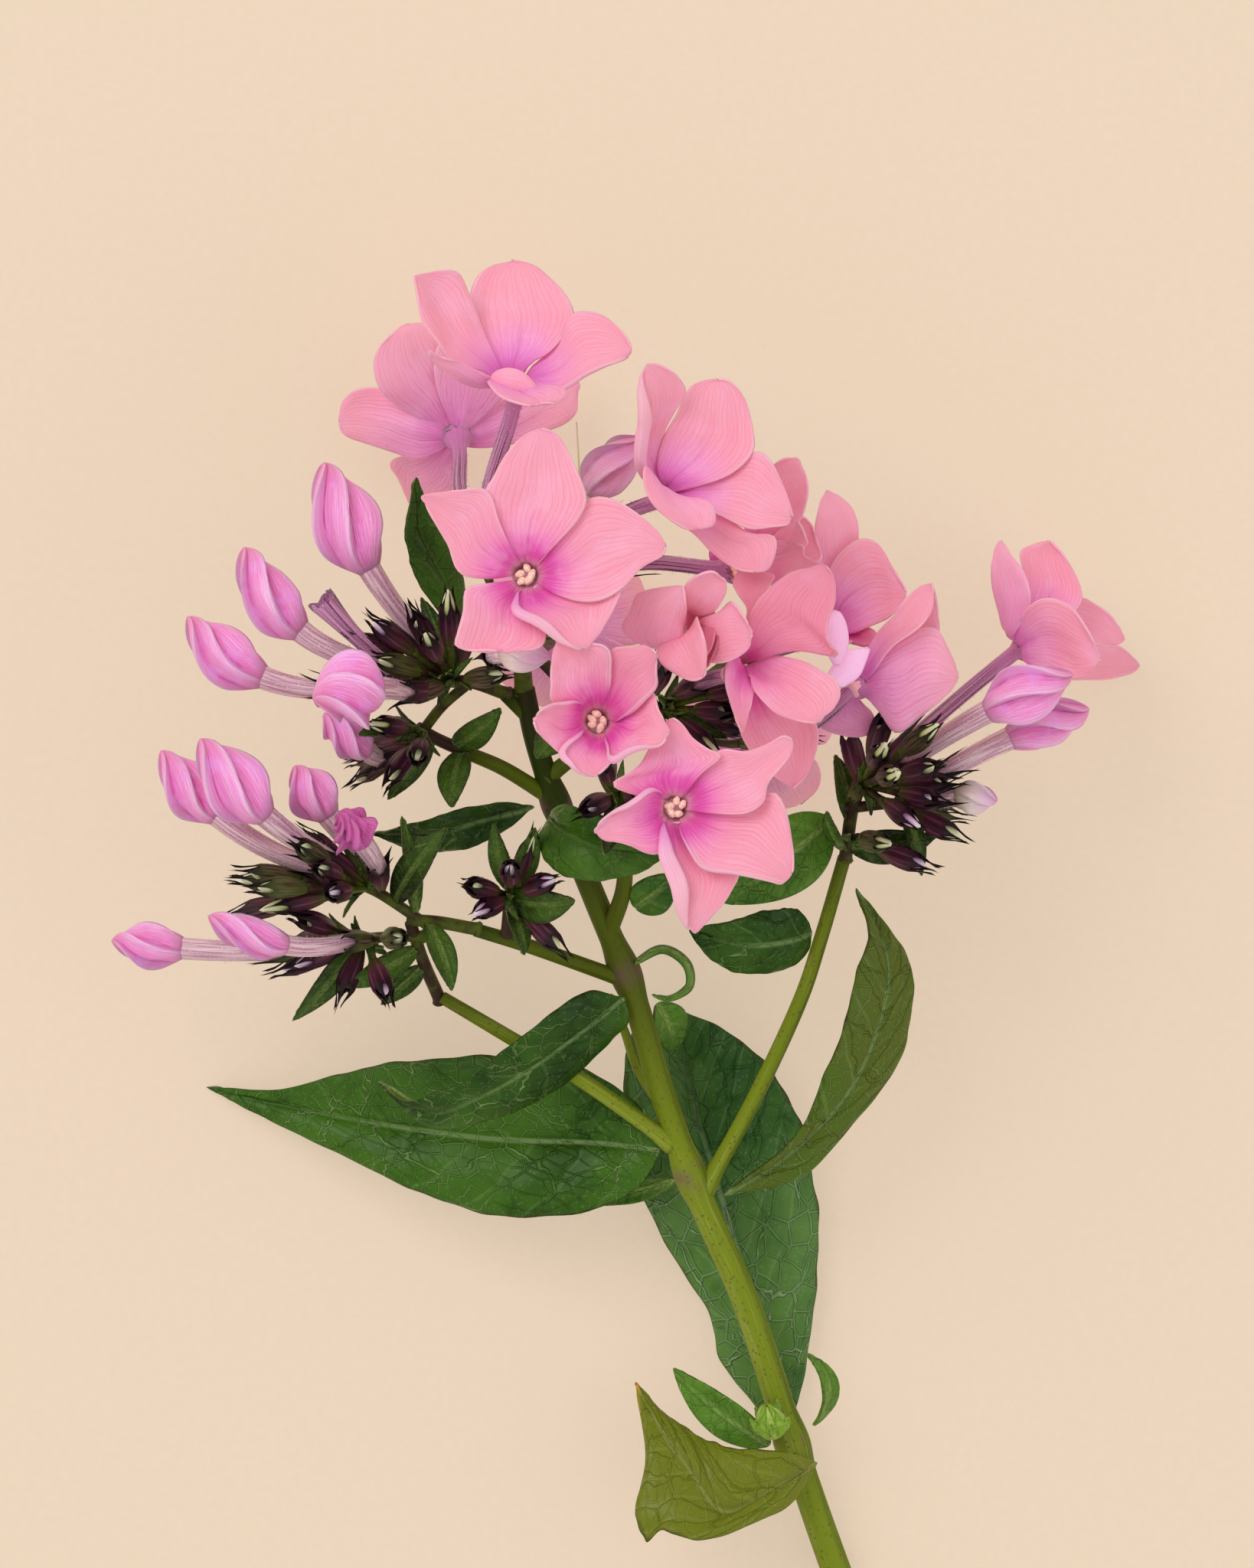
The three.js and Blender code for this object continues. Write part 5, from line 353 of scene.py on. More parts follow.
# Closed buds: [name, flower head, hub, mouth of the calyx, neck, tip, radius].
BUDS = [
    ["bud_upper_left_1", "cyme_upper_left", "high", [-60.8, 140.5, 39], [-67.5, 149.5, 42],
     [-73.5, 163.5, 40], 3.9],
    ["bud_upper_left_2", "cyme_upper_left", "high", [-66, 137, 39], [-76.5, 141.5, 40], [-84, 152.5, 38],
     3.4],
    ["bud_upper_left_3", "cyme_upper_left", "high", [-71.5, 134, 38], [-81.5, 135.5, 37],
     [-91.5, 143.5, 36], 3.1],
    ["bud_upper_left_4", "cyme_upper_left", "high", [-62.5, 133.5, 46], [-66.5, 134, 52],
     [-74.5, 132.5, 57], 4.3],
    ["bud_upper_left_5", "cyme_upper_left", "low", [-66.3, 125, 33.5], [-68.3, 126, 37], [-73.5, 130.8, 42],
     2.4],
    ["bud_lower_left_1", "cyme_lower_left", "high", [-74.5, 110.5, 35], [-87.5, 117.5, 35], [-95, 126, 35],
     3.0],
    ["bud_lower_left_2", "cyme_lower_left", "high", [-73, 112, 38], [-81, 117.5, 43], [-89.5, 127.5, 44],
     3.6],
    ["bud_lower_left_3", "cyme_lower_left", "high", [-69.5, 113, 35.5], [-73, 117.5, 37.5],
     [-77.5, 124, 38], 2.8],
    ["bud_lower_left_4", "cyme_lower_left", "high", [-66.5, 110.8, 39], [-68.5, 114.2, 45],
     [-71.5, 117.7, 49], 2.6],
    ["bud_lower_left_5", "cyme_lower_left", "low", [-79, 99.6, 26.5], [-92.5, 100, 25], [-102, 101, 24],
     2.6],
    ["bud_lower_left_6", "cyme_lower_left", "low", [-70.5, 101, 35], [-78.5, 100.7, 41],
     [-88.5, 104.5, 43.5], 2.4],
    ["bud_right_1", "cyme_right", "high", [2.2, 124.2, 31.5], [13, 131, 37], [24, 136, 39], 3.2],
    ["bud_right_2", "cyme_right", "low", [6.5, 122.5, 30.5], [16, 127.5, 31], [26.5, 131.5, 30.5], 2.9],
    ["bud_right_3", "cyme_right", "low", [6.2, 119.3, 30], [8.8, 119.7, 30.2], [14.5, 119.5, 30.5], 1.9],
    ["bud_crown_1", "cyme_crown", "top", [-40.5, 153, 43.5], [-38.5, 159, 45.5], [-32.5, 166.5, 48], 3.0],
    ["bud_crown_2", "cyme_crown", "top", [-51.3, 138.2, 52], [-49.8, 138.2, 55.5], [-43.8, 138, 60], 1.9]
]

# Large leaves: midrib and both edges, from the stalk to the tip.
LEAVES = {
    "leaf_left_large": {"middle": [[-29.6, 73, 15.5], [-39, 74, 14], [-52.5, 74.5, 12], [-68.5, 76.5, 7.5],
     [-81, 79, 3.5], [-90.5, 81, 0.1]], "left": [[-29.6, 73, 15.5], [-33.5, 80, 15.8], [-42, 84.5, 16],
     [-54.5, 85.5, 14], [-65.5, 84.5, 10.5], [-73, 82.8, 8], [-81.5, 80.8, 4.5], [-90.5, 81, 0.1]],
     "right": [[-29.6, 73, 15.5], [-31.5, 69.5, 15.5], [-36, 66, 15.5], [-47, 64, 14.5], [-56.5, 65.5, 12],
     [-64.5, 68.5, 10], [-74, 73, 6.5], [-83, 77.2, 3], [-90.5, 81, 0.1]]},
    "leaf_left_folded": {"middle": [[-34.4, 93.5, 24.4], [-40, 89, 26], [-47, 84, 25.8], [-54, 80.2, 25],
     [-60, 78.5, 24.5], [-67, 82.5, 25.5]], "left": [[-34.4, 93.5, 24.4], [-39.5, 94.3, 28],
     [-45.5, 90.5, 29.5], [-51, 86, 28.6], [-55, 82.8, 27.2], [-58.5, 81.4, 27], [-63, 80, 26.4],
     [-67, 82.5, 25.5]], "right": [[-34.4, 93.5, 24.4], [-34, 90.3, 23], [-36, 88, 22.5], [-41, 83.2, 22.2],
     [-47, 79.2, 22], [-55, 76.8, 22], [-61, 76.8, 22.8], [-67, 82.5, 25.5]]},
    "leaf_back_large": {"middle": [[-12.8, 34.5, 4.2], [-15, 43.5, 2.6], [-18, 54.5, 2.2], [-22, 68, 3],
     [-25.5, 80, 5], [-27, 91.5, 8.5]], "left": [[-12.8, 34.5, 4.2], [-17, 38.5, 3.6], [-21.5, 44.5, 3.6],
     [-23.5, 51.5, 4], [-29.5, 61, 5], [-33, 71, 6.2], [-34.5, 82.5, 7], [-33, 89, 7.6], [-27, 91.5, 8.5]],
     "right": [[-12.8, 34.5, 4.2], [-10.5, 42, 3], [-9, 52.5, 3.2], [-8.5, 62.5, 4], [-10, 73, 5.5],
     [-13.5, 81.5, 7.5], [-19.5, 88, 9], [-27, 91.5, 8.5]]},
    "leaf_right_tall": {"middle": [[-21.4, 67, 16.2], [-12, 73.5, 20.5], [-5, 81, 24], [-1, 90, 26],
     [0, 98.5, 27], [-4, 108, 25]], "left": [[-21.4, 67, 16.2], [-16, 71.5, 21], [-11, 76.5, 24],
     [-8, 84, 27], [-5.5, 90.5, 29], [-4, 97, 30], [-2.5, 102.5, 28.5], [-4, 108, 25]],
     "right": [[-21.4, 67, 16.2], [-10.5, 70, 18], [-3, 78.5, 21], [2, 85.5, 23], [3.5, 93, 24],
     [3, 98.5, 25], [0, 103, 25.5], [-4, 108, 25]]},
    "leaf_lowest": {"middle": [[-8.7, 31.2, 8], [-13.5, 28.5, 13], [-21, 25, 15.5], [-25.5, 30.5, 15],
     [-29.5, 36, 13], [-33, 42, 9]], "left": [[-8.7, 31.2, 8], [-13.5, 33, 12.5], [-20, 33.5, 12.5],
     [-24.5, 35, 11.5], [-28.5, 37.5, 10.5], [-31, 39.5, 9.5], [-33, 42, 9]], "right": [[-8.7, 31.2, 8],
     [-12.5, 26, 13], [-18, 23.5, 17], [-24.5, 21.5, 19], [-29.5, 23, 18.5], [-31.5, 21.5, 17],
     [-33, 25, 16], [-31.5, 32.5, 14], [-33, 42, 9]]},
    "leaf_right_small": {"middle": [[-9.8, 102, 26.2], [-13, 101, 28.6], [-18.5, 100.5, 30.5],
     [-26, 102.5, 29.5]], "left": [[-9.8, 102, 26.2], [-11.5, 105, 29.5], [-15, 105.2, 31.5],
     [-20.5, 103.8, 32.5], [-26, 102.5, 29.5]], "right": [[-9.8, 102, 26.2], [-10.5, 99.5, 25.5],
     [-14, 97, 26], [-20, 97, 27], [-23.5, 99, 28.5], [-26, 102.5, 29.5]]},
    "leaf_crown_round": {"middle": [[-44.2, 117.4, 32.2], [-42, 115.5, 41], [-36.5, 113.2, 46],
     [-29, 112.6, 48]], "left": [[-44.2, 117.4, 32.2], [-42.3, 119, 42], [-37.5, 117.6, 48],
     [-32, 115.5, 50], [-29, 112.6, 48]], "right": [[-44.2, 117.4, 32.2], [-45.6, 114, 39],
     [-43.5, 110.3, 42], [-38, 109, 44], [-32, 110.3, 46.5], [-29, 112.6, 48]]},
    "leaf_crown_left": {"middle": [[-46.2, 118.6, 30.8], [-53, 117, 31.6], [-60, 115, 30.6],
     [-67.5, 115, 28]], "left": [[-46.2, 118.6, 30.8], [-51, 119.2, 33.4], [-57, 118, 34],
     [-63, 116.2, 31.8], [-67.5, 115, 28]], "right": [[-46.2, 118.6, 30.8], [-51, 115, 30],
     [-56, 113, 28.6], [-62, 113, 28], [-67.5, 115, 28]]},
    "leaf_crown_top": {"middle": [[-54.6, 138.6, 40.2], [-57.5, 147, 41], [-61, 154, 42],
     [-61.5, 161.5, 42]], "left": [[-54.6, 138.6, 40.2], [-60.5, 146.5, 43], [-62.7, 152, 44],
     [-62.7, 156.5, 43.5], [-61.5, 161.5, 42]], "right": [[-54.6, 138.6, 40.2], [-55.4, 147, 38.4],
     [-57, 152.5, 39.4], [-59.5, 157, 41], [-61.5, 161.5, 42]]}
}

# Petals that stand in the shade of their own cup: how far their colour deepens.
SHADED_PETALS = {("bloom_right", 0): 0.45, ("bloom_right", 3): 0.3, ("bloom_opening", 4): 0.9,
                 ("bloom_opening", 5): 0.6, ("bloom_far", 2): 0.35, ("bloom_cupped", 1): 0.3}

# Blooms with their eye turned away or covered, whose petals are paler at the base.
PALE_EYES = ("bloom_top", "bloom_behind", "bloom_high_right", "bloom_far", "bloom_right_back",
             "bloom_far_right")

# Buds that have hardly coloured yet, and how cream they are.
PALE_BUDS = {"bud_right_3": 0.9, "bud_crown_1": 0.3, "bud_crown_2": 0.85}

# Turned-up lobes and folds of petals: [bloom, one edge, other edge, distance from the eye, shade]. A shade
# below -1 makes a fold glow a little, as painted light.
FOLDS = [
    ["bloom_top",
     [[-51.6, 173.8, 60], [-50.5, 174.7, 61], [-48.9, 174.9, 61.5], [-47.1, 174.2, 61.5],
      [-45.5, 172.5, 61], [-43.6, 171.2, 60]],
     [[-51.4, 172.6, 59], [-50.5, 171.5, 59.5], [-48.9, 170.8, 60], [-47.2, 170.4, 60], [-45.5, 170.3, 60],
      [-43.6, 170.6, 59.5]], 9.0, -1.3],
    ["bloom_right_back",
     [[-6.5, 138.9, 45], [-7.0, 137.7, 45], [-7.8, 136.5, 45], [-8.5, 135.1, 45]],
     [[-2.5, 139.3, 44], [-3.2, 137.3, 44.5], [-4.1, 135.5, 44.5], [-6.4, 134.0, 44.5]], 8.0, -2.0],
    ["bloom_far",
     [[-7.5, 143.9, 46], [-8.4, 142.3, 47], [-8.6, 139.8, 47], [-7.4, 137.1, 46]],
     [[-6.6, 144.0, 46], [-5.7, 142.1, 46.5], [-5.5, 139.6, 46.5], [-6.6, 136.9, 46]], 8.0, -1.7],
]

# The colour of each side branch at its root and tip, as places on the stem: 0 at its cut end, 1 at the top.
BRANCH_SHADES = [(0.4, 0.63), (0.65, 0.78), (0.62, 0.72), (0.72, 0.8), (0.3, 0.64), (0.64, 0.72),
                 (0.66, 0.78), (0.4, 0.6)]

# Spent flower tubes, broken off short: [flower head, points, radius at the calyx, radius at the end].
SPENT_TUBES = [["cyme_upper_left", [[-64.5, 136.5, 44.5], [-69.5, 141, 47], [-73.6, 145.2, 47]], 1.0, 1.75]]

# A pistil left standing where its flower has dropped: [flower head, points].
PISTILS = [["cyme_crown", [[-40.5, 158, 49], [-40.3, 162, 51], [-40.6, 168.3, 52]]]]

# A narrow young leaf that curls over beside the stem: points along its middle, then its half width.
CURLED_LEAF = [[[-33.2, 98, 24.5], [-29.5, 99.8, 27], [-26.4, 98, 28.5], [-26, 95, 27.5], [-28.4, 93.4, 26],
                [-30.9, 93.9, 25.5]], 0.75]

# A spent flower that has crumpled on its tube.
CRUMPLED = "bud_lower_left_4"

# Large leaves with a finish of their own.
LEAF_FINISH = {"leaf_back_large": "back_leaf", "leaf_lowest": "olive_leaf",
               "leaf_crown_round": "crown_leaf", "leaf_crown_top": "crown_leaf"}

# Large leaves that turn their underside up.
UNDERSIDE_UP = ("leaf_right_tall", "leaf_lowest")

# Smaller leaves: [name, base, tip, width, up, arch].
SMALL_LEAVES = [
    ["leaf_low_left", [-15, 33.6, 8.4], [-28, 44, 11], 6, [-0.3, -0.4, 1], 0.08],
    ["leaf_low_right", [-9.3, 36.2, 8.6], [-10.2, 46, 12], 3.6, [0.8, 0.1, 0.7], 0.3],
    ["leaf_under_bloom", [-33, 105.4, 27.8], [-27.5, 110, 33], 5.5, [0, -0.2, 1], 0.1],
    ["leaf_behind_bloom", [-7.4, 117, 27.6], [-21.5, 106, 32], 9.5, [0.1, -0.1, 1], 0.12],
    ["leaf_shoot", [-30.2, 92.6, 19.4], [-27.6, 86.3, 12], 5.5, [0.4, 0, 1], 0.1],
    ["leaf_narrow_back", [-27.6, 69, 13.2], [-38.5, 65.5, 8.5], 3, [0, 0, 1], -0.25]
]

AXILLARY_BUD = {
    "centre": [-14.9, 36.2, 11.4],
    "tip": [-16, 41.2, 14.2],
    "radius": 1.7
}

TABLE_GAP = 0.02  # the plant stays this far above the table
WELD_GAP = 2e-7  # m

STEM_RADIUS = 2.1
STEM_TOP_RADIUS = 1.35
NODE_SWELLING = 0.55
NODE_HALF_LENGTH = 4
STEM_LIT_SIDE = 2.4  # radians round the stem: sets where the darker band of painted shade lies on the stem and its branches

PETAL_CLAW = 0.15
PETAL_WIDEST = 0.62
PETAL_DISH = 0.12
RUFFLE = 0.35
FRILL = 0.3
CLAW_OFFSET = 0.9
CLAW_HALF = 0.6
CLAW_ENDS = 0.25
UNDERLAP = 1.0
UNDERLAP_ENDS = 0.6
EDGE_COLUMN = 0.955  # the last column inside a petal's edge
LIP_COLUMNS = 9
TUBE_RADIUS = 0.95
TUBE_BEND = 0.35
THROAT_RADIUS = 2.05
THROAT_SINK = 1.7
TUBE_ROOT = 0.6  # how far down its calyx a tube begins, as a share of it
THROAT_RINGS = (0, 0.1, 0.7, 1.3, 2.0), (1.85, 1.65, 1.4, 1.1)  # depths, and radii below the first
ANTHERS = 5
HAIR_SIDES = 3
HAIR_RADIUS = 0.03
CALYX_HAIR_RADIUS = 0.025
HAIR_SINK = 0.05

BUD_TUBE_RADIUS = 1.1
BUD_NECK_RADIUS = 1.55
BUD_NECK_SHARE = 0.56
BUD_TUBE_ROOT = 0.5
BUD_TWIST = 1.7
PLEATS = 5
CRUMPLED_TONE = 3.0

CALYX_LENGTH = 6
CALYX_RADIUS = 1.5
CALYX_WALL = 0.14
CALYX_SPOTS = 20
TOOTH_LENGTH = 4.8
YOUNG_TOOTH_SHARE = 0.85
TEETH = 5
TOOTH_COLUMNS = 8
CALYX_ROWS = 13
PEDICEL_RADIUS = 0.45
SEAT_GAP = 0.35
AXIS_OVERLAP = 1.4
AXIS_COLLAR = 0.22
BUD_SCALES = 5
BUD_SCALE_LENGTH = 5.2
LEAF_FOLD = 0.28
BRACTEOLE = 12, 7, 0.3  # rows, columns and thickness
BUD_LEAFLET = 14, 9, 0.3

# Side veins of a leaf: how they rise and bow towards the tip, and how far the two sides are out of step.
VEIN_SLOPE = 0.85
VEIN_BOW = 0.018
VEIN_STAGGER = 0.45

# The stage, in metres.
PLANT_MIDDLE = (-0.034, 0.12, 0.03)
VIEW_CENTRE = (-0.0341, 0.1216)
VIEW_HALF_HEIGHT = 0.1024
VIEW_LEVEL = 0.035


# ------------------------------------------------------------------ vectors and lines

def vec(values):
    return np.array(values, float)


def unit(values):
    values = np.asarray(values, float)
    return values / np.maximum(np.linalg.norm(values, axis=-1, keepdims=True), 1e-12)


def smoothstep(low, high, value):
    x = np.clip((value - low) / (high - low), 0, 1)
    return x * x * (3 - 2 * x)


def smooth_line(points):
    """A smooth curve through points, as a function of 0..1."""
    p = vec(points)
    q = np.vstack([2 * p[0] - p[1], p, 2 * p[-1] - p[-2]])

    def at(u):
        x = np.clip(np.atleast_1d(u), 0, 1) * (len(p) - 1)
        i = np.minimum(x.astype(int), len(p) - 2)
        w = (x - i)[:, None]
        a, b, c, d = q[i], q[i + 1], q[i + 2], q[i + 3]
        leave, arrive = (c - a) / 2, (d - b) / 2
        square, cube = 3 * (c - b) - 2 * leave - arrive, 2 * (b - c) + leave + arrive
        return b + leave * w + square * w**2 + cube * w**3
    return at


def even_line(points):
    """A smooth curve through points, as a function of the share of its length."""
    curve = smooth_line(points)
    table = np.linspace(0, 1, 400)
    run = np.concatenate([[0], np.cumsum(np.linalg.norm(np.diff(curve(table), axis=0), axis=1))])
    return lambda s: curve(np.interp(s, run / run[-1], table))


def bezier(*points):
    """A Bezier curve of three or four points, as a function of 0..1."""
    p = [vec(point) for point in points]

    def at(u):
        u = np.atleast_1d(u)[:, None]
        row = p
        while len(row) > 1:
            row = [a + (b - a) * u for a, b in zip(row, row[1:])]
        return row[0]
    return at


def curve_through(start, middle, end):
    """The quadratic curve from start to end through a middle point, and where it meets that point."""
    near, far = np.linalg.norm(middle - start), np.linalg.norm(end - middle)
    u = near / (near + far)
    control = (middle - (1 - u) ** 2 * start - u**2 * end) / (2 * u * (1 - u))
    return bezier(start, control, end), u


def tangents(curve, u):
    """The way a curve runs at places u."""
    return unit(curve(np.minimum(u + TANGENT_STEP, 1)) - curve(np.maximum(u - TANGENT_STEP, 0)))


def steady_for(direction):
    """Up, or along the stem for what itself stands up."""
    return vec([0, 0, 1]) if abs(direction[2]) < 0.8 else vec([0, 1, 0])


def across(direction, steady):
    """Two directions at right angles to each direction, the first of them to steady as well."""
    side = unit(np.cross(steady, direction))
    return side, np.cross(direction, side)


def frames_along(curve, u, steady=None):
    """The two directions across a curve at places u."""
    if steady is None:
        steady = steady_for(unit(curve(1)[0] - curve(0)[0]))
    return across(tangents(curve, u), steady)


def sheet(middle, side, offset, normal, lift):
    """Rows of points across a middle line, offset to the side of it and lifted along its normal."""
    return middle[:, None, :] + side[:, None, :] * offset[..., None] + normal[:, None, :] * lift[..., None]


def ring_angles(count):
    return np.arange(count) * TURN / count


def around(angle, side, other):
    """The directions that angles point in, measured from side towards other."""
    return np.cos(angle)[..., None] * side + np.sin(angle)[..., None] * other


# ------------------------------------------------------------------ building pieces

PAINTED = ("along", "across", "along_mm", "across_mm", "side", "tone", "shade")


class Piece:
    """Collects sheets and tubes for one finished piece, with the values its finishes read."""

    def __init__(self, *finishes):
        self.finishes = finishes
        self.points = []
        self.faces = []
        self.values = {name: [] for name in PAINTED}
        self.finish = []
        self.count = 0

    def grid(self, points, finish=None, wrap=False, flip=False, **values):
        """Adds a grid of points as a surface in one of the piece's finishes, with its painted values."""
        rows, columns = points.shape[:2]
        self.points.append(points.reshape(-1, 3))
        for name in PAINTED:
            value = np.broadcast_to(values.get(name, 0.0), (rows, columns))
            self.values[name].append(value.reshape(-1))
        i, j = np.meshgrid(np.arange(rows - 1), np.arange(columns if wrap else columns - 1), indexing="ij")
        k = (j + 1) % columns
        a, b, c, d = i * columns + j, i * columns + k, (i + 1) * columns + k, (i + 1) * columns + j
        quads = np.stack([a, b, c, d] if not flip else [a, d, c, b], axis=-1).reshape(-1, 4)
        self.faces.append(quads + self.count)
        self.finish.append(np.full(len(quads), self.finishes.index(finish or self.finishes[0])))
        self.count += rows * columns

    def blade(self, points, half_thickness, finish=None, **values):
        """A thin closed sheet round a grid of middle points. The rim is shared by both faces."""
        normal = grid_normals(points)
        rim = np.ones(points.shape[:2])
        rim[[0, -1], :] = 0
        rim[:, [0, -1]] = 0
        push = normal * (rim * half_thickness)[..., None]
        self.grid(points + push, finish, side=np.where(rim > 0, 1.0, 0.5), **values)
        self.grid(points - push, finish, flip=True, side=np.where(rim > 0, 0.0, 0.5), **values)

    def tube(self, centres, right, upper, radius, finish=None, caps=(True, True), **values):
        """A round bar: rings round centres. radius has one row for each ring. caps closes its two ends."""
        rows, columns = radius.shape
        ring = around(ring_angles(columns)[None, :], right[:, None, :], upper[:, None, :])
        points = centres[:, None, :] + ring * radius[..., None]
        first, last = (np.broadcast_to(centres[i], (int(caps[i]), columns, 3)) for i in (0, -1))
        points = np.concatenate([first, points, last])
        padded = {}
        for name, value in values.items():
            value = np.broadcast_to(value, (rows, columns))
            padded[name] = np.concatenate([value[:len(first)], value, value[-1:][:len(last)]])
        self.grid(points, finish, wrap=True, **padded)

    def build(self, name, replaced):
        """Makes the Blender object, welds its shared rims and puts it on the plant."""
        points = np.concatenate(self.points)
        points[:, 2] = np.maximum(points[:, 2], TABLE_GAP)
        faces = np.concatenate(self.faces)
        mesh = bpy.data.meshes.new(name)
        mesh.from_pydata((points * MM).tolist(), [], faces.tolist())
        for finish in self.finishes:
            mesh.materials.append(materials()[finish])
        mesh.polygons.foreach_set("material_index", np.concatenate(self.finish).astype(np.int32))
        mesh.polygons.foreach_set("use_smooth", np.ones(len(faces), bool))
        for painted in PAINTED:
            layer = mesh.attributes.new(painted, "FLOAT", "POINT")
            layer.data.foreach_set("value", np.concatenate(self.values[painted]).astype(np.float32))
        piece = bpy.data.objects.new(name, mesh)
        bpy.context.scene.collection.objects.link(piece)
        weld(piece)
        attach(piece, "root")
        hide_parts(replaced)


def weld(piece):
    """Merges the points that two sheets share and drops the faces that this closes."""
    bpy.ops.object.select_all(action="DESELECT")
    bpy.context.view_layer.objects.active = piece
    piece.select_set(True)
    bpy.ops.object.mode_set(mode="EDIT")
    bpy.ops.mesh.select_all(action="SELECT")
    bpy.ops.mesh.remove_doubles(threshold=WELD_GAP)
    bpy.ops.mesh.dissolve_degenerate(threshold=WELD_GAP / 2)
    bpy.ops.object.mode_set(mode="OBJECT")
    piece.select_set(False)


def grid_normals(points):
    return unit(np.cross(np.gradient(points, axis=0), np.gradient(points, axis=1)))


def bar(piece, curve, radius_at, sides, steps, finish=None, **values):
    """A round bar along a curve."""
    u = np.linspace(0, 1, steps + 1)
    side, other = frames_along(curve, u)
    radius = np.broadcast_to(np.asarray(radius_at(u)).reshape(-1, 1), (steps + 1, sides))
    length = np.linalg.norm(curve(1)[0] - curve(0)[0])
    values.setdefault("along", u[:, None])
    values.setdefault("along_mm", u[:, None] * length)
    values.setdefault("across", np.cos(ring_angles(sides))[None, :])
    piece.tube(curve(u), side, other, radius, finish, **values)


# ------------------------------------------------------------------ shader sums

def srgb(red, green, blue):
    """A screen colour of 0..255 as the linear colour that a socket holds."""
    def linear(value):
        value /= 255
        return value / 12.92 if value <= 0.04045 else ((value + 0.055) / 1.055) ** 2.4
    return (linear(red), linear(green), linear(blue), 1.0)


class Wire:
    """A value or colour in a node tree that can be used in ordinary sums."""

    def __init__(self, tree, socket):
        self.tree = tree
        self.socket = socket

    def put(self, place):
        self.tree.links.new(self.socket, place)

    def math(self, operation, *others):
        node = self.tree.nodes.new("ShaderNodeMath")
        node.operation = operation
        for place, value in zip(node.inputs, (self, *others)):
            set_input(place, value)
        return Wire(self.tree, node.outputs[0])

    def __add__(self, other):
        return self.math("ADD", other)

    def __sub__(self, other):
        return self.math("SUBTRACT", other)

    def __mul__(self, other):
        return self.math("MULTIPLY", other)

    def __truediv__(self, other):
        return self.math("DIVIDE", other)

    def __abs__(self):
        return self.math("ABSOLUTE")

    def fract(self):
        return self.math("FRACT")

    def power(self, exponent):
        return self.math("POWER", exponent)

    def step(self, low, high):
        """0 below low, 1 above high and smooth between. high may be the lower one."""
        node = self.tree.nodes.new("ShaderNodeMapRange")
        node.interpolation_type = "SMOOTHSTEP"
        flipped = high < low
        node.inputs["From Min"].default_value = min(low, high)
        node.inputs["From Max"].default_value = max(low, high)
        node.inputs["To Min"].default_value = 1.0 if flipped else 0.0
        node.inputs["To Max"].default_value = 0.0 if flipped else 1.0
        self.put(node.inputs["Value"])
        return Wire(self.tree, node.outputs["Result"])

    def blend(self, low, high):
        """A colour between low and high by this value."""
        node = self.tree.nodes.new("ShaderNodeMix")
        node.data_type = "RGBA"
        node.clamp_factor = True
        self.put(node.inputs[0])
        set_input(node.inputs[6], low)
        set_input(node.inputs[7], high)
        return Wire(self.tree, node.outputs[2])

    def ramp(self, *stops):
        """A colour by this value: stops are (place, red, green, blue)."""
        node = self.tree.nodes.new("ShaderNodeValToRGB")
        elements = node.color_ramp.elements
        while len(elements) < len(stops):
            elements.new(0.5)
        for element, (place, *screen) in zip(elements, stops):
            element.position = place
            element.color = srgb(*screen)
        self.put(node.inputs[0])
        return Wire(self.tree, node.outputs[0])


def set_input(place, value):
    if isinstance(value, Wire):
        value.put(place)
    else:
        place.default_value = value


def attribute(tree, name):
    node = tree.nodes.new("ShaderNodeAttribute")
    node.attribute_name = name
    return Wire(tree, node.outputs["Fac"])


def combine(tree, x=0.0, y=0.0, z=0.0):
    node = tree.nodes.new("ShaderNodeCombineXYZ")
    for place, value in zip(node.inputs, (x, y, z)):
        set_input(place, value)
    return Wire(tree, node.outputs[0])


def object_place(tree):
    return Wire(tree, tree.nodes.new("ShaderNodeTexCoord").outputs["Object"])


def noise(place, scale, detail=3.0):
    node = place.tree.nodes.new("ShaderNodeTexNoise")
    node.inputs["Scale"].default_value = scale
    node.inputs["Detail"].default_value = detail
    place.put(node.inputs["Vector"])
    return Wire(place.tree, node.outputs["Fac"])


def cells(place, scale, feature="DISTANCE_TO_EDGE"):
    node = place.tree.nodes.new("ShaderNodeTexVoronoi")
    node.feature = feature
    node.voronoi_dimensions = "2D" if feature == "DISTANCE_TO_EDGE" else "3D"
    node.inputs["Scale"].default_value = scale
    place.put(node.inputs["Vector"])
    return Wire(place.tree, node.outputs["Distance"])


def new_group(name, inputs, outputs):
    """A shader node group with named value inputs (name, default) and value outputs."""
    tree = bpy.data.node_groups.new(name, "ShaderNodeTree")
    for label, default in inputs:
        socket = tree.interface.new_socket(label, in_out="INPUT", socket_type="NodeSocketFloat")
        socket.default_value = default
    for label in outputs:
        tree.interface.new_socket(label, in_out="OUTPUT", socket_type="NodeSocketFloat")
    taken = tree.nodes.new("NodeGroupInput")
    given = tree.nodes.new("NodeGroupOutput")
    return tree, {label: Wire(tree, taken.outputs[label]) for label, _ in inputs}, given


def use_group(tree, group, **values):
    node = tree.nodes.new("ShaderNodeGroup")
    node.node_tree = group
    for label, value in values.items():
        set_input(node.inputs[label.replace("_", " ")], value)
    return {output.name: Wire(tree, output) for output in node.outputs}


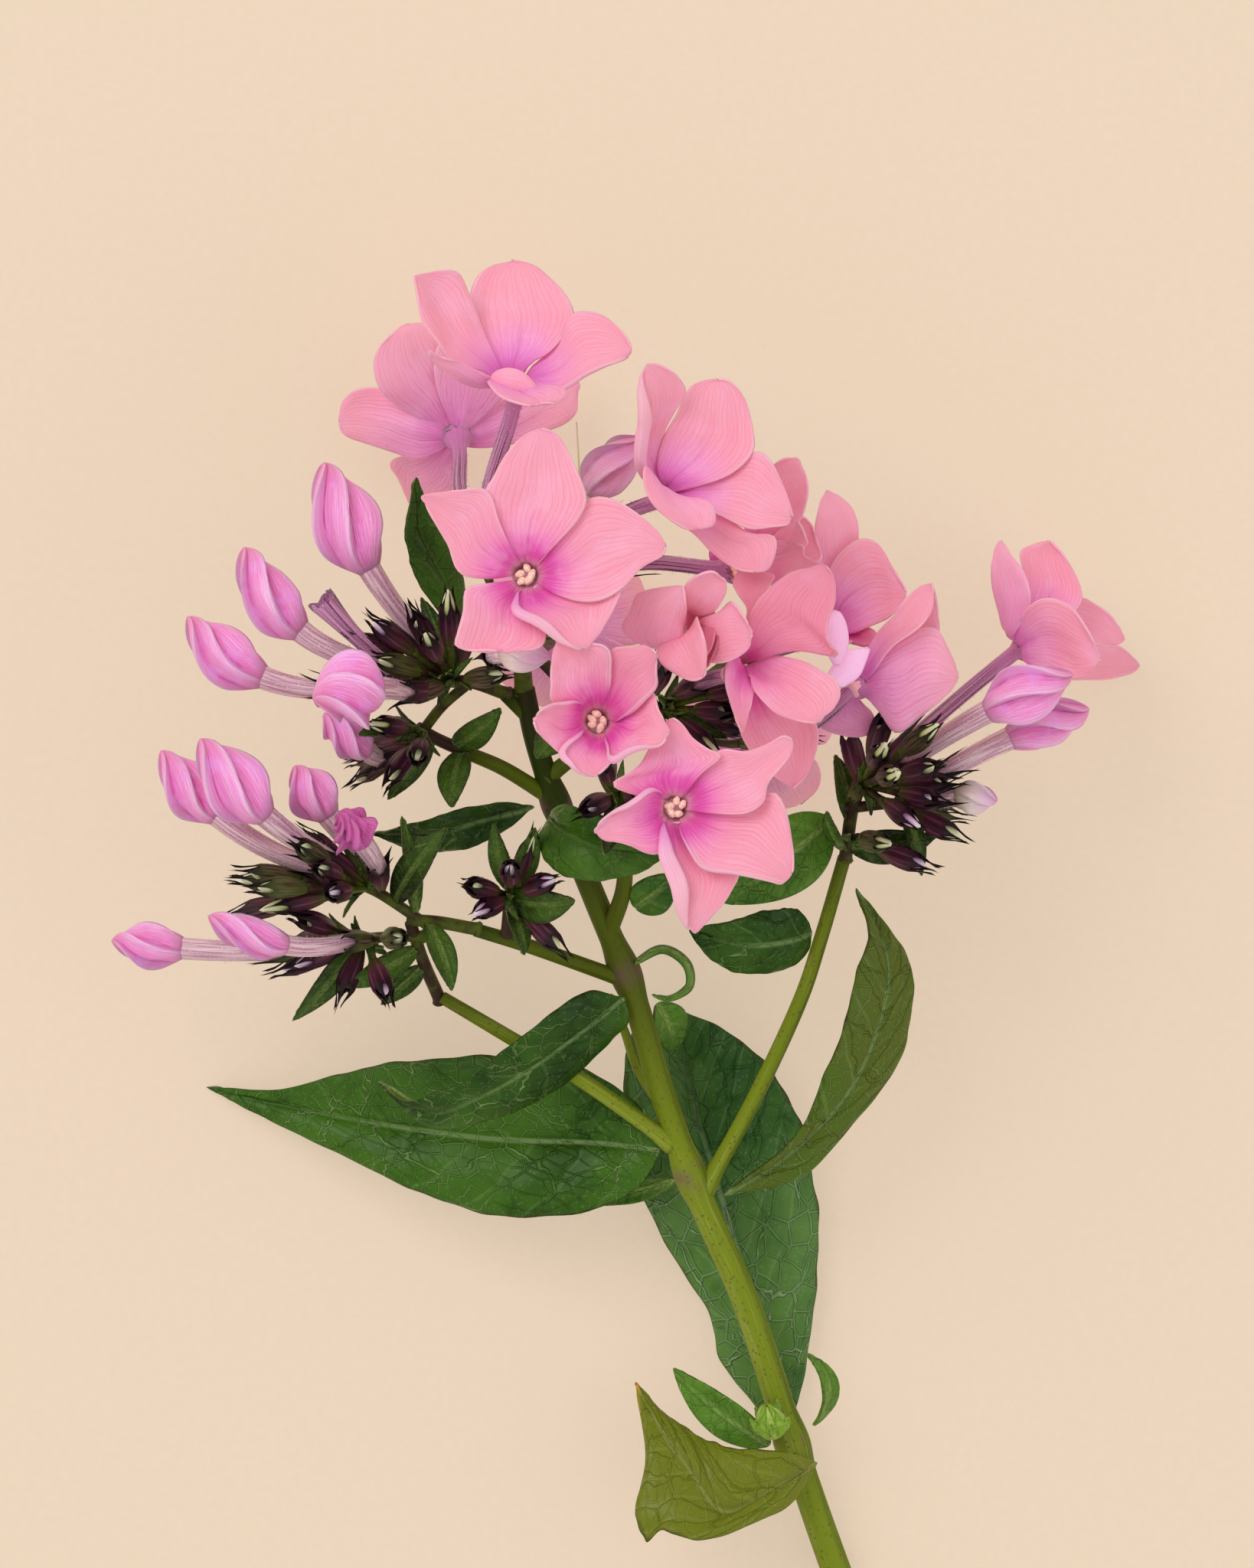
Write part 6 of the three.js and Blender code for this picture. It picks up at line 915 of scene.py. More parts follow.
def fan_vein_group():
    """Fine veins that run along a petal and fan out over its width."""
    inputs = [("Across", 0.0), ("Along", 0.0), ("Tone", 0.0), ("Count", 9.0)]
    tree, given, result = new_group("fan_veins", inputs, ["Veins", "Streaks"])
    across, along, tone = (given[label] for label in ("Across", "Along", "Tone"))
    wander = noise(combine(tree, along * 3.0, across * 2.0, tone * 20.0), 1.6)
    place = across * given["Count"] + (wander - 0.5) * 2.2
    abs(place.fract() - 0.5).step(0.16, 0.02).put(result.inputs["Veins"])
    noise(combine(tree, across * 16.0, along * 1.3, tone * 9.0), 1.0, 4.0).put(result.inputs["Streaks"])
    return tree


def leaf_vein_group():
    """Midrib, side veins that bow towards the tip, and the net between them, from millimetre places."""
    inputs = [("Across mm", 0.0), ("Along mm", 0.0), ("Spacing", 6.0), ("Net", 2.4)]
    tree, given, result = new_group("leaf_veins", inputs, ["Midrib", "Side", "Net", "Loops"])
    across, along, spacing = (given[label] for label in ("Across mm", "Along mm", "Spacing"))
    out, place = abs(across), combine(tree, across, along)
    bend = noise(place, 0.16, 1.0)
    rise = along - out * VEIN_SLOPE - out * out * VEIN_BOW + (bend - 0.5) * 3.0
    offset = across.step(-0.5, 0.5) * VEIN_STAGGER
    side = abs((rise / spacing + offset).fract() - 0.5) * spacing
    out.step(0.75, 0.3).put(result.inputs["Midrib"])
    side.step(0.42, 0.1).put(result.inputs["Side"])
    warped = combine(tree, across + bend * 2.0, along + bend * 1.2)
    cells(scaled(warped, given["Net"]), 1.0).step(0.08, 0.02).put(result.inputs["Net"])
    wander = noise(place, 0.5, 1.0)
    loops = combine(tree, rise / spacing + wander * 0.5, across / spacing * 0.75)
    cells(loops, 1.0).step(0.036, 0.01).put(result.inputs["Loops"])
    return tree


def scaled(place, size):
    node = place.tree.nodes.new("ShaderNodeVectorMath")
    node.operation = "DIVIDE"
    place.put(node.inputs[0])
    set_input(node.inputs[1], combine(place.tree, size, size, size))
    return Wire(place.tree, node.outputs[0])


def mottle_group():
    """Cloudy unevenness and small specks over a skin."""
    tree, given, result = new_group("skin_mottle", [("Size", 1.0)], ["Cloud", "Specks"])
    place = scaled(object_place(tree), given["Size"] * MM)
    noise(place, 0.35, 4.0).put(result.inputs["Cloud"])
    cells(place, 1.5, "F1").step(0.34, 0.12).put(result.inputs["Specks"])
    return tree


class Finish:
    """One material: plain values on the shader's own sockets, and a skin colour built up in washes."""

    def __init__(self, name, roughness, **plain):
        self.material = bpy.data.materials.new(name)
        self.material.use_nodes = True
        self.material.cycles.emission_sampling = "NONE"  # what glows a little doesn't light the rest
        self.tree = self.material.node_tree
        self.shader = self.tree.nodes["Principled BSDF"]
        self.skin = None
        for label, value in {"Roughness": roughness, **plain}.items():
            self.shader.inputs[label.replace("_", " ")].default_value = value

    def read(self, *names):
        return [attribute(self.tree, name) for name in names]

    def wash(self, amount, *screen):
        """Lays a screen colour over the skin by an amount of 0 to 1."""
        self.skin = amount.blend(self.skin, srgb(*screen))

    def streaks(self, x, y, z, detail, scale=1.0):
        """Noise in painted values, drawn out along the ones that count for little."""
        return noise(combine(self.tree, x, y, z), scale, detail)

    def grain(self, scale, detail):
        """Noise in the plant's own space, with scale to the millimetre."""
        return noise(scaled(object_place(self.tree), MM), scale, detail)

    def done(self, height=None, strength=0.5, distance_mm=0.2):
        """Puts the skin and the relief of its height on the shader."""
        self.skin.put(self.shader.inputs["Base Color"])
        if height is not None:
            node = self.tree.nodes.new("ShaderNodeBump")
            node.inputs["Strength"].default_value = strength
            node.inputs["Distance"].default_value = distance_mm * MM
            height.put(node.inputs["Height"])
            self.tree.links.new(node.outputs[0], self.shader.inputs["Normal"])
        return self.material


def petal_finish(groups):
    """shade: above 0 a petal is in deep shade, at -1 its eye is pale, and at -2 it is lavender white. Below
    -1 a petal also glows a little in its own colour, as painted light.
    """
    finish = Finish("petal_satin", 0.55, Sheen_Weight=0.12, Sheen_Roughness=0.4, Specular_IOR_Level=0.3,
                    Subsurface_Weight=0.12, Subsurface_Radius=(1.0, 0.5, 0.55), Subsurface_Scale=0.8 * MM)
    along, side, reach, span, tone, shade = finish.read(
        "along", "side", "along_mm", "across", "tone", "shade")
    fan = use_group(finish.tree, groups["fan"], Across=span, Along=along, Tone=tone, Count=8.0)
    from_eye = (reach + (fan["Streaks"] - 0.5) * 2.6) / 14.0
    front = from_eye.ramp(
        (0.0, 198, 140, 146), (0.1, 206, 142, 154), (0.14, 222, 146, 182), (0.17, 218, 92, 162),
        (0.21, 222, 58, 166), (0.28, 228, 74, 176), (0.36, 242, 120, 190), (0.46, 250, 150, 192),
        (0.62, 253, 162, 188), (0.9, 255, 168, 190))
    pale_front = from_eye.ramp(
        (0.0, 206, 140, 170), (0.16, 222, 104, 196), (0.28, 236, 130, 214), (0.44, 248, 158, 210),
        (0.66, 253, 164, 190), (0.9, 255, 168, 190))
    back = from_eye.ramp(
        (0.1, 186, 104, 160), (0.2, 232, 132, 204), (0.42, 248, 162, 214), (0.75, 254, 172, 204),
        (1.0, 255, 172, 194))
    front = shade.step(-0.1, -0.9).blend(front, pale_front)
    crease = abs(span).step(0.06, 0.012) * reach.step(2.0, 3.2) * reach.step(9.5, 5.0)
    front = (crease * 0.3).blend(front, srgb(180, 60, 124))
    front = (fan["Veins"] * 0.12).blend(front, srgb(226, 100, 150))
    magenta = fan["Veins"] * fan["Streaks"].step(0.35, 0.7) * reach.step(16.0, 3.0)
    back = (magenta * 0.6).blend(back, srgb(206, 70, 160))
    finish.skin = side.step(0.4, 0.6).blend(back, front)
    fibres = finish.streaks(span * 40.0, along * 2.5, tone * 9.0, 3.0)
    finish.wash(fibres.step(0.52, 0.7) * 0.26, 255, 206, 214)
    finish.wash(fibres.step(0.48, 0.3) * 0.2, 236, 116, 150)
    # Painted highlight: a pale rim of sheen along each petal's edges and tip, as if lit from behind.
    edge = (abs(span).step(0.9, 0.99) + along.step(0.97, 1.0)) * reach.step(4.0, 7.0)
    finish.wash(edge * 0.5, 255, 204, 214)
    cloud = finish.grain(0.22, 3.0)
    finish.wash((cloud - 0.42) * 0.5, 255, 146, 164)
    finish.wash(cloud.step(0.5, 0.3) * 0.35, 255, 184, 216)
    finish.wash(shade.step(0.0, 1.0) * 0.8, 208, 80, 118)
    finish.wash(shade.step(-1.1, -2.0) * 0.85, 255, 208, 244)
    # Painted light: petals with a shade below -1 glow a little in their own colour, as if lit through from
    # behind.
    finish.skin.put(finish.shader.inputs["Emission Color"])
    (shade.step(-1.0, -2.0) * 0.2).put(finish.shader.inputs["Emission Strength"])
    return finish.done(fan["Veins"] * 0.6 + fan["Streaks"] * 0.8 + fibres * 0.5, 0.45, 0.14)


def flower_tube_finish():
    finish = Finish("flower_tube", 0.5, Sheen_Weight=0.2, Specular_IOR_Level=0.35)
    along, span, tone = finish.read("along", "across", "tone")
    grooves = finish.streaks(span * 9.0, along * 1.2, tone * 8.0, 4.0)
    finish.skin = grooves.step(0.4, 0.58).blend(srgb(112, 50, 94), srgb(204, 142, 178))
    finish.wash(along.step(0.55, 1.0), 206, 120, 176)
    finish.wash(finish.grain(5.0, 2.0).step(0.6, 0.75) * 0.6, 240, 204, 220)
    return finish.done(grooves, 0.6, 0.2)


def throat_finish():
    # Painted light: the throat glows a little, to lift the shade deep inside the tube.
    finish = Finish("throat", 0.6, Emission_Color=(0.8, 0.42, 0.55, 1.0), Emission_Strength=0.16)
    depth, = finish.read("along")
    # Painted shade: the walls darken towards the bottom of the tube.
    finish.skin = depth.ramp(
        (0.0, 240, 172, 196), (0.3, 244, 178, 190), (0.75, 236, 170, 172), (1.0, 214, 150, 150))
    finish.wash(finish.grain(2.5, 3.0).step(0.4, 0.7) * 0.4, 206, 160, 150)
    return finish.done()


def anther_finish():
    # Painted light: the anthers glow a little, to lift the shade they sit in inside the mouth of the tube.
    finish = Finish("anther", 0.7, Emission_Color=(0.9, 0.55, 0.5, 1.0), Emission_Strength=0.12)
    grain = finish.grain(4.0, 3.0)
    finish.skin = grain.step(0.35, 0.65).blend(srgb(232, 172, 152), srgb(255, 222, 200))
    return finish.done(grain, 0.5, 0.1)


def bud_finish(groups):
    """shade: how cream a bud still is. tone: above 2 it is a spent flower."""
    finish = Finish("bud_satin", 0.45, Sheen_Weight=0.15, Specular_IOR_Level=0.35)
    along, pleat, tone, pale = finish.read("along", "across", "tone", "shade")
    fan = use_group(finish.tree, groups["fan"], Across=pleat, Along=along, Tone=tone, Count=6.0)
    fibres = finish.streaks(pleat * 9.0 + along * 5.0, along * 2.0, tone * 9.0, 3.0, 1.6)
    # Painted light and shade across each pleat: deep pink in its valley as painted shade, near-white at its
    # overlapping ridge as a painted highlight.
    finish.skin = (pleat * 0.5 + 0.5 + (fan["Streaks"] - 0.5) * 0.5).ramp(
        (0.0, 206, 66, 150), (0.07, 240, 112, 196), (0.35, 252, 144, 212), (0.65, 255, 160, 222),
        (0.88, 255, 196, 238), (1.0, 255, 226, 248))
    finish.wash(fibres.step(0.5, 0.68) * 0.45, 255, 222, 246)
    finish.wash(fibres.step(0.46, 0.3) * 0.4, 232, 106, 186)
    finish.wash(fan["Veins"] * fan["Streaks"].step(0.3, 0.6) * 0.35, 222, 104, 178)
    finish.wash(finish.grain(0.4, 3.0).step(0.5, 0.66) * 0.4, 250, 170, 250)
    finish.wash(along.step(0.72, 1.0) * 0.5, 252, 150, 184)
    finish.wash(along.step(0.2, 0.0) * 0.5, 206, 140, 172)
    finish.wash(tone.step(2.0, 3.0) * 0.75, 200, 64, 152)
    cream = along.ramp(
        (0.0, 206, 200, 150), (0.4, 250, 244, 222), (0.8, 246, 214, 236), (1.0, 236, 170, 220))
    finish.skin = (pale * (fibres.step(0.66, 0.4) * 0.35 + 0.65)).blend(finish.skin, cream)
    return finish.done(fan["Veins"] * 0.5 + fan["Streaks"] + fibres * 0.7, 0.5, 0.2)


def bud_tube_finish():
    finish = Finish("bud_tube", 0.5, Sheen_Weight=0.2)
    along, span, tone = finish.read("along", "across", "tone")
    streak = finish.streaks(span * 7.0, along * 2.0, tone * 8.0, 5.0)
    speck = finish.grain(4.0, 2.0).step(0.58, 0.7)
    finish.skin = streak.step(0.36, 0.64).blend(srgb(190, 132, 158), srgb(240, 208, 212))
    finish.wash(along.step(0.45, 0.0) * 0.6, 150, 92, 118)
    finish.wash(speck * 0.6, 252, 234, 234)
    return finish.done(streak + speck * 0.5, 0.5, 0.12)


def calyx_finish(groups):
    finish = Finish("calyx", 0.4, Specular_IOR_Level=0.22)
    along, rib, tone = finish.read("along", "across", "tone")
    skin = use_group(finish.tree, groups["mottle"], Size=0.8)
    finish.skin = (along + (skin["Cloud"] - 0.5) * 0.3).ramp(
        (0.0, 96, 108, 40), (0.12, 84, 72, 34), (0.3, 88, 36, 56), (0.55, 46, 16, 32), (0.72, 18, 8, 12),
        (1.0, 8, 6, 6))
    streak = finish.streaks(rib * 5.0, along * 3.0, tone * 9.0, 3.0)
    finish.wash(abs(rib).step(0.72, 1.0) * along.step(0.65, 0.35) * 0.45, 150, 100, 122)
    finish.wash(streak.step(0.55, 0.7) * along.step(0.75, 0.5) * 0.4, 132, 62, 92)
    finish.wash(tone.step(0.6, 0.9) * along.step(0.85, 0.3) * streak.step(0.35, 0.6) * 0.8, 90, 116, 36)
    return finish.done(skin["Cloud"] + streak - abs(rib) * 0.6, 0.6, 0.2)


def tiny_bud_finish():
    """tone: buds up to 0.76 are still cream, and the others purple."""
    finish = Finish("tiny_bud", 0.45)
    along, pleat, tone = finish.read("along", "across", "tone")
    cream = along.ramp((0.0, 120, 146, 60), (0.4, 206, 218, 130), (0.9, 234, 238, 192))
    purple = along.ramp((0.0, 110, 70, 90), (0.5, 196, 130, 190), (0.9, 246, 222, 240))
    finish.skin = tone.step(0.76, 0.78).blend(cream, purple)
    finish.wash(pleat.step(0.5, 1.0) * 0.4, 250, 248, 226)
    return finish.done()


def stalk_finish(groups):
    finish = Finish("flower_stalk", 0.5, Specular_IOR_Level=0.2)
    tone, = finish.read("tone")
    skin = use_group(finish.tree, groups["mottle"], Size=0.7)
    finish.skin = (skin["Cloud"] + tone * 0.3).step(0.4, 0.8).blend(srgb(84, 98, 22), srgb(58, 36, 26))
    return finish.done(skin["Cloud"], 0.4, 0.15)


def stem_finish(groups):
    """along: 0 at the cut end and 1 at the crown. side: how near a node is."""
    finish = Finish("stem_skin", 0.5, Specular_IOR_Level=0.15)
    along, span, node, tone = finish.read("along", "across", "side", "tone")
    skin = use_group(finish.tree, groups["mottle"], Size=1.2)
    fibre = finish.streaks(span * 6.0, along * 12.0, tone * 5.0, 4.0)
    # Painted shade: a darker band down one side of the stem and its branches, placed round them by
    # STEM_LIT_SIDE.
    band = abs(span - 0.25).step(0.5, 0.2) * fibre.step(0.3, 0.5)
    finish.skin = (band * 0.6).blend(srgb(122, 138, 24), srgb(70, 92, 0))
    finish.wash(fibre.step(0.5, 0.7) * 0.45, 166, 178, 84)
    finish.wash(skin["Specks"] * fibre.step(0.36, 0.54) * 0.6, 96, 64, 44)
    finish.wash(along.step(0.48, 0.66) * 0.85, 76, 88, 4)
    finish.wash(along.step(0.7, 0.8) * 0.9, 38, 54, 0)
    finish.wash(along.step(0.86, 1.0) * 0.6, 52, 34, 26)
    finish.wash(node.power(4.0) * skin["Cloud"].step(0.35, 0.6) * 0.6, 118, 76, 84)
    return finish.done(fibre + skin["Cloud"] * 0.5, 0.5, 0.25)


# Each kind of leaf: dark green, light green, underside, veins, the spacing of the side veins and the width
# of the net in mm, how plainly the veins show, where the dark margin begins, and its colour.
MARGIN = 0.96, (60, 46, 22)
LEAF_SKINS = {
    "leaf": [(18, 52, 0), (64, 108, 14), (88, 102, 22), (150, 180, 110), 6.5, 2.3, 0.85, *MARGIN],
    # back_leaf is lighter than leaf: painted light that lifts the shade it lies in under the stem and the
    # other leaves.
    "back_leaf": [(46, 90, 34), (98, 138, 62), (104, 116, 24), (160, 188, 136), 6.5, 3.0, 1.1, *MARGIN],
    "olive_leaf": [(34, 64, 6), (108, 118, 22), (112, 122, 20), (160, 166, 84), 4.6, 2.3, 0.5, *MARGIN],
    "crown_leaf": [(26, 58, 4), (74, 116, 26), (90, 106, 30), (120, 150, 70), 5.0, 1.8, 0.4, *MARGIN],
    "bract": [(18, 32, 4), (78, 116, 30), (96, 114, 40), (150, 176, 90), 3.0, 1.2, 0.7, 0.62, (40, 24, 30)],
    "low_leaf": [(46, 92, 24), (96, 142, 40), (104, 134, 38), (156, 186, 96), 4.0, 1.6, 0.8, *MARGIN],
    "bud_scale": [(70, 120, 10), (138, 182, 40), (120, 160, 40), (190, 214, 110), 4.0, 1.6, 0.5, *MARGIN],
}
WITHERED_TIPS = {"olive_leaf": (216, 160, 52)}


def leaf_finish(groups, name):
    *greens, spacing, net, marked, margin, margin_colour = LEAF_SKINS[name]
    dark, light, under, vein = (srgb(*green) for green in greens)
    finish = Finish(name + "_blade", 0.34, Specular_IOR_Level=0.2)
    side, across_mm, along_mm, along, span, tone = finish.read(
        "side", "across_mm", "along_mm", "along", "across", "tone")
    veins = use_group(finish.tree, groups["leaf"], Across_mm=across_mm, Along_mm=along_mm, Spacing=spacing,
                      Net=net)
    broad, fine = (use_group(finish.tree, groups["mottle"], Size=size) for size in (6.0, 1.1))
    uneven = fine["Cloud"] - 0.5
    top = (broad["Cloud"] + uneven * 0.35 + tone * 0.25 - 0.1).step(0.25, 0.8).blend(dark, light)
    patchy = broad["Cloud"].step(0.34, 0.56) * fine["Cloud"].step(0.3, 0.55)
    shown = (veins["Net"] * broad["Cloud"].step(0.4, 0.62) * 0.24, veins["Loops"] * patchy * 0.5,
             veins["Side"] * fine["Cloud"].step(0.3, 0.6) * 0.14,
             veins["Midrib"] * along.step(1.05, 0.3) * 0.6)
    for amount in shown:
        top = (amount * marked).blend(top, vein)
    below = (broad["Cloud"].step(0.3, 0.7) * 0.5).blend(under, light)
    below = (veins["Net"] * 0.16).blend(below, vein)
    below = ((veins["Side"] * 0.3 + veins["Midrib"]) * 0.5).blend(below, vein)
    finish.skin = (fine["Specks"] * 0.12).blend(side.step(0.4, 0.6).blend(below, top), vein)
    finish.wash((abs(span) + uneven * 0.3).step(margin, 1.0) * 0.45, *margin_colour)
    if name in WITHERED_TIPS:
        finish.wash((along + uneven * 0.1).step(0.93, 0.99), *WITHERED_TIPS[name])
    height = broad["Cloud"] * 0.4 + fine["Cloud"] * 0.3 - veins["Midrib"]
    return finish.done(height - (veins["Net"] * 0.6 + veins["Loops"]) * marked, 0.9, 0.4)


def make_finishes():
    groups = {"fan": fan_vein_group(), "leaf": leaf_vein_group(), "mottle": mottle_group()}
    return {
        "petal": petal_finish(groups),
        "flower_tube": flower_tube_finish(),
        "throat": throat_finish(),
        "anther": anther_finish(),
        "bud": bud_finish(groups),
        "bud_tube": bud_tube_finish(),
        "calyx": calyx_finish(groups),
        "tiny_bud": tiny_bud_finish(),
        "stalk": stalk_finish(groups),
        "stem": stem_finish(groups),
        **{name: leaf_finish(groups, name) for name in LEAF_SKINS},
    }


# ------------------------------------------------------------------ petals and blooms

def petal_outline(s, pointedness, widest):
    """Half width along a petal as a share of its widest: a narrow claw, then a broad limb."""
    claw = PETAL_CLAW + (1 - PETAL_CLAW) * np.sin(np.pi / 2 * np.minimum(s / widest, 1))
    x = np.clip((s - widest) / (1 - widest), 0, 1)
    return np.where(s < widest, claw, np.maximum(0, 1 - x**2) ** pointedness)


def claw_start(throat, faces, reach):
    """Where a petal leaves the eye, and its way outward."""
    outward = unit(reach - faces * reach.dot(faces))
    return throat + outward * CLAW_OFFSET - faces * CLAW_OFFSET / 2, outward


def petal_points(throat, faces, petal, s, t, tone):
    """A petal along a middle line, of one outline, cupped and twisted."""
    tip, width, arch, cup, twist, pointedness, *lean = petal
    lean = lean[0] if lean else 0.0
    start, outward = claw_start(throat, faces, vec(tip) - throat)
    length = np.linalg.norm(tip - start)
    middle = bezier(start, start + outward * length / 2 + faces * arch * length, tip)
    forward = tangents(middle, np.minimum(s, 0.999))
    side = unit(np.cross(faces, forward))
    normal = np.cross(forward, side)
    angle = (twist * s)[:, None]
    turned_side = side * np.cos(angle) + normal * np.sin(angle)
    turned_up = normal * np.cos(angle) - side * np.sin(angle)
    right, left = (petal_outline(s, pointedness, PETAL_WIDEST + way * lean)[:, None] for way in (1, -1))
    down, over = s[:, None], t[None, :]
    half = width / 2 * np.where(over < 0, left, right)
    ruffle = RUFFLE * np.abs(over) ** 3 * np.sin(TURN * (1.7 * down + tone * 3 + 0.2 * over))
    groove = -0.3 * np.exp(-(over * half / 0.8) ** 2) * (1 - down)
    lift = cup * half * over**2 + ruffle * smoothstep(0.3, 0.7, down) + groove
    return sink_into_throat(sheet(middle(s), turned_side, half * over, turned_up, lift), throat, faces)


def edged_petal_points(throat, faces, petal, s, t, tone):
    """A petal between its two edges, with one edge rolled over if it has a lip."""
    start, outward = claw_start(throat, faces, vec([*petal["left"], *petal["right"]]).mean(axis=0) - throat)
    left, right = (even_line([start, *petal[side], petal["tip"]])(s) for side in ("left", "right"))
    sideways = np.cross(faces, outward)
    sideways *= np.sign(sideways.dot(vec(petal["left"]).mean(axis=0) - vec(petal["right"]).mean(axis=0)))
    down, over = s[:, None], np.clip(t, -1, 1)[None, :]
    claw = CLAW_HALF * np.maximum(0, 1 - down / CLAW_ENDS)
    under = UNDERLAP * np.sin(np.pi * np.minimum(down / UNDERLAP_ENDS, 1))
    left = left + (claw + under) * sideways
    right = right - (claw + 0.35 * under) * sideways
    middle, span = (left + right) / 2, left - right
    half = np.linalg.norm(span, axis=1)[:, None] / 2
    normal = unit(np.cross(np.gradient(middle, axis=0), span))
    normal[0], normal[-1] = normal[1], normal[-2]
    wave = 0.05 * half * np.sin(TURN * (1.1 * down + 0.55 * over + tone * 4)) * smoothstep(0.2, 0.6, down)
    frill = FRILL * np.abs(over) ** 6 * np.sin(TURN * (2.6 * down + tone * 3 + 0.3 * over))
    groove = 0.35 * np.exp(-(over * half / 0.7) ** 2) * (1 - down)
    lift = wave + frill * smoothstep(0.35, 0.8, down) - groove - PETAL_DISH * half * (1 - over**2)
    points = sheet(middle, span, over / 2, normal, lift)
    return sink_into_throat(roll_lip(points, t, s, unit(span), normal, petal.get("lip", 0)), throat, faces)


def roll_lip(points, t, s, toward_left, normal, lip):
    """Rolls the columns beyond the edge up and back over the face."""
    beyond = np.maximum(np.abs(t) - 1, 0)
    if not beyond.any():
        return points
    width = abs(lip) * np.sin(np.pi * np.clip((s - 0.06) / 0.9, 0, 1))[:, None] ** 0.7
    bend = 0.28 + 0.05 * width
    run = width * beyond
    angle = np.minimum(run / bend, np.pi)
    outside = bend * np.sin(angle) - (run - angle * bend)
    above = bend * (1 - np.cos(angle))
    away = toward_left[:, None, :] * np.sign(t)[None, :, None]
    return points + away * outside[..., None] + normal[:, None, :] * above[..., None]


def sink_into_throat(points, throat, faces):
    """Leads the claws of the petals down into the tube, and gives each point's distance from the eye."""
    out = points - throat
    level = out @ faces
    radial = np.linalg.norm(out - level[..., None] * faces, axis=-1)
    sunk = THROAT_SINK * np.clip(1 - (radial - 1.0) / 1.05, 0, 1) ** 1.3
    return points - sunk[..., None] * faces, np.hypot(radial, level)


def petal_stations(rows):
    x = np.linspace(0, 1, rows)
    return 0.5 * x + 0.5 * np.sin(np.pi / 2 * x)


def petal_columns(columns, lip=0):
    """Places across a petal, with a few more beyond an edge that rolls over."""
    t = np.concatenate([[-1], np.linspace(-EDGE_COLUMN, EDGE_COLUMN, columns - 2), [1]])
    if not lip:
        return t
    beyond = 1 + np.linspace(0.12, 1, LIP_COLUMNS)
    return np.concatenate([-beyond[::-1], t]) if lip > 0 else np.concatenate([t, beyond])


def calyx_direction(root, mouth, following):
    return unit((unit(mouth - root) + unit(following - mouth)) / 2)


def tube_start(head, hub, mouth, following):
    """Where a flower tube leaves the mouth of its calyx, and its way there."""
    leave = calyx_direction(vec(CYMES[head]["hubs"][hub]), vec(mouth), vec(following))
    return vec(mouth) + leave * SEAT_GAP, leave


def tube_curve(bloom):
    throat, faces = vec(bloom["throat"]), unit(bloom["faces"])
    start, leave = tube_start(bloom["cyme"], bloom["hub"], bloom["mouth"], throat)
    root = start - leave * (CALYX_LENGTH * TUBE_ROOT)
    reach = np.linalg.norm(start - throat)
    upper = bezier(start, start + leave * reach * TUBE_BEND, throat - faces * reach * TUBE_BEND, throat)
    return smooth_line(np.vstack([root, upper(np.linspace(0, 1, 9))])), reach + CALYX_LENGTH * TUBE_ROOT


def add_bloom(piece, bloom, settings, draws):
    throat, faces = vec(bloom["throat"]), unit(bloom["faces"])
    s = petal_stations(settings.petal_rows)
    half_thickness = settings.petal_thickness / 2 / MM
    for number, petal in enumerate(bloom["petals"]):
        tone = draws.random()
        shade = SHADED_PETALS.get((bloom["name"], number), -1.0 * (bloom["name"] in PALE_EYES))
        edged = isinstance(petal, dict)
        t = petal_columns(settings.petal_columns, petal.get("lip", 0) if edged else 0)
        points, reach = (edged_petal_points if edged else petal_points)(throat, faces, petal, s, t, tone)
        piece.blade(points, half_thickness, along=s[:, None], across=t, along_mm=reach, tone=tone,
                    shade=shade)
    for fold in (rest for where, *rest in FOLDS if where == bloom["name"]):
        add_fold(piece, *fold, half_thickness, draws.random())
    curve, length = tube_curve(bloom)
    steps, sides = 26, 30
    u, angle = np.linspace(0, 1, steps + 1), ring_angles(sides)
    side, other = frames_along(curve, u)
    along = u[:, None]
    flare = smoothstep(1 - 3.2 / length, 1, along)
    ribs = 1 + 0.07 * np.cos(5 * angle) * (1 - flare) + 0.04 * np.cos(10 * angle + 1)
    radius = (TUBE_RADIUS * 1.02 + (THROAT_RADIUS - TUBE_RADIUS) * flare) * ribs
    centres = curve(u) - faces * 0.3 * flare
    piece.tube(centres, side, other, radius, "flower_tube", caps=(True, False), along=along,
               across=np.cos(angle), along_mm=along * length, tone=draws.random())
    add_tube_hairs(piece, curve, side, other, radius, u, settings.hairs_per_tube, draws)
    depth, inner = THROAT_RINGS
    depth = vec(depth)[:, None]
    inner = np.vstack([radius[-1], *(np.full(sides, r) for r in inner)])
    piece.tube(centres[-1] - depth * faces, side[-1:], other[-1:], inner, "throat", caps=(False, True),
               along=depth / depth[-1])
    add_anthers(piece, throat, faces, draws)


def add_fold(piece, edge, other_edge, reach, shade, half_thickness, tone):
    """A small dished sheet between two edges: a lobe or fold of a petal that is seen on its own."""
    rows, columns = 18, 11
    s, t = np.linspace(0, 1, rows), petal_columns(columns)
    left, right = smooth_line(edge)(s), smooth_line(other_edge)(s)
    middle, span = (left + right) / 2, left - right
    normal = unit(np.cross(np.gradient(middle, axis=0), span))
    normal *= np.where(normal[:, 2:] < 0, -1.0, 1.0)
    bulge = 0.22 * np.linalg.norm(span, axis=1)[:, None] * (1 - t**2)
    piece.blade(sheet(middle, span, t[None, :] / 2, normal, bulge), half_thickness, across=t,
                along=0.3 + 0.4 * s[:, None], along_mm=reach + t * 1.5, tone=tone, shade=shade)


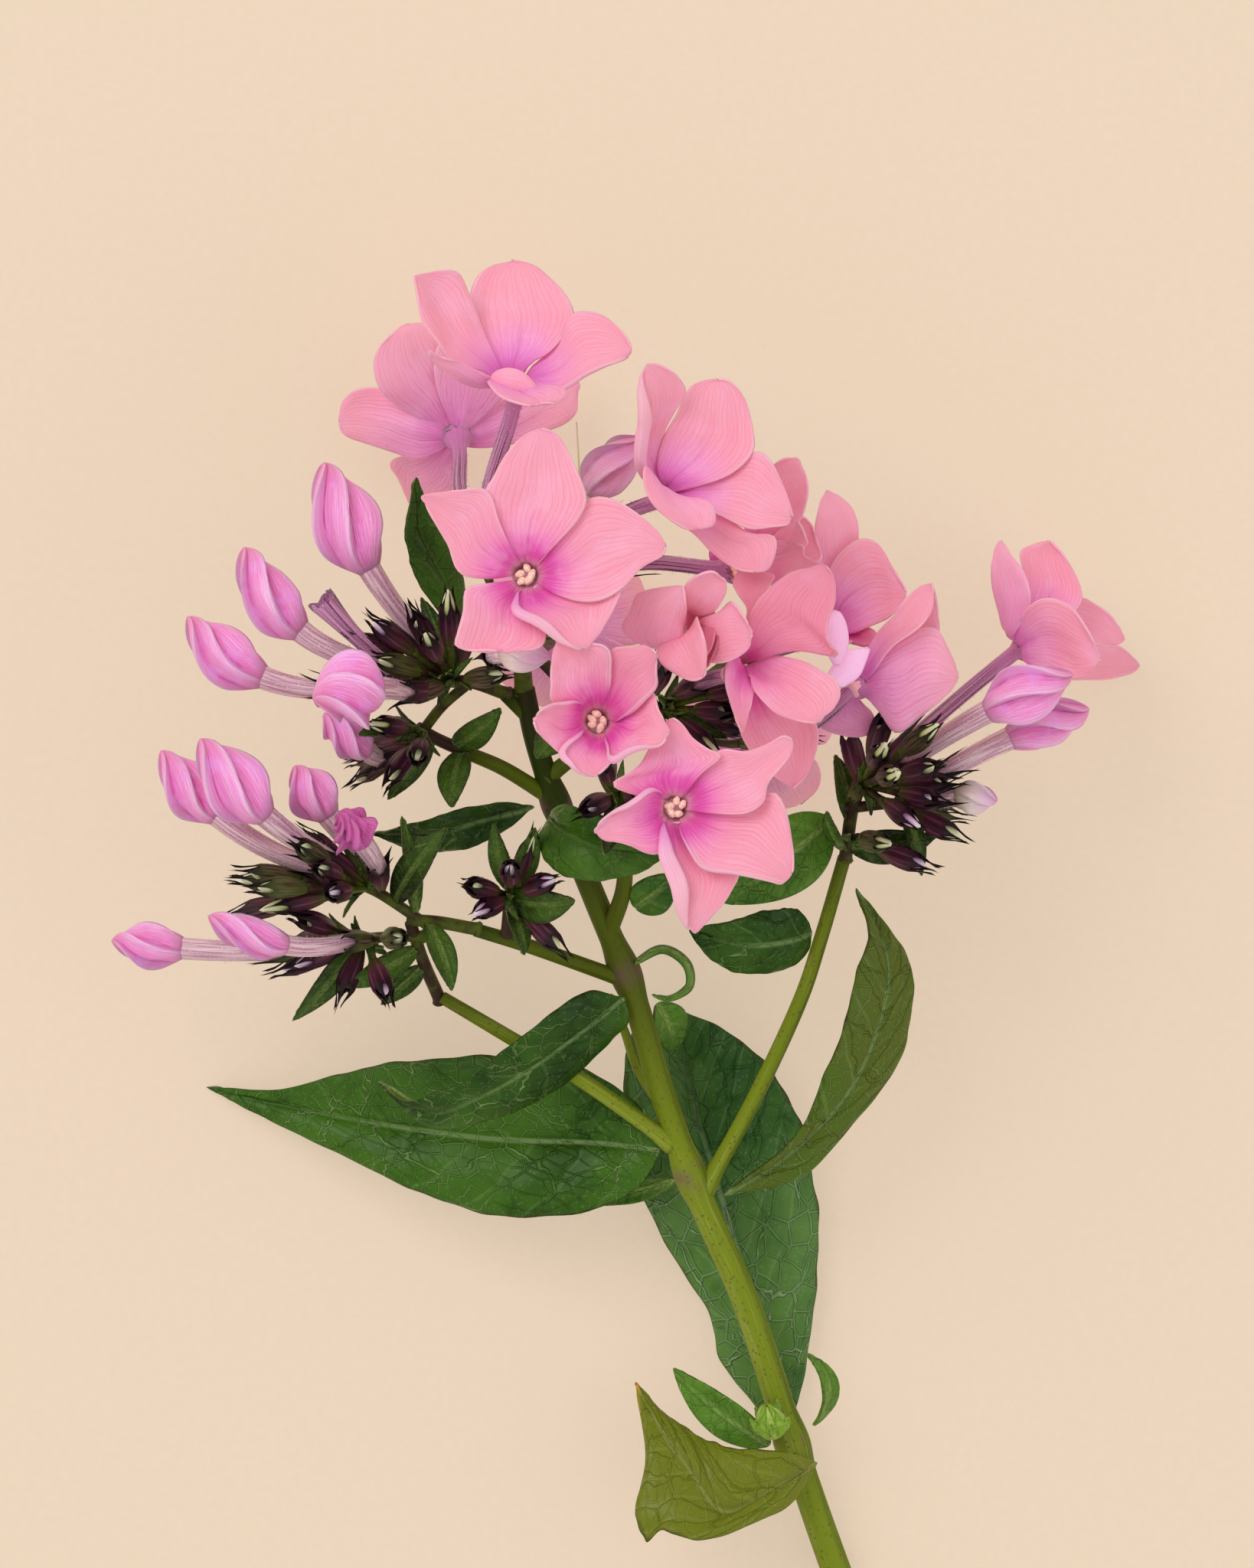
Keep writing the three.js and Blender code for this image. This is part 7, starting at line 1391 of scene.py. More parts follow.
def add_tube_hairs(piece, curve, side, other, radius, u, count, draws):
    """Short hairs on a flower tube, away from its two ends. It is the piece's second finish."""
    rows, columns = radius.shape
    i, k = draws.integers(rows // 4, rows - 3, count), draws.integers(0, columns, count)
    normals = around(ring_angles(columns)[k], side[i], other[i])
    along = tangents(curve, u[i])
    roots = curve(u[i]) + normals * radius[i, k][:, None] + along * (draws.random(count) - 0.5)[:, None]
    lean = unit(normals + along * (draws.random(count) * 0.8 - 0.2)[:, None])
    add_hairs(piece, roots, lean, draws.uniform(0.25, 0.5, count), HAIR_RADIUS, piece.finishes[1])


def add_hairs(piece, roots, normals, lengths, radius, finish):
    """Fine hairs that stand on a surface, each from a root along its normal."""
    askew = vec([0.31, 0.52, 0.79])  # no hair runs this way
    side, other = (way[:, None, :] for way in across(normals, askew))
    feet = roots - normals * HAIR_SINK
    rings = feet[:, None, :] + radius * around(ring_angles(HAIR_SIDES)[None, :], side, other)
    for foot, ring, tip in zip(feet, rings, roots + normals * lengths[:, None]):
        rows = np.stack([np.tile(foot, (HAIR_SIDES, 1)), ring, np.tile(tip, (HAIR_SIDES, 1))])
        piece.grid(rows, finish, wrap=True, along=0.9, tone=0.4)


def add_anthers(piece, throat, faces, draws):
    """Five curled anthers just inside the mouth of the tube."""
    side, other = across(faces, steady_for(faces))
    for k in range(ANTHERS):
        out = around(TURN * (k + draws.random() * 0.35) / ANTHERS, side, other)
        centre = throat + out * draws.uniform(0.75, 1.05) - faces * draws.uniform(-0.1, 0.35)
        lie = unit(np.cross(faces, out) * draws.uniform(0.2, 1) + out * draws.uniform(-0.8, 0.8))
        bend = faces * draws.uniform(0.05, 0.3) - out * 0.2
        half = draws.uniform(0.5, 0.7)
        curve = bezier(centre - lie * half, centre + bend, centre + lie * half)
        radius_at = lambda u: 0.46 * np.sin(np.pi * (0.08 + 0.84 * u)) ** 0.6
        bar(piece, curve, radius_at, sides=10, steps=8, finish="anther")


# ------------------------------------------------------------------ buds

def bud_head(x):
    """Radius along the head of a bud as a share of its widest, blunt below and drawn to a point."""
    x = np.clip(x, 0, 1)
    return np.sin(np.pi * x**0.78) ** (0.78 - 0.12 * x)


def add_bud(piece, bud, settings, draws):
    name, head, hub, mouth, neck, tip, radius = bud
    start, leave = tube_start(head, hub, mouth, neck)
    curve, middle = curve_through(start, vec(neck), vec(tip))
    steady = steady_for(unit(vec(tip) - start))
    tone = draws.random()
    per_pleat, rows = settings.pleat_columns, settings.bud_rows
    columns = PLEATS * per_pleat
    x = np.linspace(0, 1, rows)[:, None] ** 0.85
    u = (middle + (1 - middle) * x)[:, 0]
    side, other = frames_along(curve, u, steady)
    angle = ring_angles(columns)
    pleat = np.broadcast_to(np.arange(columns) % per_pleat / per_pleat, (rows, columns))
    depth = 0.25 * smoothstep(0.02, 0.3, x) * smoothstep(1.06, 0.94, x)
    uneven = 1 + 0.09 * np.sin(2 * angle + tone * 9) * smoothstep(0.1, 0.5, x)
    dents = 0.05 * np.sin(TURN * (1.4 * pleat + 0.9 * x) + tone * 20) * smoothstep(0.1, 0.4, x)
    shape = (1 + depth * (pleat**1.6 * 1.9 - 0.75) + dents) * uneven
    neck_radius = min(BUD_NECK_RADIUS, radius * BUD_NECK_SHARE)
    full = np.hypot(radius * bud_head(x), neck_radius * smoothstep(0.42, 0.0, x)) + 0.02
    turn = BUD_TWIST * (0.5 * x + 0.75 * x**3) + 0.12 * np.sin(x * 5 + tone * 6)
    if name == CRUMPLED:
        folds = np.sin(5 * angle + 9 * x) + np.sin(8 * angle - 14 * x + 1)
        shape = shape * (1 + 0.22 * folds * smoothstep(0.1, 0.4, x))
        full = full * (1 - 0.25 * x)
    ring = around(angle + turn, side[:, None, :], other[:, None, :])
    centres = curve(u)[:, None, :]
    points = centres + ring * (full * shape)[..., None]
    first, last = (np.broadcast_to(centres[i], (1, columns, 3)) for i in (0, -1))
    pad = lambda value: np.concatenate([value[:1], value, value[-1:]])
    piece.grid(np.concatenate([first, points, last]), wrap=True, along=pad(x), across=pad(pleat * 2 - 1),
               tone=CRUMPLED_TONE if name == CRUMPLED else tone, shade=PALE_BUDS.get(name, 0.0))
    root = start - leave * CALYX_LENGTH * BUD_TUBE_ROOT
    whole = smooth_line(np.vstack([root, curve(np.linspace(0, middle * 1.06, 6))]))
    add_bud_tube(piece, whole, steady, neck_radius, settings.hairs_per_tube // 2, tone, draws)


def add_bud_tube(piece, curve, steady, neck_radius, hairs, tone, draws):
    steps, sides = 16, 24
    u, angle = np.linspace(0, 1, steps + 1), ring_angles(sides)
    side, other = frames_along(curve, u, steady)
    widening = BUD_TUBE_RADIUS + (neck_radius * 1.02 - BUD_TUBE_RADIUS) * u[:, None]
    radius = widening * (1 + 0.035 * np.cos(5 * angle))
    piece.tube(curve(u), side, other, radius, "bud_tube", along=u[:, None], across=np.cos(angle), tone=tone)
    add_tube_hairs(piece, curve, side, other, radius, u, hairs, draws)


# ------------------------------------------------------------------ calyces and flower heads

def tooth_height(rib):
    """How far a tooth reaches above the calyx mouth at rib = 0 (its middle) to 1 (between two teeth)."""
    return TOOTH_LENGTH * (1 - np.abs(rib)) ** 1.8


def add_calyx(piece, root, mouth, direction, closed, draws):
    """A stalk, and a ribbed calyx with five long teeth that stand open or close over a tiny bud."""
    shoulder = mouth - direction * CALYX_LENGTH
    side, other = across(direction, steady_for(direction))
    columns = TEETH * TOOTH_COLUMNS
    place = np.arange(columns) / TOOTH_COLUMNS
    tooth = np.floor(place).astype(int)
    off_middle = place - tooth - 0.5
    from_middle = 2 * np.abs(off_middle)
    tone = draws.random()
    length_of = draws.uniform(0.8, 1.2, TEETH)[tooth]
    spread_of = draws.uniform(-0.2, 0.7, TEETH)[tooth] * (0.6 if closed else 1.0)
    hook_of = draws.uniform(-0.45, 0.45, TEETH)[tooth]
    height = CALYX_LENGTH + tooth_height(from_middle) * length_of * (YOUNG_TOOTH_SHARE if closed else 1)
    level = np.linspace(0, 1, CALYX_ROWS)[:, None] * height
    above = np.clip((level - CALYX_LENGTH) / TOOTH_LENGTH, 0, 1.3)
    body = CALYX_RADIUS * (0.4 + 0.6 * smoothstep(-0.2, 0.75, level / CALYX_LENGTH))
    if closed:
        share = np.clip(level / (CALYX_LENGTH * 1.5), 0, 1)
        body = CALYX_RADIUS * (0.34 + 0.62 * np.sin(np.pi * share) ** 0.8)
        body = body * (1 - 0.45 * smoothstep(0.0, 0.7, above))
    lean_out = (0.06 if closed else 0.22) + spread_of
    radius = body + lean_out * above**1.7 * 1.7 + 0.12 * (1 - 2 * from_middle) * (level < CALYX_LENGTH)
    narrowing = 1 - 0.45 * np.minimum(above * 1.6, 1)
    bearing = (tooth + 0.5) * TURN / TEETH + off_middle * TURN / TEETH * narrowing + hook_of * above**2
    ring = around(bearing, side, other)
    axis = shoulder + level[..., None] * direction
    outer = axis + ring * radius[..., None]
    inner = axis + ring * np.maximum(radius - CALYX_WALL, 0.05)[..., None]
    painted = level / (CALYX_LENGTH + TOOTH_LENGTH)
    piece.grid(np.concatenate([np.broadcast_to(shoulder, (1, columns, 3)), outer]), "calyx", wrap=True,
               along=np.vstack([painted[:1], painted]), across=from_middle, tone=tone)
    deep = CALYX_ROWS // 3
    floor = np.broadcast_to(inner[deep].mean(0), (1, columns, 3))
    piece.grid(np.concatenate([floor, inner[deep:-1], outer[-1:]]), "calyx", wrap=True, flip=True,
               along=np.vstack([painted[deep], painted[deep:]]), tone=tone)
    add_stalk(piece, root, shoulder, direction, tone)
    i, k = draws.integers(3, CALYX_ROWS - 3, CALYX_SPOTS), draws.integers(0, columns, CALYX_SPOTS)
    lengths = draws.uniform(0.18, 0.4, CALYX_SPOTS)
    add_hairs(piece, outer[i, k], ring[i, k], lengths, CALYX_HAIR_RADIUS, "calyx")
    add_bracteoles(piece, root, direction, draws)
    if closed:
        add_tiny_bud(piece, mouth, direction, side, other, draws)


def add_bracteoles(piece, root, direction, draws):
    """Two narrow pointed leaflets at the foot of a flower stalk."""
    for _ in range(2):
        out = around(TURN * draws.random(), *across(direction, steady_for(direction)))
        lean = draws.uniform(0.25, 0.7)
        tip = root + (direction * (1 - lean / 2) + out * lean) * draws.uniform(4.0, 7.0)
        tip[2] = max(tip[2], 1.0)
        up = np.cross(np.cross(direction, out), tip - root)
        shape = tip, draws.uniform(0.9, 1.5), up, -0.1
        add_oval_leaf(piece, root + direction * 0.2, *shape, *BRACTEOLE, "bract", draws)


def add_stalk(piece, root, shoulder, direction, tone):
    span = np.linalg.norm(shoulder - root)
    curve = bezier(root, shoulder - direction * span * 0.4, shoulder + direction * 0.2)
    bar(piece, curve, lambda u: PEDICEL_RADIUS + 0.2 * u**4, sides=9, steps=7, finish="stalk", tone=tone)


def add_tiny_bud(piece, mouth, direction, side, other, draws):
    tone = draws.random()
    rows, columns = 10, 20
    x = np.linspace(0, 1, rows)[:, None]
    centres = mouth - direction * 2.5 + x * draws.uniform(2.0, 6.6) * direction
    phase = ring_angles(columns) * PLEATS / TURN + 0.8 * x
    pleat = phase - np.floor(phase)
    radius = 0.92 * np.maximum(np.sin(np.pi * x**0.8) ** 0.7, 0.02) * (1 + 0.12 * (pleat - 0.5))
    piece.tube(centres, side[None], other[None], radius, "tiny_bud", along=x, across=pleat * 2 - 1,
               tone=tone)


def add_spent_tube(piece, line, start, end, draws):
    """A withered tube with a ragged, open end."""
    curve = smooth_line(line)
    rows, sides = 14, 24
    u, angle = np.linspace(0, 1, rows), ring_angles(sides)
    side, other = frames_along(curve, u)
    along = u[:, None]
    folds = 1 + 0.1 * np.cos(5 * angle + 3 * along) + 0.05 * np.cos(9 * angle - 4 * along)
    radius = (start + (end - start) * along**3) * folds
    centres = curve(u)
    piece.tube(centres, side, other, radius, "flower_tube", caps=(True, False), along=0.5 * along,
               across=np.cos(angle), tone=draws.random() * 0.5)
    ragged = 0.9 * draws.random(sides)[:, None] * unit(centres[-1] - centres[-2])
    ring = around(angle, side[-1], other[-1])
    rim = centres[-1] + ring * radius[-1][:, None]
    deep = centres[-4] + ring * radius[-4][:, None] * 0.8
    floor = np.broadcast_to(centres[-4], (sides, 3))
    rows = np.stack([rim, rim + ragged, rim * 0.9 + centres[-1] * 0.1, deep, floor])
    piece.grid(rows, "flower_tube", wrap=True, along=0.2, across=0.2, tone=0.2)


def flowers_of(name):
    """The hub, the mouth of the calyx and what follows it, for each flower and bud of a head."""
    found = [(b["hub"], b["mouth"], b["throat"]) for b in BLOOMS if b["cyme"] == name]
    return found + [(hub, mouth, neck) for _, head, hub, mouth, neck, *_ in BUDS if head == name]


def nearest_on(axes, place):
    """The place on a flower head's axes that is nearest to another place."""
    along = np.linspace(0, 1, 13)
    spots = np.vstack([smooth_line(axis[0])(along) for axis in axes])
    return spots[np.argmin(np.linalg.norm(spots - vec(place), axis=1))]


def add_flower_head(piece, name, settings, draws):
    head = CYMES[name]
    for line, start, end in head["axes"]:
        root = vec(line[0]) - unit(vec(line[1]) - vec(line[0])) * AXIS_OVERLAP
        radius_at = lambda u: start + (end - start) * u + AXIS_COLLAR * np.exp(-((u - 0.12) / 0.09) ** 2)
        bar(piece, smooth_line([root, *line]), radius_at, sides=16, steps=26, finish="stalk",
            tone=draws.random())
    for hub, mouth, following in flowers_of(name):
        root = vec(head["hubs"][hub])
        add_calyx(piece, root, vec(mouth), calyx_direction(root, vec(mouth), vec(following)), False, draws)
    for hub, mouth in head["young"]:
        root = vec(head["hubs"][hub])
        add_calyx(piece, root, vec(mouth), unit(vec(mouth) - root), True, draws)
    for tube in (rest for where, *rest in SPENT_TUBES if where == name):
        add_spent_tube(piece, *tube, draws)
    for line, in (rest for where, *rest in PISTILS if where == name):
        bar(piece, smooth_line(line), lambda u: 0.16 - 0.06 * u, sides=8, steps=16, finish="tiny_bud",
            tone=0.2)
    rows, columns = settings.bract_rows, settings.bract_columns
    for base, *shape in head["bracts"]:
        add_oval_leaf(piece, nearest_on(head["axes"], base), *shape, rows, columns,
                      settings.leaf_thickness / MM, "bract", draws)


# ------------------------------------------------------------------ leaves

def add_oval_leaf(piece, base, tip, width, up, arch, rows, columns, thickness, finish, draws):
    base, tip, up = vec(base), vec(tip), unit(up)
    s, t = np.linspace(0, 1, rows), petal_columns(columns)
    s = 0.5 * s + 0.5 * smoothstep(0, 1, s)
    length = np.linalg.norm(tip - base)
    middle = bezier(base, (base + tip) / 2 + up * arch * length * 2, tip)
    forward = tangents(middle, s)
    side = unit(np.cross(up, forward))
    half = (width / 2 * np.sin(np.pi * s**0.8) ** 0.85)[:, None]
    points = sheet(middle(s), side, half * t, np.cross(forward, side), LEAF_FOLD * half * np.abs(t))
    spacing = min(width, 6) / 3
    add_leaf_sheet(piece, points, half, length, s, t, thickness, finish, draws, spacing, relief=0.1)


def add_rail_leaf(piece, rails, turned, settings, draws):
    """A leaf between its two edges, with a slightly notched margin."""
    s, t = np.linspace(0, 1, settings.leaf_rows), petal_columns(settings.leaf_columns)
    rib, left, right = (smooth_line(rails[name])(s) for name in ("middle", "left", "right"))
    edge = np.where((t < 0)[None, :, None], left[:, None, :], right[:, None, :])
    down, way = s[:, None], np.sign(t)
    notches = 0.014 * np.sin(TURN * (down * 6.3 + 0.37 * way))
    notches = notches + 0.009 * np.sin(TURN * (down * 13.1 + 0.21 * way))
    share = (np.abs(t) * (1 + notches * np.abs(t) ** 2))[..., None]
    points = rib[:, None, :] * (1 - share) + edge * share
    half = np.where(t < 0, *(np.linalg.norm(rail - rib, axis=1)[:, None] for rail in (left, right)))
    length = np.linalg.norm(np.diff(rib, axis=0), axis=1).sum()
    thickness = settings.leaf_thickness / MM
    add_leaf_sheet(piece, points, half, length, s, t, thickness, None, draws, spacing=6.5, relief=0.32,
                   turned=turned)


def add_leaf_sheet(piece, points, half, length, s, t, thickness, finish, draws, spacing, relief,
                   turned=False):
    """Pillows a leaf between its side veins, spacing apart in mm, waves its margin and closes it.

    relief: how strong the pillows are. turned: the leaf's underside is up.
    """
    tone = draws.random()
    down, out_share = s[:, None], np.abs(t)
    across_mm = half * t
    along_mm = np.broadcast_to(down * length, across_mm.shape)
    out = np.abs(across_mm)
    phase = (along_mm - out * VEIN_SLOPE - out**2 * VEIN_BOW) / spacing + VEIN_STAGGER * (across_mm > 0)
    wave = np.abs(phase - np.floor(phase) - 0.5) * 2
    inside = smoothstep(0, 0.25, out_share) * smoothstep(1, 0.75, out_share)
    ends = smoothstep(0, 0.1, down) * smoothstep(1, 0.93, down)
    bulge = 0.09 * half * (1 - (2 * out_share - 1) ** 2)
    margin = 0.25 * out_share**4 * np.sin(TURN * (down * 3.3 + tone * 2 + 0.3 * np.sign(t)))
    sunk = -0.35 * np.exp(-(across_mm / 0.5) ** 2)
    plain = min(relief * 3, 1)
    lift = (relief * (wave**0.6 - 0.6) * inside + bulge * plain + margin * relief * 2 + sunk * plain) * ends
    points = points + grid_normals(points) * lift[..., None] * upward(points)
    if (upward(points) < 0) != turned:
        points, across_mm, along_mm, t = points[:, ::-1], across_mm[:, ::-1], along_mm[:, ::-1], t[::-1]
    piece.blade(points, thickness / 2, finish, along=down, across=t, along_mm=along_mm, across_mm=across_mm,
                tone=tone)


def upward(points):
    """Keeps relief on the face that looks up: the sign of a sheet's mean normal."""
    return 1.0 if grid_normals(points).mean(axis=(0, 1))[2] >= 0 else -1.0


# ------------------------------------------------------------------ the stem

def stem_radius(points, u):
    """The stem's radius at its points, and how near each is to a node."""
    apart = np.min([np.linalg.norm(points - vec(node), axis=1) for node in STEM_NODES], axis=0)
    swelling = smoothstep(1, 0, apart / (NODE_HALF_LENGTH * 1.3))
    return STEM_RADIUS + (STEM_TOP_RADIUS - STEM_RADIUS) * u + NODE_SWELLING * swelling, swelling


def add_curled_leaf(piece, line, half_width, facing=(0.3, 0.4, 0.87), half_thickness=0.3):
    curve = smooth_line(line)
    rows, columns = 40, 7
    s, t = np.linspace(0, 1, rows), np.linspace(-1, 1, columns)
    side, other = frames_along(curve, s, vec(facing))
    half = (half_width * (0.35 + 0.65 * np.sin(np.pi * s**0.6)) * smoothstep(1, 0.9, s))[:, None]
    piece.blade(sheet(curve(s), side, half * t, other, 0.3 * half * np.abs(t)), half_thickness, "low_leaf",
                along=s[:, None], across=t, along_mm=s[:, None] * 12, across_mm=half * t)


def add_stem(piece, draws):
    line = smooth_line(STEM_LINE)
    steps, sides = 260, 36
    u, angle = np.linspace(0, 1, steps + 1), ring_angles(sides)
    radius, swelling = stem_radius(line(u), u)
    ridges = 1 + 0.018 * np.cos(4 * angle + 0.7) + 0.01 * np.cos(11 * angle)
    piece.tube(line(u), *frames_along(line, u), radius[:, None] * ridges, "stem", along=u[:, None],
               across=np.cos(angle + STEM_LIT_SIDE), side=swelling[:, None], tone=0.3)
    add_curled_leaf(piece, *CURLED_LEAF)
    for (points, start, end), shades in zip(BRANCHES, BRANCH_SHADES):
        add_branch(piece, smooth_line(points), start, end, shades, draws)


def add_branch(piece, curve, start, end, shades, draws):
    steps, sides = 60, 18
    u, angle = np.linspace(0, 1, steps + 1), ring_angles(sides)
    along = u[:, None]
    collar = 0.45 * np.exp(-(along / 0.05) ** 2)
    radius = (start + (end - start) * along + collar) * (1 + 0.02 * np.cos(3 * angle))
    piece.tube(curve(u), *frames_along(curve, u), radius, "stem",
               along=shades[0] + (shades[1] - shades[0]) * along**1.5, across=np.cos(angle + STEM_LIT_SIDE),
               side=0.5 * np.exp(-(along / 0.06) ** 2), tone=draws.random())


def add_axillary_bud(piece, draws):
    """A round bud of close scales, with pointed leaflets that stand off round its foot."""
    centre, tip, radius = vec(AXILLARY_BUD["centre"]), vec(AXILLARY_BUD["tip"]), AXILLARY_BUD["radius"]
    axis = unit(tip - centre)
    start = centre - axis * 1.4
    side, other = across(axis, steady_for(axis))
    rows, columns = 18, 15
    x, t = np.linspace(0, 1, rows)[:, None], np.linspace(-1, 1, columns)
    for k in range(BUD_SCALES):
        turn = TURN * k / BUD_SCALES + 0.3
        out = radius * 1.15 * np.sin(np.pi * (0.06 + 0.94 * x) ** 0.8) ** 0.6 * (1 + 0.03 * k)
        ring = around(t * (TURN / BUD_SCALES * 0.9) * (1 - 0.3 * x) + turn, side, other)
        rise = x * BUD_SCALE_LENGTH * (1 - 0.04 * k)
        piece.blade(start + rise[..., None] * axis + out[..., None] * ring, 0.12, along=x * 0.9,
                    across=t * 0.9, along_mm=x * 6, across_mm=t * 1.6, tone=draws.random())
        stand = around(turn, side, other)
        foot = start + axis * 0.6 + stand * 1.4
        end = foot + axis * draws.uniform(2.2, 3.6) + stand * 1.3
        add_oval_leaf(piece, foot, end, 1.3, [0.2, -0.3, 0.9], 0.1, *BUD_LEAFLET, None, draws)
    rings, sides = 12, 20
    core = np.linspace(0, 1, rings)[:, None]
    inside = radius * np.maximum(np.sin(np.pi * (0.06 + 0.9 * core) ** 0.8) ** 0.6, 0.05)
    piece.tube(start + core * BUD_SCALE_LENGTH * 0.93 * axis, side[None], other[None],
               np.broadcast_to(inside, (rings, sides)), along=core * 0.9, side=1.0, tone=0.6)


# ------------------------------------------------------------------ settings, operators and panel

def count_of(name, description, default, low, high):
    return bpy.props.IntProperty(name=name, description=description, default=default, min=low, max=high)


def sheet_thickness(name, description, default):
    return bpy.props.FloatProperty(name=name, description=description, default=default, min=0.0001,
                                   max=0.001, subtype="DISTANCE", unit="LENGTH", precision=5)


class PhloxBloomSettings(bpy.types.PropertyGroup):
    petal_thickness: sheet_thickness("Petal thickness", "Thickness of a petal", 0.00035)
    petal_rows: count_of("Petal rows", "Points along a petal", 30, 8, 60)
    petal_columns: count_of("Petal columns", "Points across a petal", 21, 7, 41)
    hairs_per_tube: count_of("Hairs on a tube", "Fine hairs on each flower tube", 130, 0, 400)
    bud_rows: count_of("Bud rows", "Points along the pleated head of a bud", 34, 8, 80)
    pleat_columns: count_of("Pleat columns", "Points across one pleat of a bud", 11, 4, 24)


class PhloxLeafSettings(bpy.types.PropertyGroup):
    leaf_thickness: sheet_thickness("Leaf thickness", "Thickness of a leaf", 0.00045)
    leaf_rows: count_of("Leaf rows", "Points along a large leaf", 90, 20, 160)
    leaf_columns: count_of("Leaf columns", "Points across a large leaf", 41, 9, 81)
    small_leaf_rows: count_of("Small leaf rows", "Points along a leaf of the upper nodes", 40, 8, 80)
    small_leaf_columns: count_of("Small leaf columns", "Points across a leaf of the upper nodes", 21, 5, 41)
    bract_rows: count_of("Bract rows", "Points along a bract", 24, 8, 60)
    bract_columns: count_of("Bract columns", "Points across a bract", 15, 5, 31)


class PhloxStageSettings(bpy.types.PropertyGroup):
    floor_colour: bpy.props.FloatVectorProperty(
        name="Floor colour", description="Colour of the plain floor", default=srgb(238, 216, 190)[:3],
        size=3, subtype="COLOR", min=0, max=1)
    floor_size: bpy.props.FloatProperty(
        name="Floor size", description="Width of the floor", default=6.0, subtype="DISTANCE", unit="LENGTH")
    camera_height: bpy.props.FloatProperty(
        name="Camera height", description="Height of the camera above the floor", default=1.4,
        subtype="DISTANCE", unit="LENGTH")
    key_power: bpy.props.FloatProperty(
        name="Key light", description="Power of the large soft light", default=7.8, subtype="POWER",
        unit="POWER")
    sky: bpy.props.FloatProperty(
        name="Sky", description="Strength of the even light from all sides", default=0.72, min=0, max=3)
    floor_glow: bpy.props.FloatProperty(
        name="Floor glow", description="Share of the floor's brightness that it gives off itself",
        default=0.6, min=0, max=1, subtype="FACTOR")


MATERIALS = {}


def materials():
    if not MATERIALS:
        MATERIALS.update(make_finishes())
    return MATERIALS


def draws_for(name):
    """The same random numbers for a piece on every run."""
    return np.random.default_rng(sum(ord(letter) * (i + 1) for i, letter in enumerate(name)))


class PHLOX_OT_stem(bpy.types.Operator):
    """Adds the skin of the stem and its branches"""
    bl_idname = "phlox.stem"
    bl_label = "Stem"

    def execute(self, context):
        piece = Piece("stem", "low_leaf")
        add_stem(piece, draws_for("stem"))
        piece.build("stem_skin", "stem")
        return {"FINISHED"}


class PHLOX_OT_flower_heads(bpy.types.Operator):
    """Adds the stalks, calyces and small leaves of every flower head"""
    bl_idname = "phlox.flower_heads"
    bl_label = "Flower heads"

    def execute(self, context):
        for name in CYMES:
            piece = Piece("calyx", "stalk", "tiny_bud", "bract", "flower_tube")
            add_flower_head(piece, name, context.scene.phlox_leaves, draws_for(name))
            piece.build(name + "_calyces", name)
        return {"FINISHED"}


class PHLOX_OT_blooms(bpy.types.Operator):
    """Adds the open blooms"""
    bl_idname = "phlox.blooms"
    bl_label = "Open blooms"

    def execute(self, context):
        for bloom in BLOOMS:
            piece = Piece("petal", "flower_tube", "throat", "anther")
            add_bloom(piece, bloom, context.scene.phlox_blooms, draws_for(bloom["name"]))
            piece.build(bloom["name"] + "_corolla", bloom["name"])
        return {"FINISHED"}


class PHLOX_OT_buds(bpy.types.Operator):
    """Adds the closed, twisted buds"""
    bl_idname = "phlox.buds"
    bl_label = "Buds"

    def execute(self, context):
        for bud in BUDS:
            piece = Piece("bud", "bud_tube")
            add_bud(piece, bud, context.scene.phlox_blooms, draws_for(bud[0]))
            piece.build(bud[0] + "_pleats", bud[0])
        return {"FINISHED"}


class PHLOX_OT_leaves(bpy.types.Operator):
    """Adds the large and the small leaves"""
    bl_idname = "phlox.leaves"
    bl_label = "Leaves"

    def execute(self, context):
        settings = context.scene.phlox_leaves
        for name, rails in LEAVES.items():
            piece = Piece(LEAF_FINISH.get(name, "leaf"))
            add_rail_leaf(piece, rails, name in UNDERSIDE_UP, settings, draws_for(name))
            piece.build(name + "_blade", name)
        for name, *shape in SMALL_LEAVES:
            piece = Piece("low_leaf")
            add_oval_leaf(piece, *shape, settings.small_leaf_rows, settings.small_leaf_columns,
                          settings.leaf_thickness / MM, None, draws_for(name))
            piece.build(name + "_blade", name)
        return {"FINISHED"}


class PHLOX_OT_axillary_bud(bpy.types.Operator):
    """Adds the leafy bud in the lowest node"""
    bl_idname = "phlox.axillary_bud"
    bl_label = "Axillary bud"

    def execute(self, context):
        piece = Piece("bud_scale")
        add_axillary_bud(piece, draws_for("bud_axillary"))
        piece.build("bud_axillary_scales", "bud_axillary")
        return {"FINISHED"}


class PHLOX_OT_stage(bpy.types.Operator):
    """Adds the floor, the soft light and the camera that looks straight down"""
    bl_idname = "phlox.stage"
    bl_label = "Stage"

    def execute(self, context):
        settings = context.scene.phlox_stage
        add_floor(settings)
        add_lights(settings)
        add_camera(settings)
        return {"FINISHED"}


def add_floor(settings):
    """Grained paper that gives off a share of its brightness itself, so shadows on it stay soft."""
    bpy.ops.object.select_all(action="DESELECT")
    bpy.ops.mesh.primitive_plane_add(size=settings.floor_size)
    floor = bpy.context.active_object
    floor.name = "floor"
    finish = Finish("floor_paper", 0.9, Specular_IOR_Level=0.1, Emission_Strength=settings.floor_glow)
    grain = noise(object_place(finish.tree), 900.0, 2.0).step(0.3, 0.7) * 0.6
    plain, warm = vec(settings.floor_colour), vec(srgb(240, 219, 194)[:3])
    grain.blend((*plain, 1.0), (*warm, 1.0)).put(finish.shader.inputs["Emission Color"])
    lit = 1 - settings.floor_glow
    finish.skin = grain.blend((*plain * lit, 1.0), (*warm * lit, 1.0))
    floor.data.materials.append(finish.done())


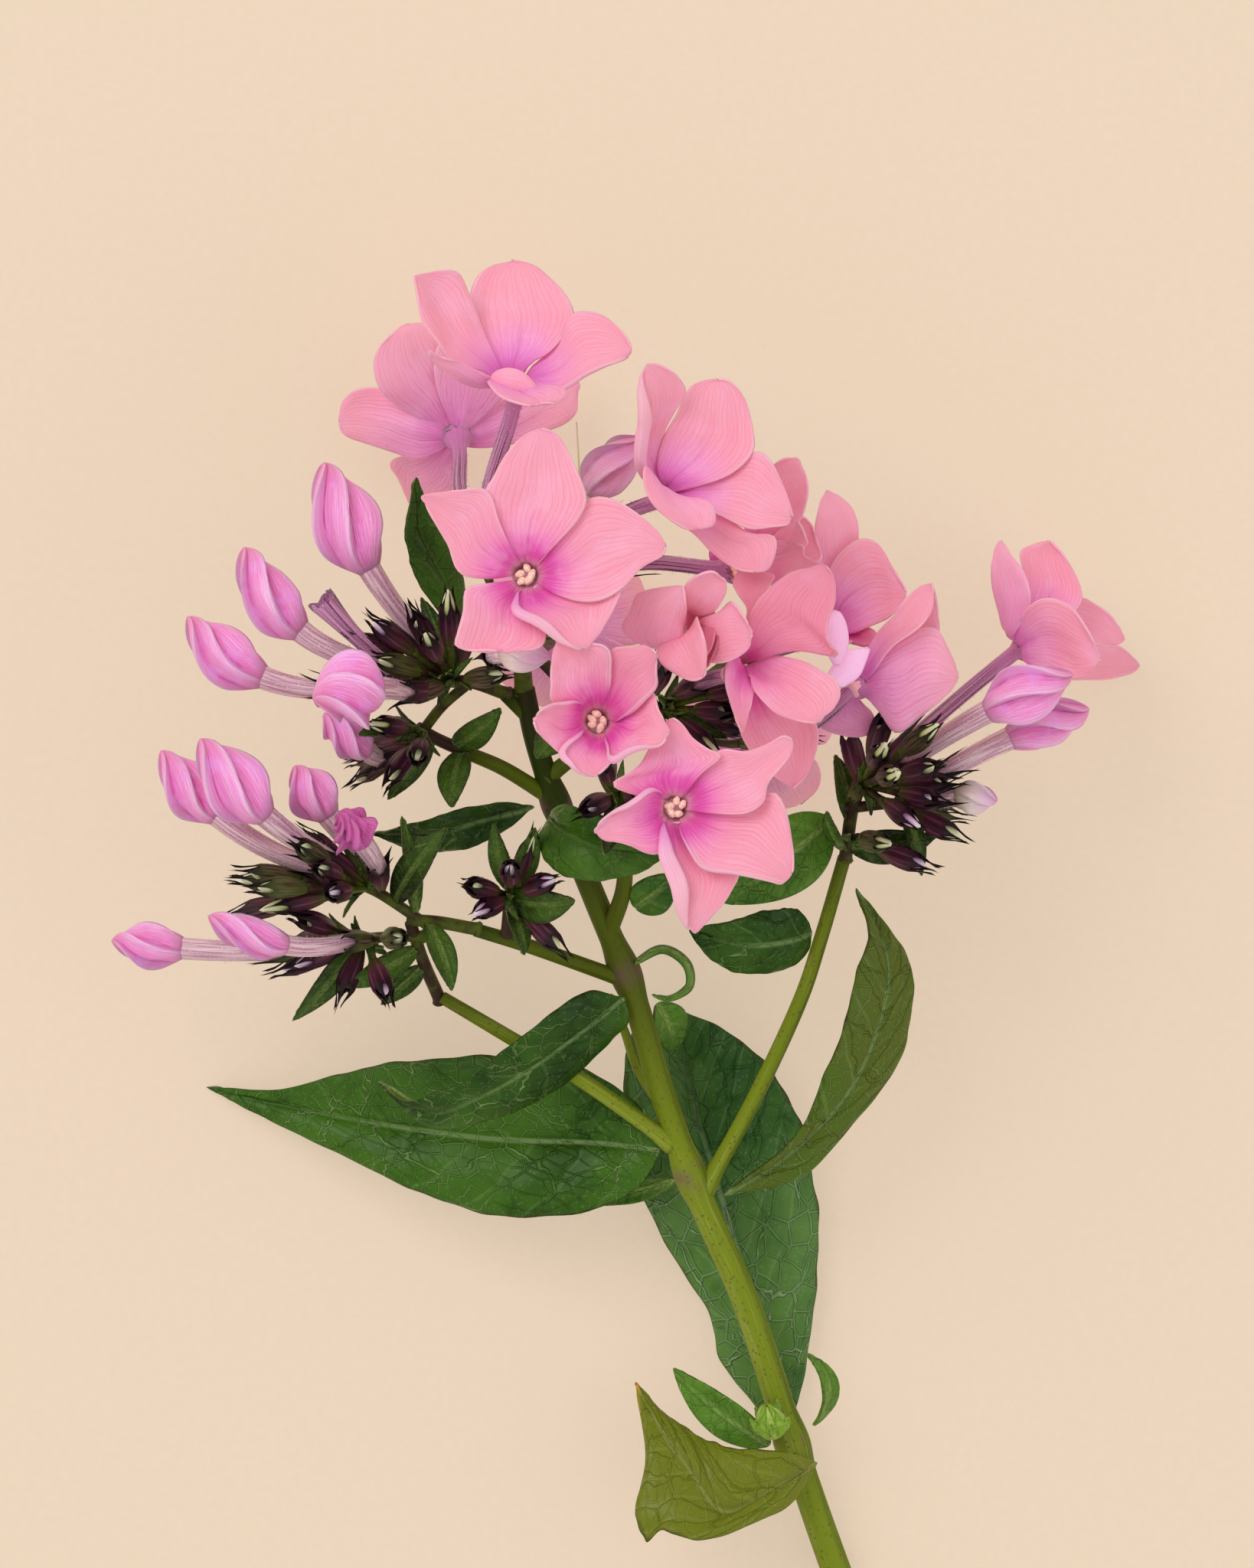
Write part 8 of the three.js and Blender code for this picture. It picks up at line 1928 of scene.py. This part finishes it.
def add_light(name, place, size, power, colour):
    """A soft round light that looks at the middle of the plant."""
    light = bpy.data.lights.new(name, "AREA")
    light.shape = "DISK"
    light.size = size
    light.energy = power
    light.color = colour
    lamp = bpy.data.objects.new(name, light)
    lamp.location = place
    aim = vec(PLANT_MIDDLE) - vec(place)
    pitch = math.acos(-aim[2] / np.linalg.norm(aim))
    lamp.rotation_euler = (pitch, 0, math.atan2(aim[1], aim[0]) - math.pi / 2)
    bpy.context.scene.collection.objects.link(lamp)


def add_lights(settings):
    add_light("key_light", (-0.75, 0.85, 1.25), 1.0, settings.key_power, (1.0, 0.98, 0.99))
    add_light("fill_light", (1.1, -0.3, 1.1), 1.2, settings.key_power * 0.3, (1.0, 0.98, 0.98))
    world = bpy.data.worlds.new("studio")
    bpy.context.scene.world = world
    world.use_nodes = True
    background = world.node_tree.nodes["Background"]
    background.inputs["Color"].default_value = (1.0, 0.98, 0.98, 1.0)
    background.inputs["Strength"].default_value = settings.sky


def add_camera(settings):
    camera = bpy.data.cameras.new("camera")
    camera.sensor_fit = "VERTICAL"
    camera.angle = 2 * math.atan(VIEW_HALF_HEIGHT / (settings.camera_height - VIEW_LEVEL))
    camera.clip_start = 0.05
    eye = bpy.data.objects.new("camera", camera)
    eye.location = (*VIEW_CENTRE, settings.camera_height)
    bpy.context.scene.collection.objects.link(eye)
    bpy.context.scene.camera = eye
    bpy.context.scene.view_settings.view_transform = "Standard"


class PHLOX_PT_panel(bpy.types.Panel):
    """Lists the pieces of the plant"""
    bl_idname = "PHLOX_PT_panel"
    bl_label = "Phlox"
    bl_space_type = "VIEW_3D"
    bl_region_type = "UI"
    bl_category = "Phlox"

    def draw(self, context):
        for name in SETTINGS:
            box = self.layout.box()
            settings = getattr(context.scene, name)
            for key in settings.bl_rna.properties.keys():
                if key not in ("rna_type", "name"):
                    box.prop(settings, key)
        for operator in OPERATORS:
            self.layout.operator(operator.bl_idname)


SETTINGS = {
    "phlox_blooms": PhloxBloomSettings,
    "phlox_leaves": PhloxLeafSettings,
    "phlox_stage": PhloxStageSettings,
}
OPERATORS = (PHLOX_OT_stage, PHLOX_OT_stem, PHLOX_OT_flower_heads, PHLOX_OT_blooms, PHLOX_OT_buds,
             PHLOX_OT_leaves, PHLOX_OT_axillary_bud)


def register():
    for cls in (*SETTINGS.values(), *OPERATORS, PHLOX_PT_panel):
        bpy.utils.register_class(cls)
    for name, cls in SETTINGS.items():
        setattr(bpy.types.Scene, name, bpy.props.PointerProperty(type=cls))


def unregister():
    for name in SETTINGS:
        delattr(bpy.types.Scene, name)
    for cls in reversed((*SETTINGS.values(), *OPERATORS, PHLOX_PT_panel)):
        bpy.utils.unregister_class(cls)


def main():
    register()
    bpy.ops.object.select_all(action="DESELECT")
    for operator in OPERATORS:
        package, name = operator.bl_idname.split(".")
        getattr(getattr(bpy.ops, package), name)()


if __name__ == "__main__":
    main()
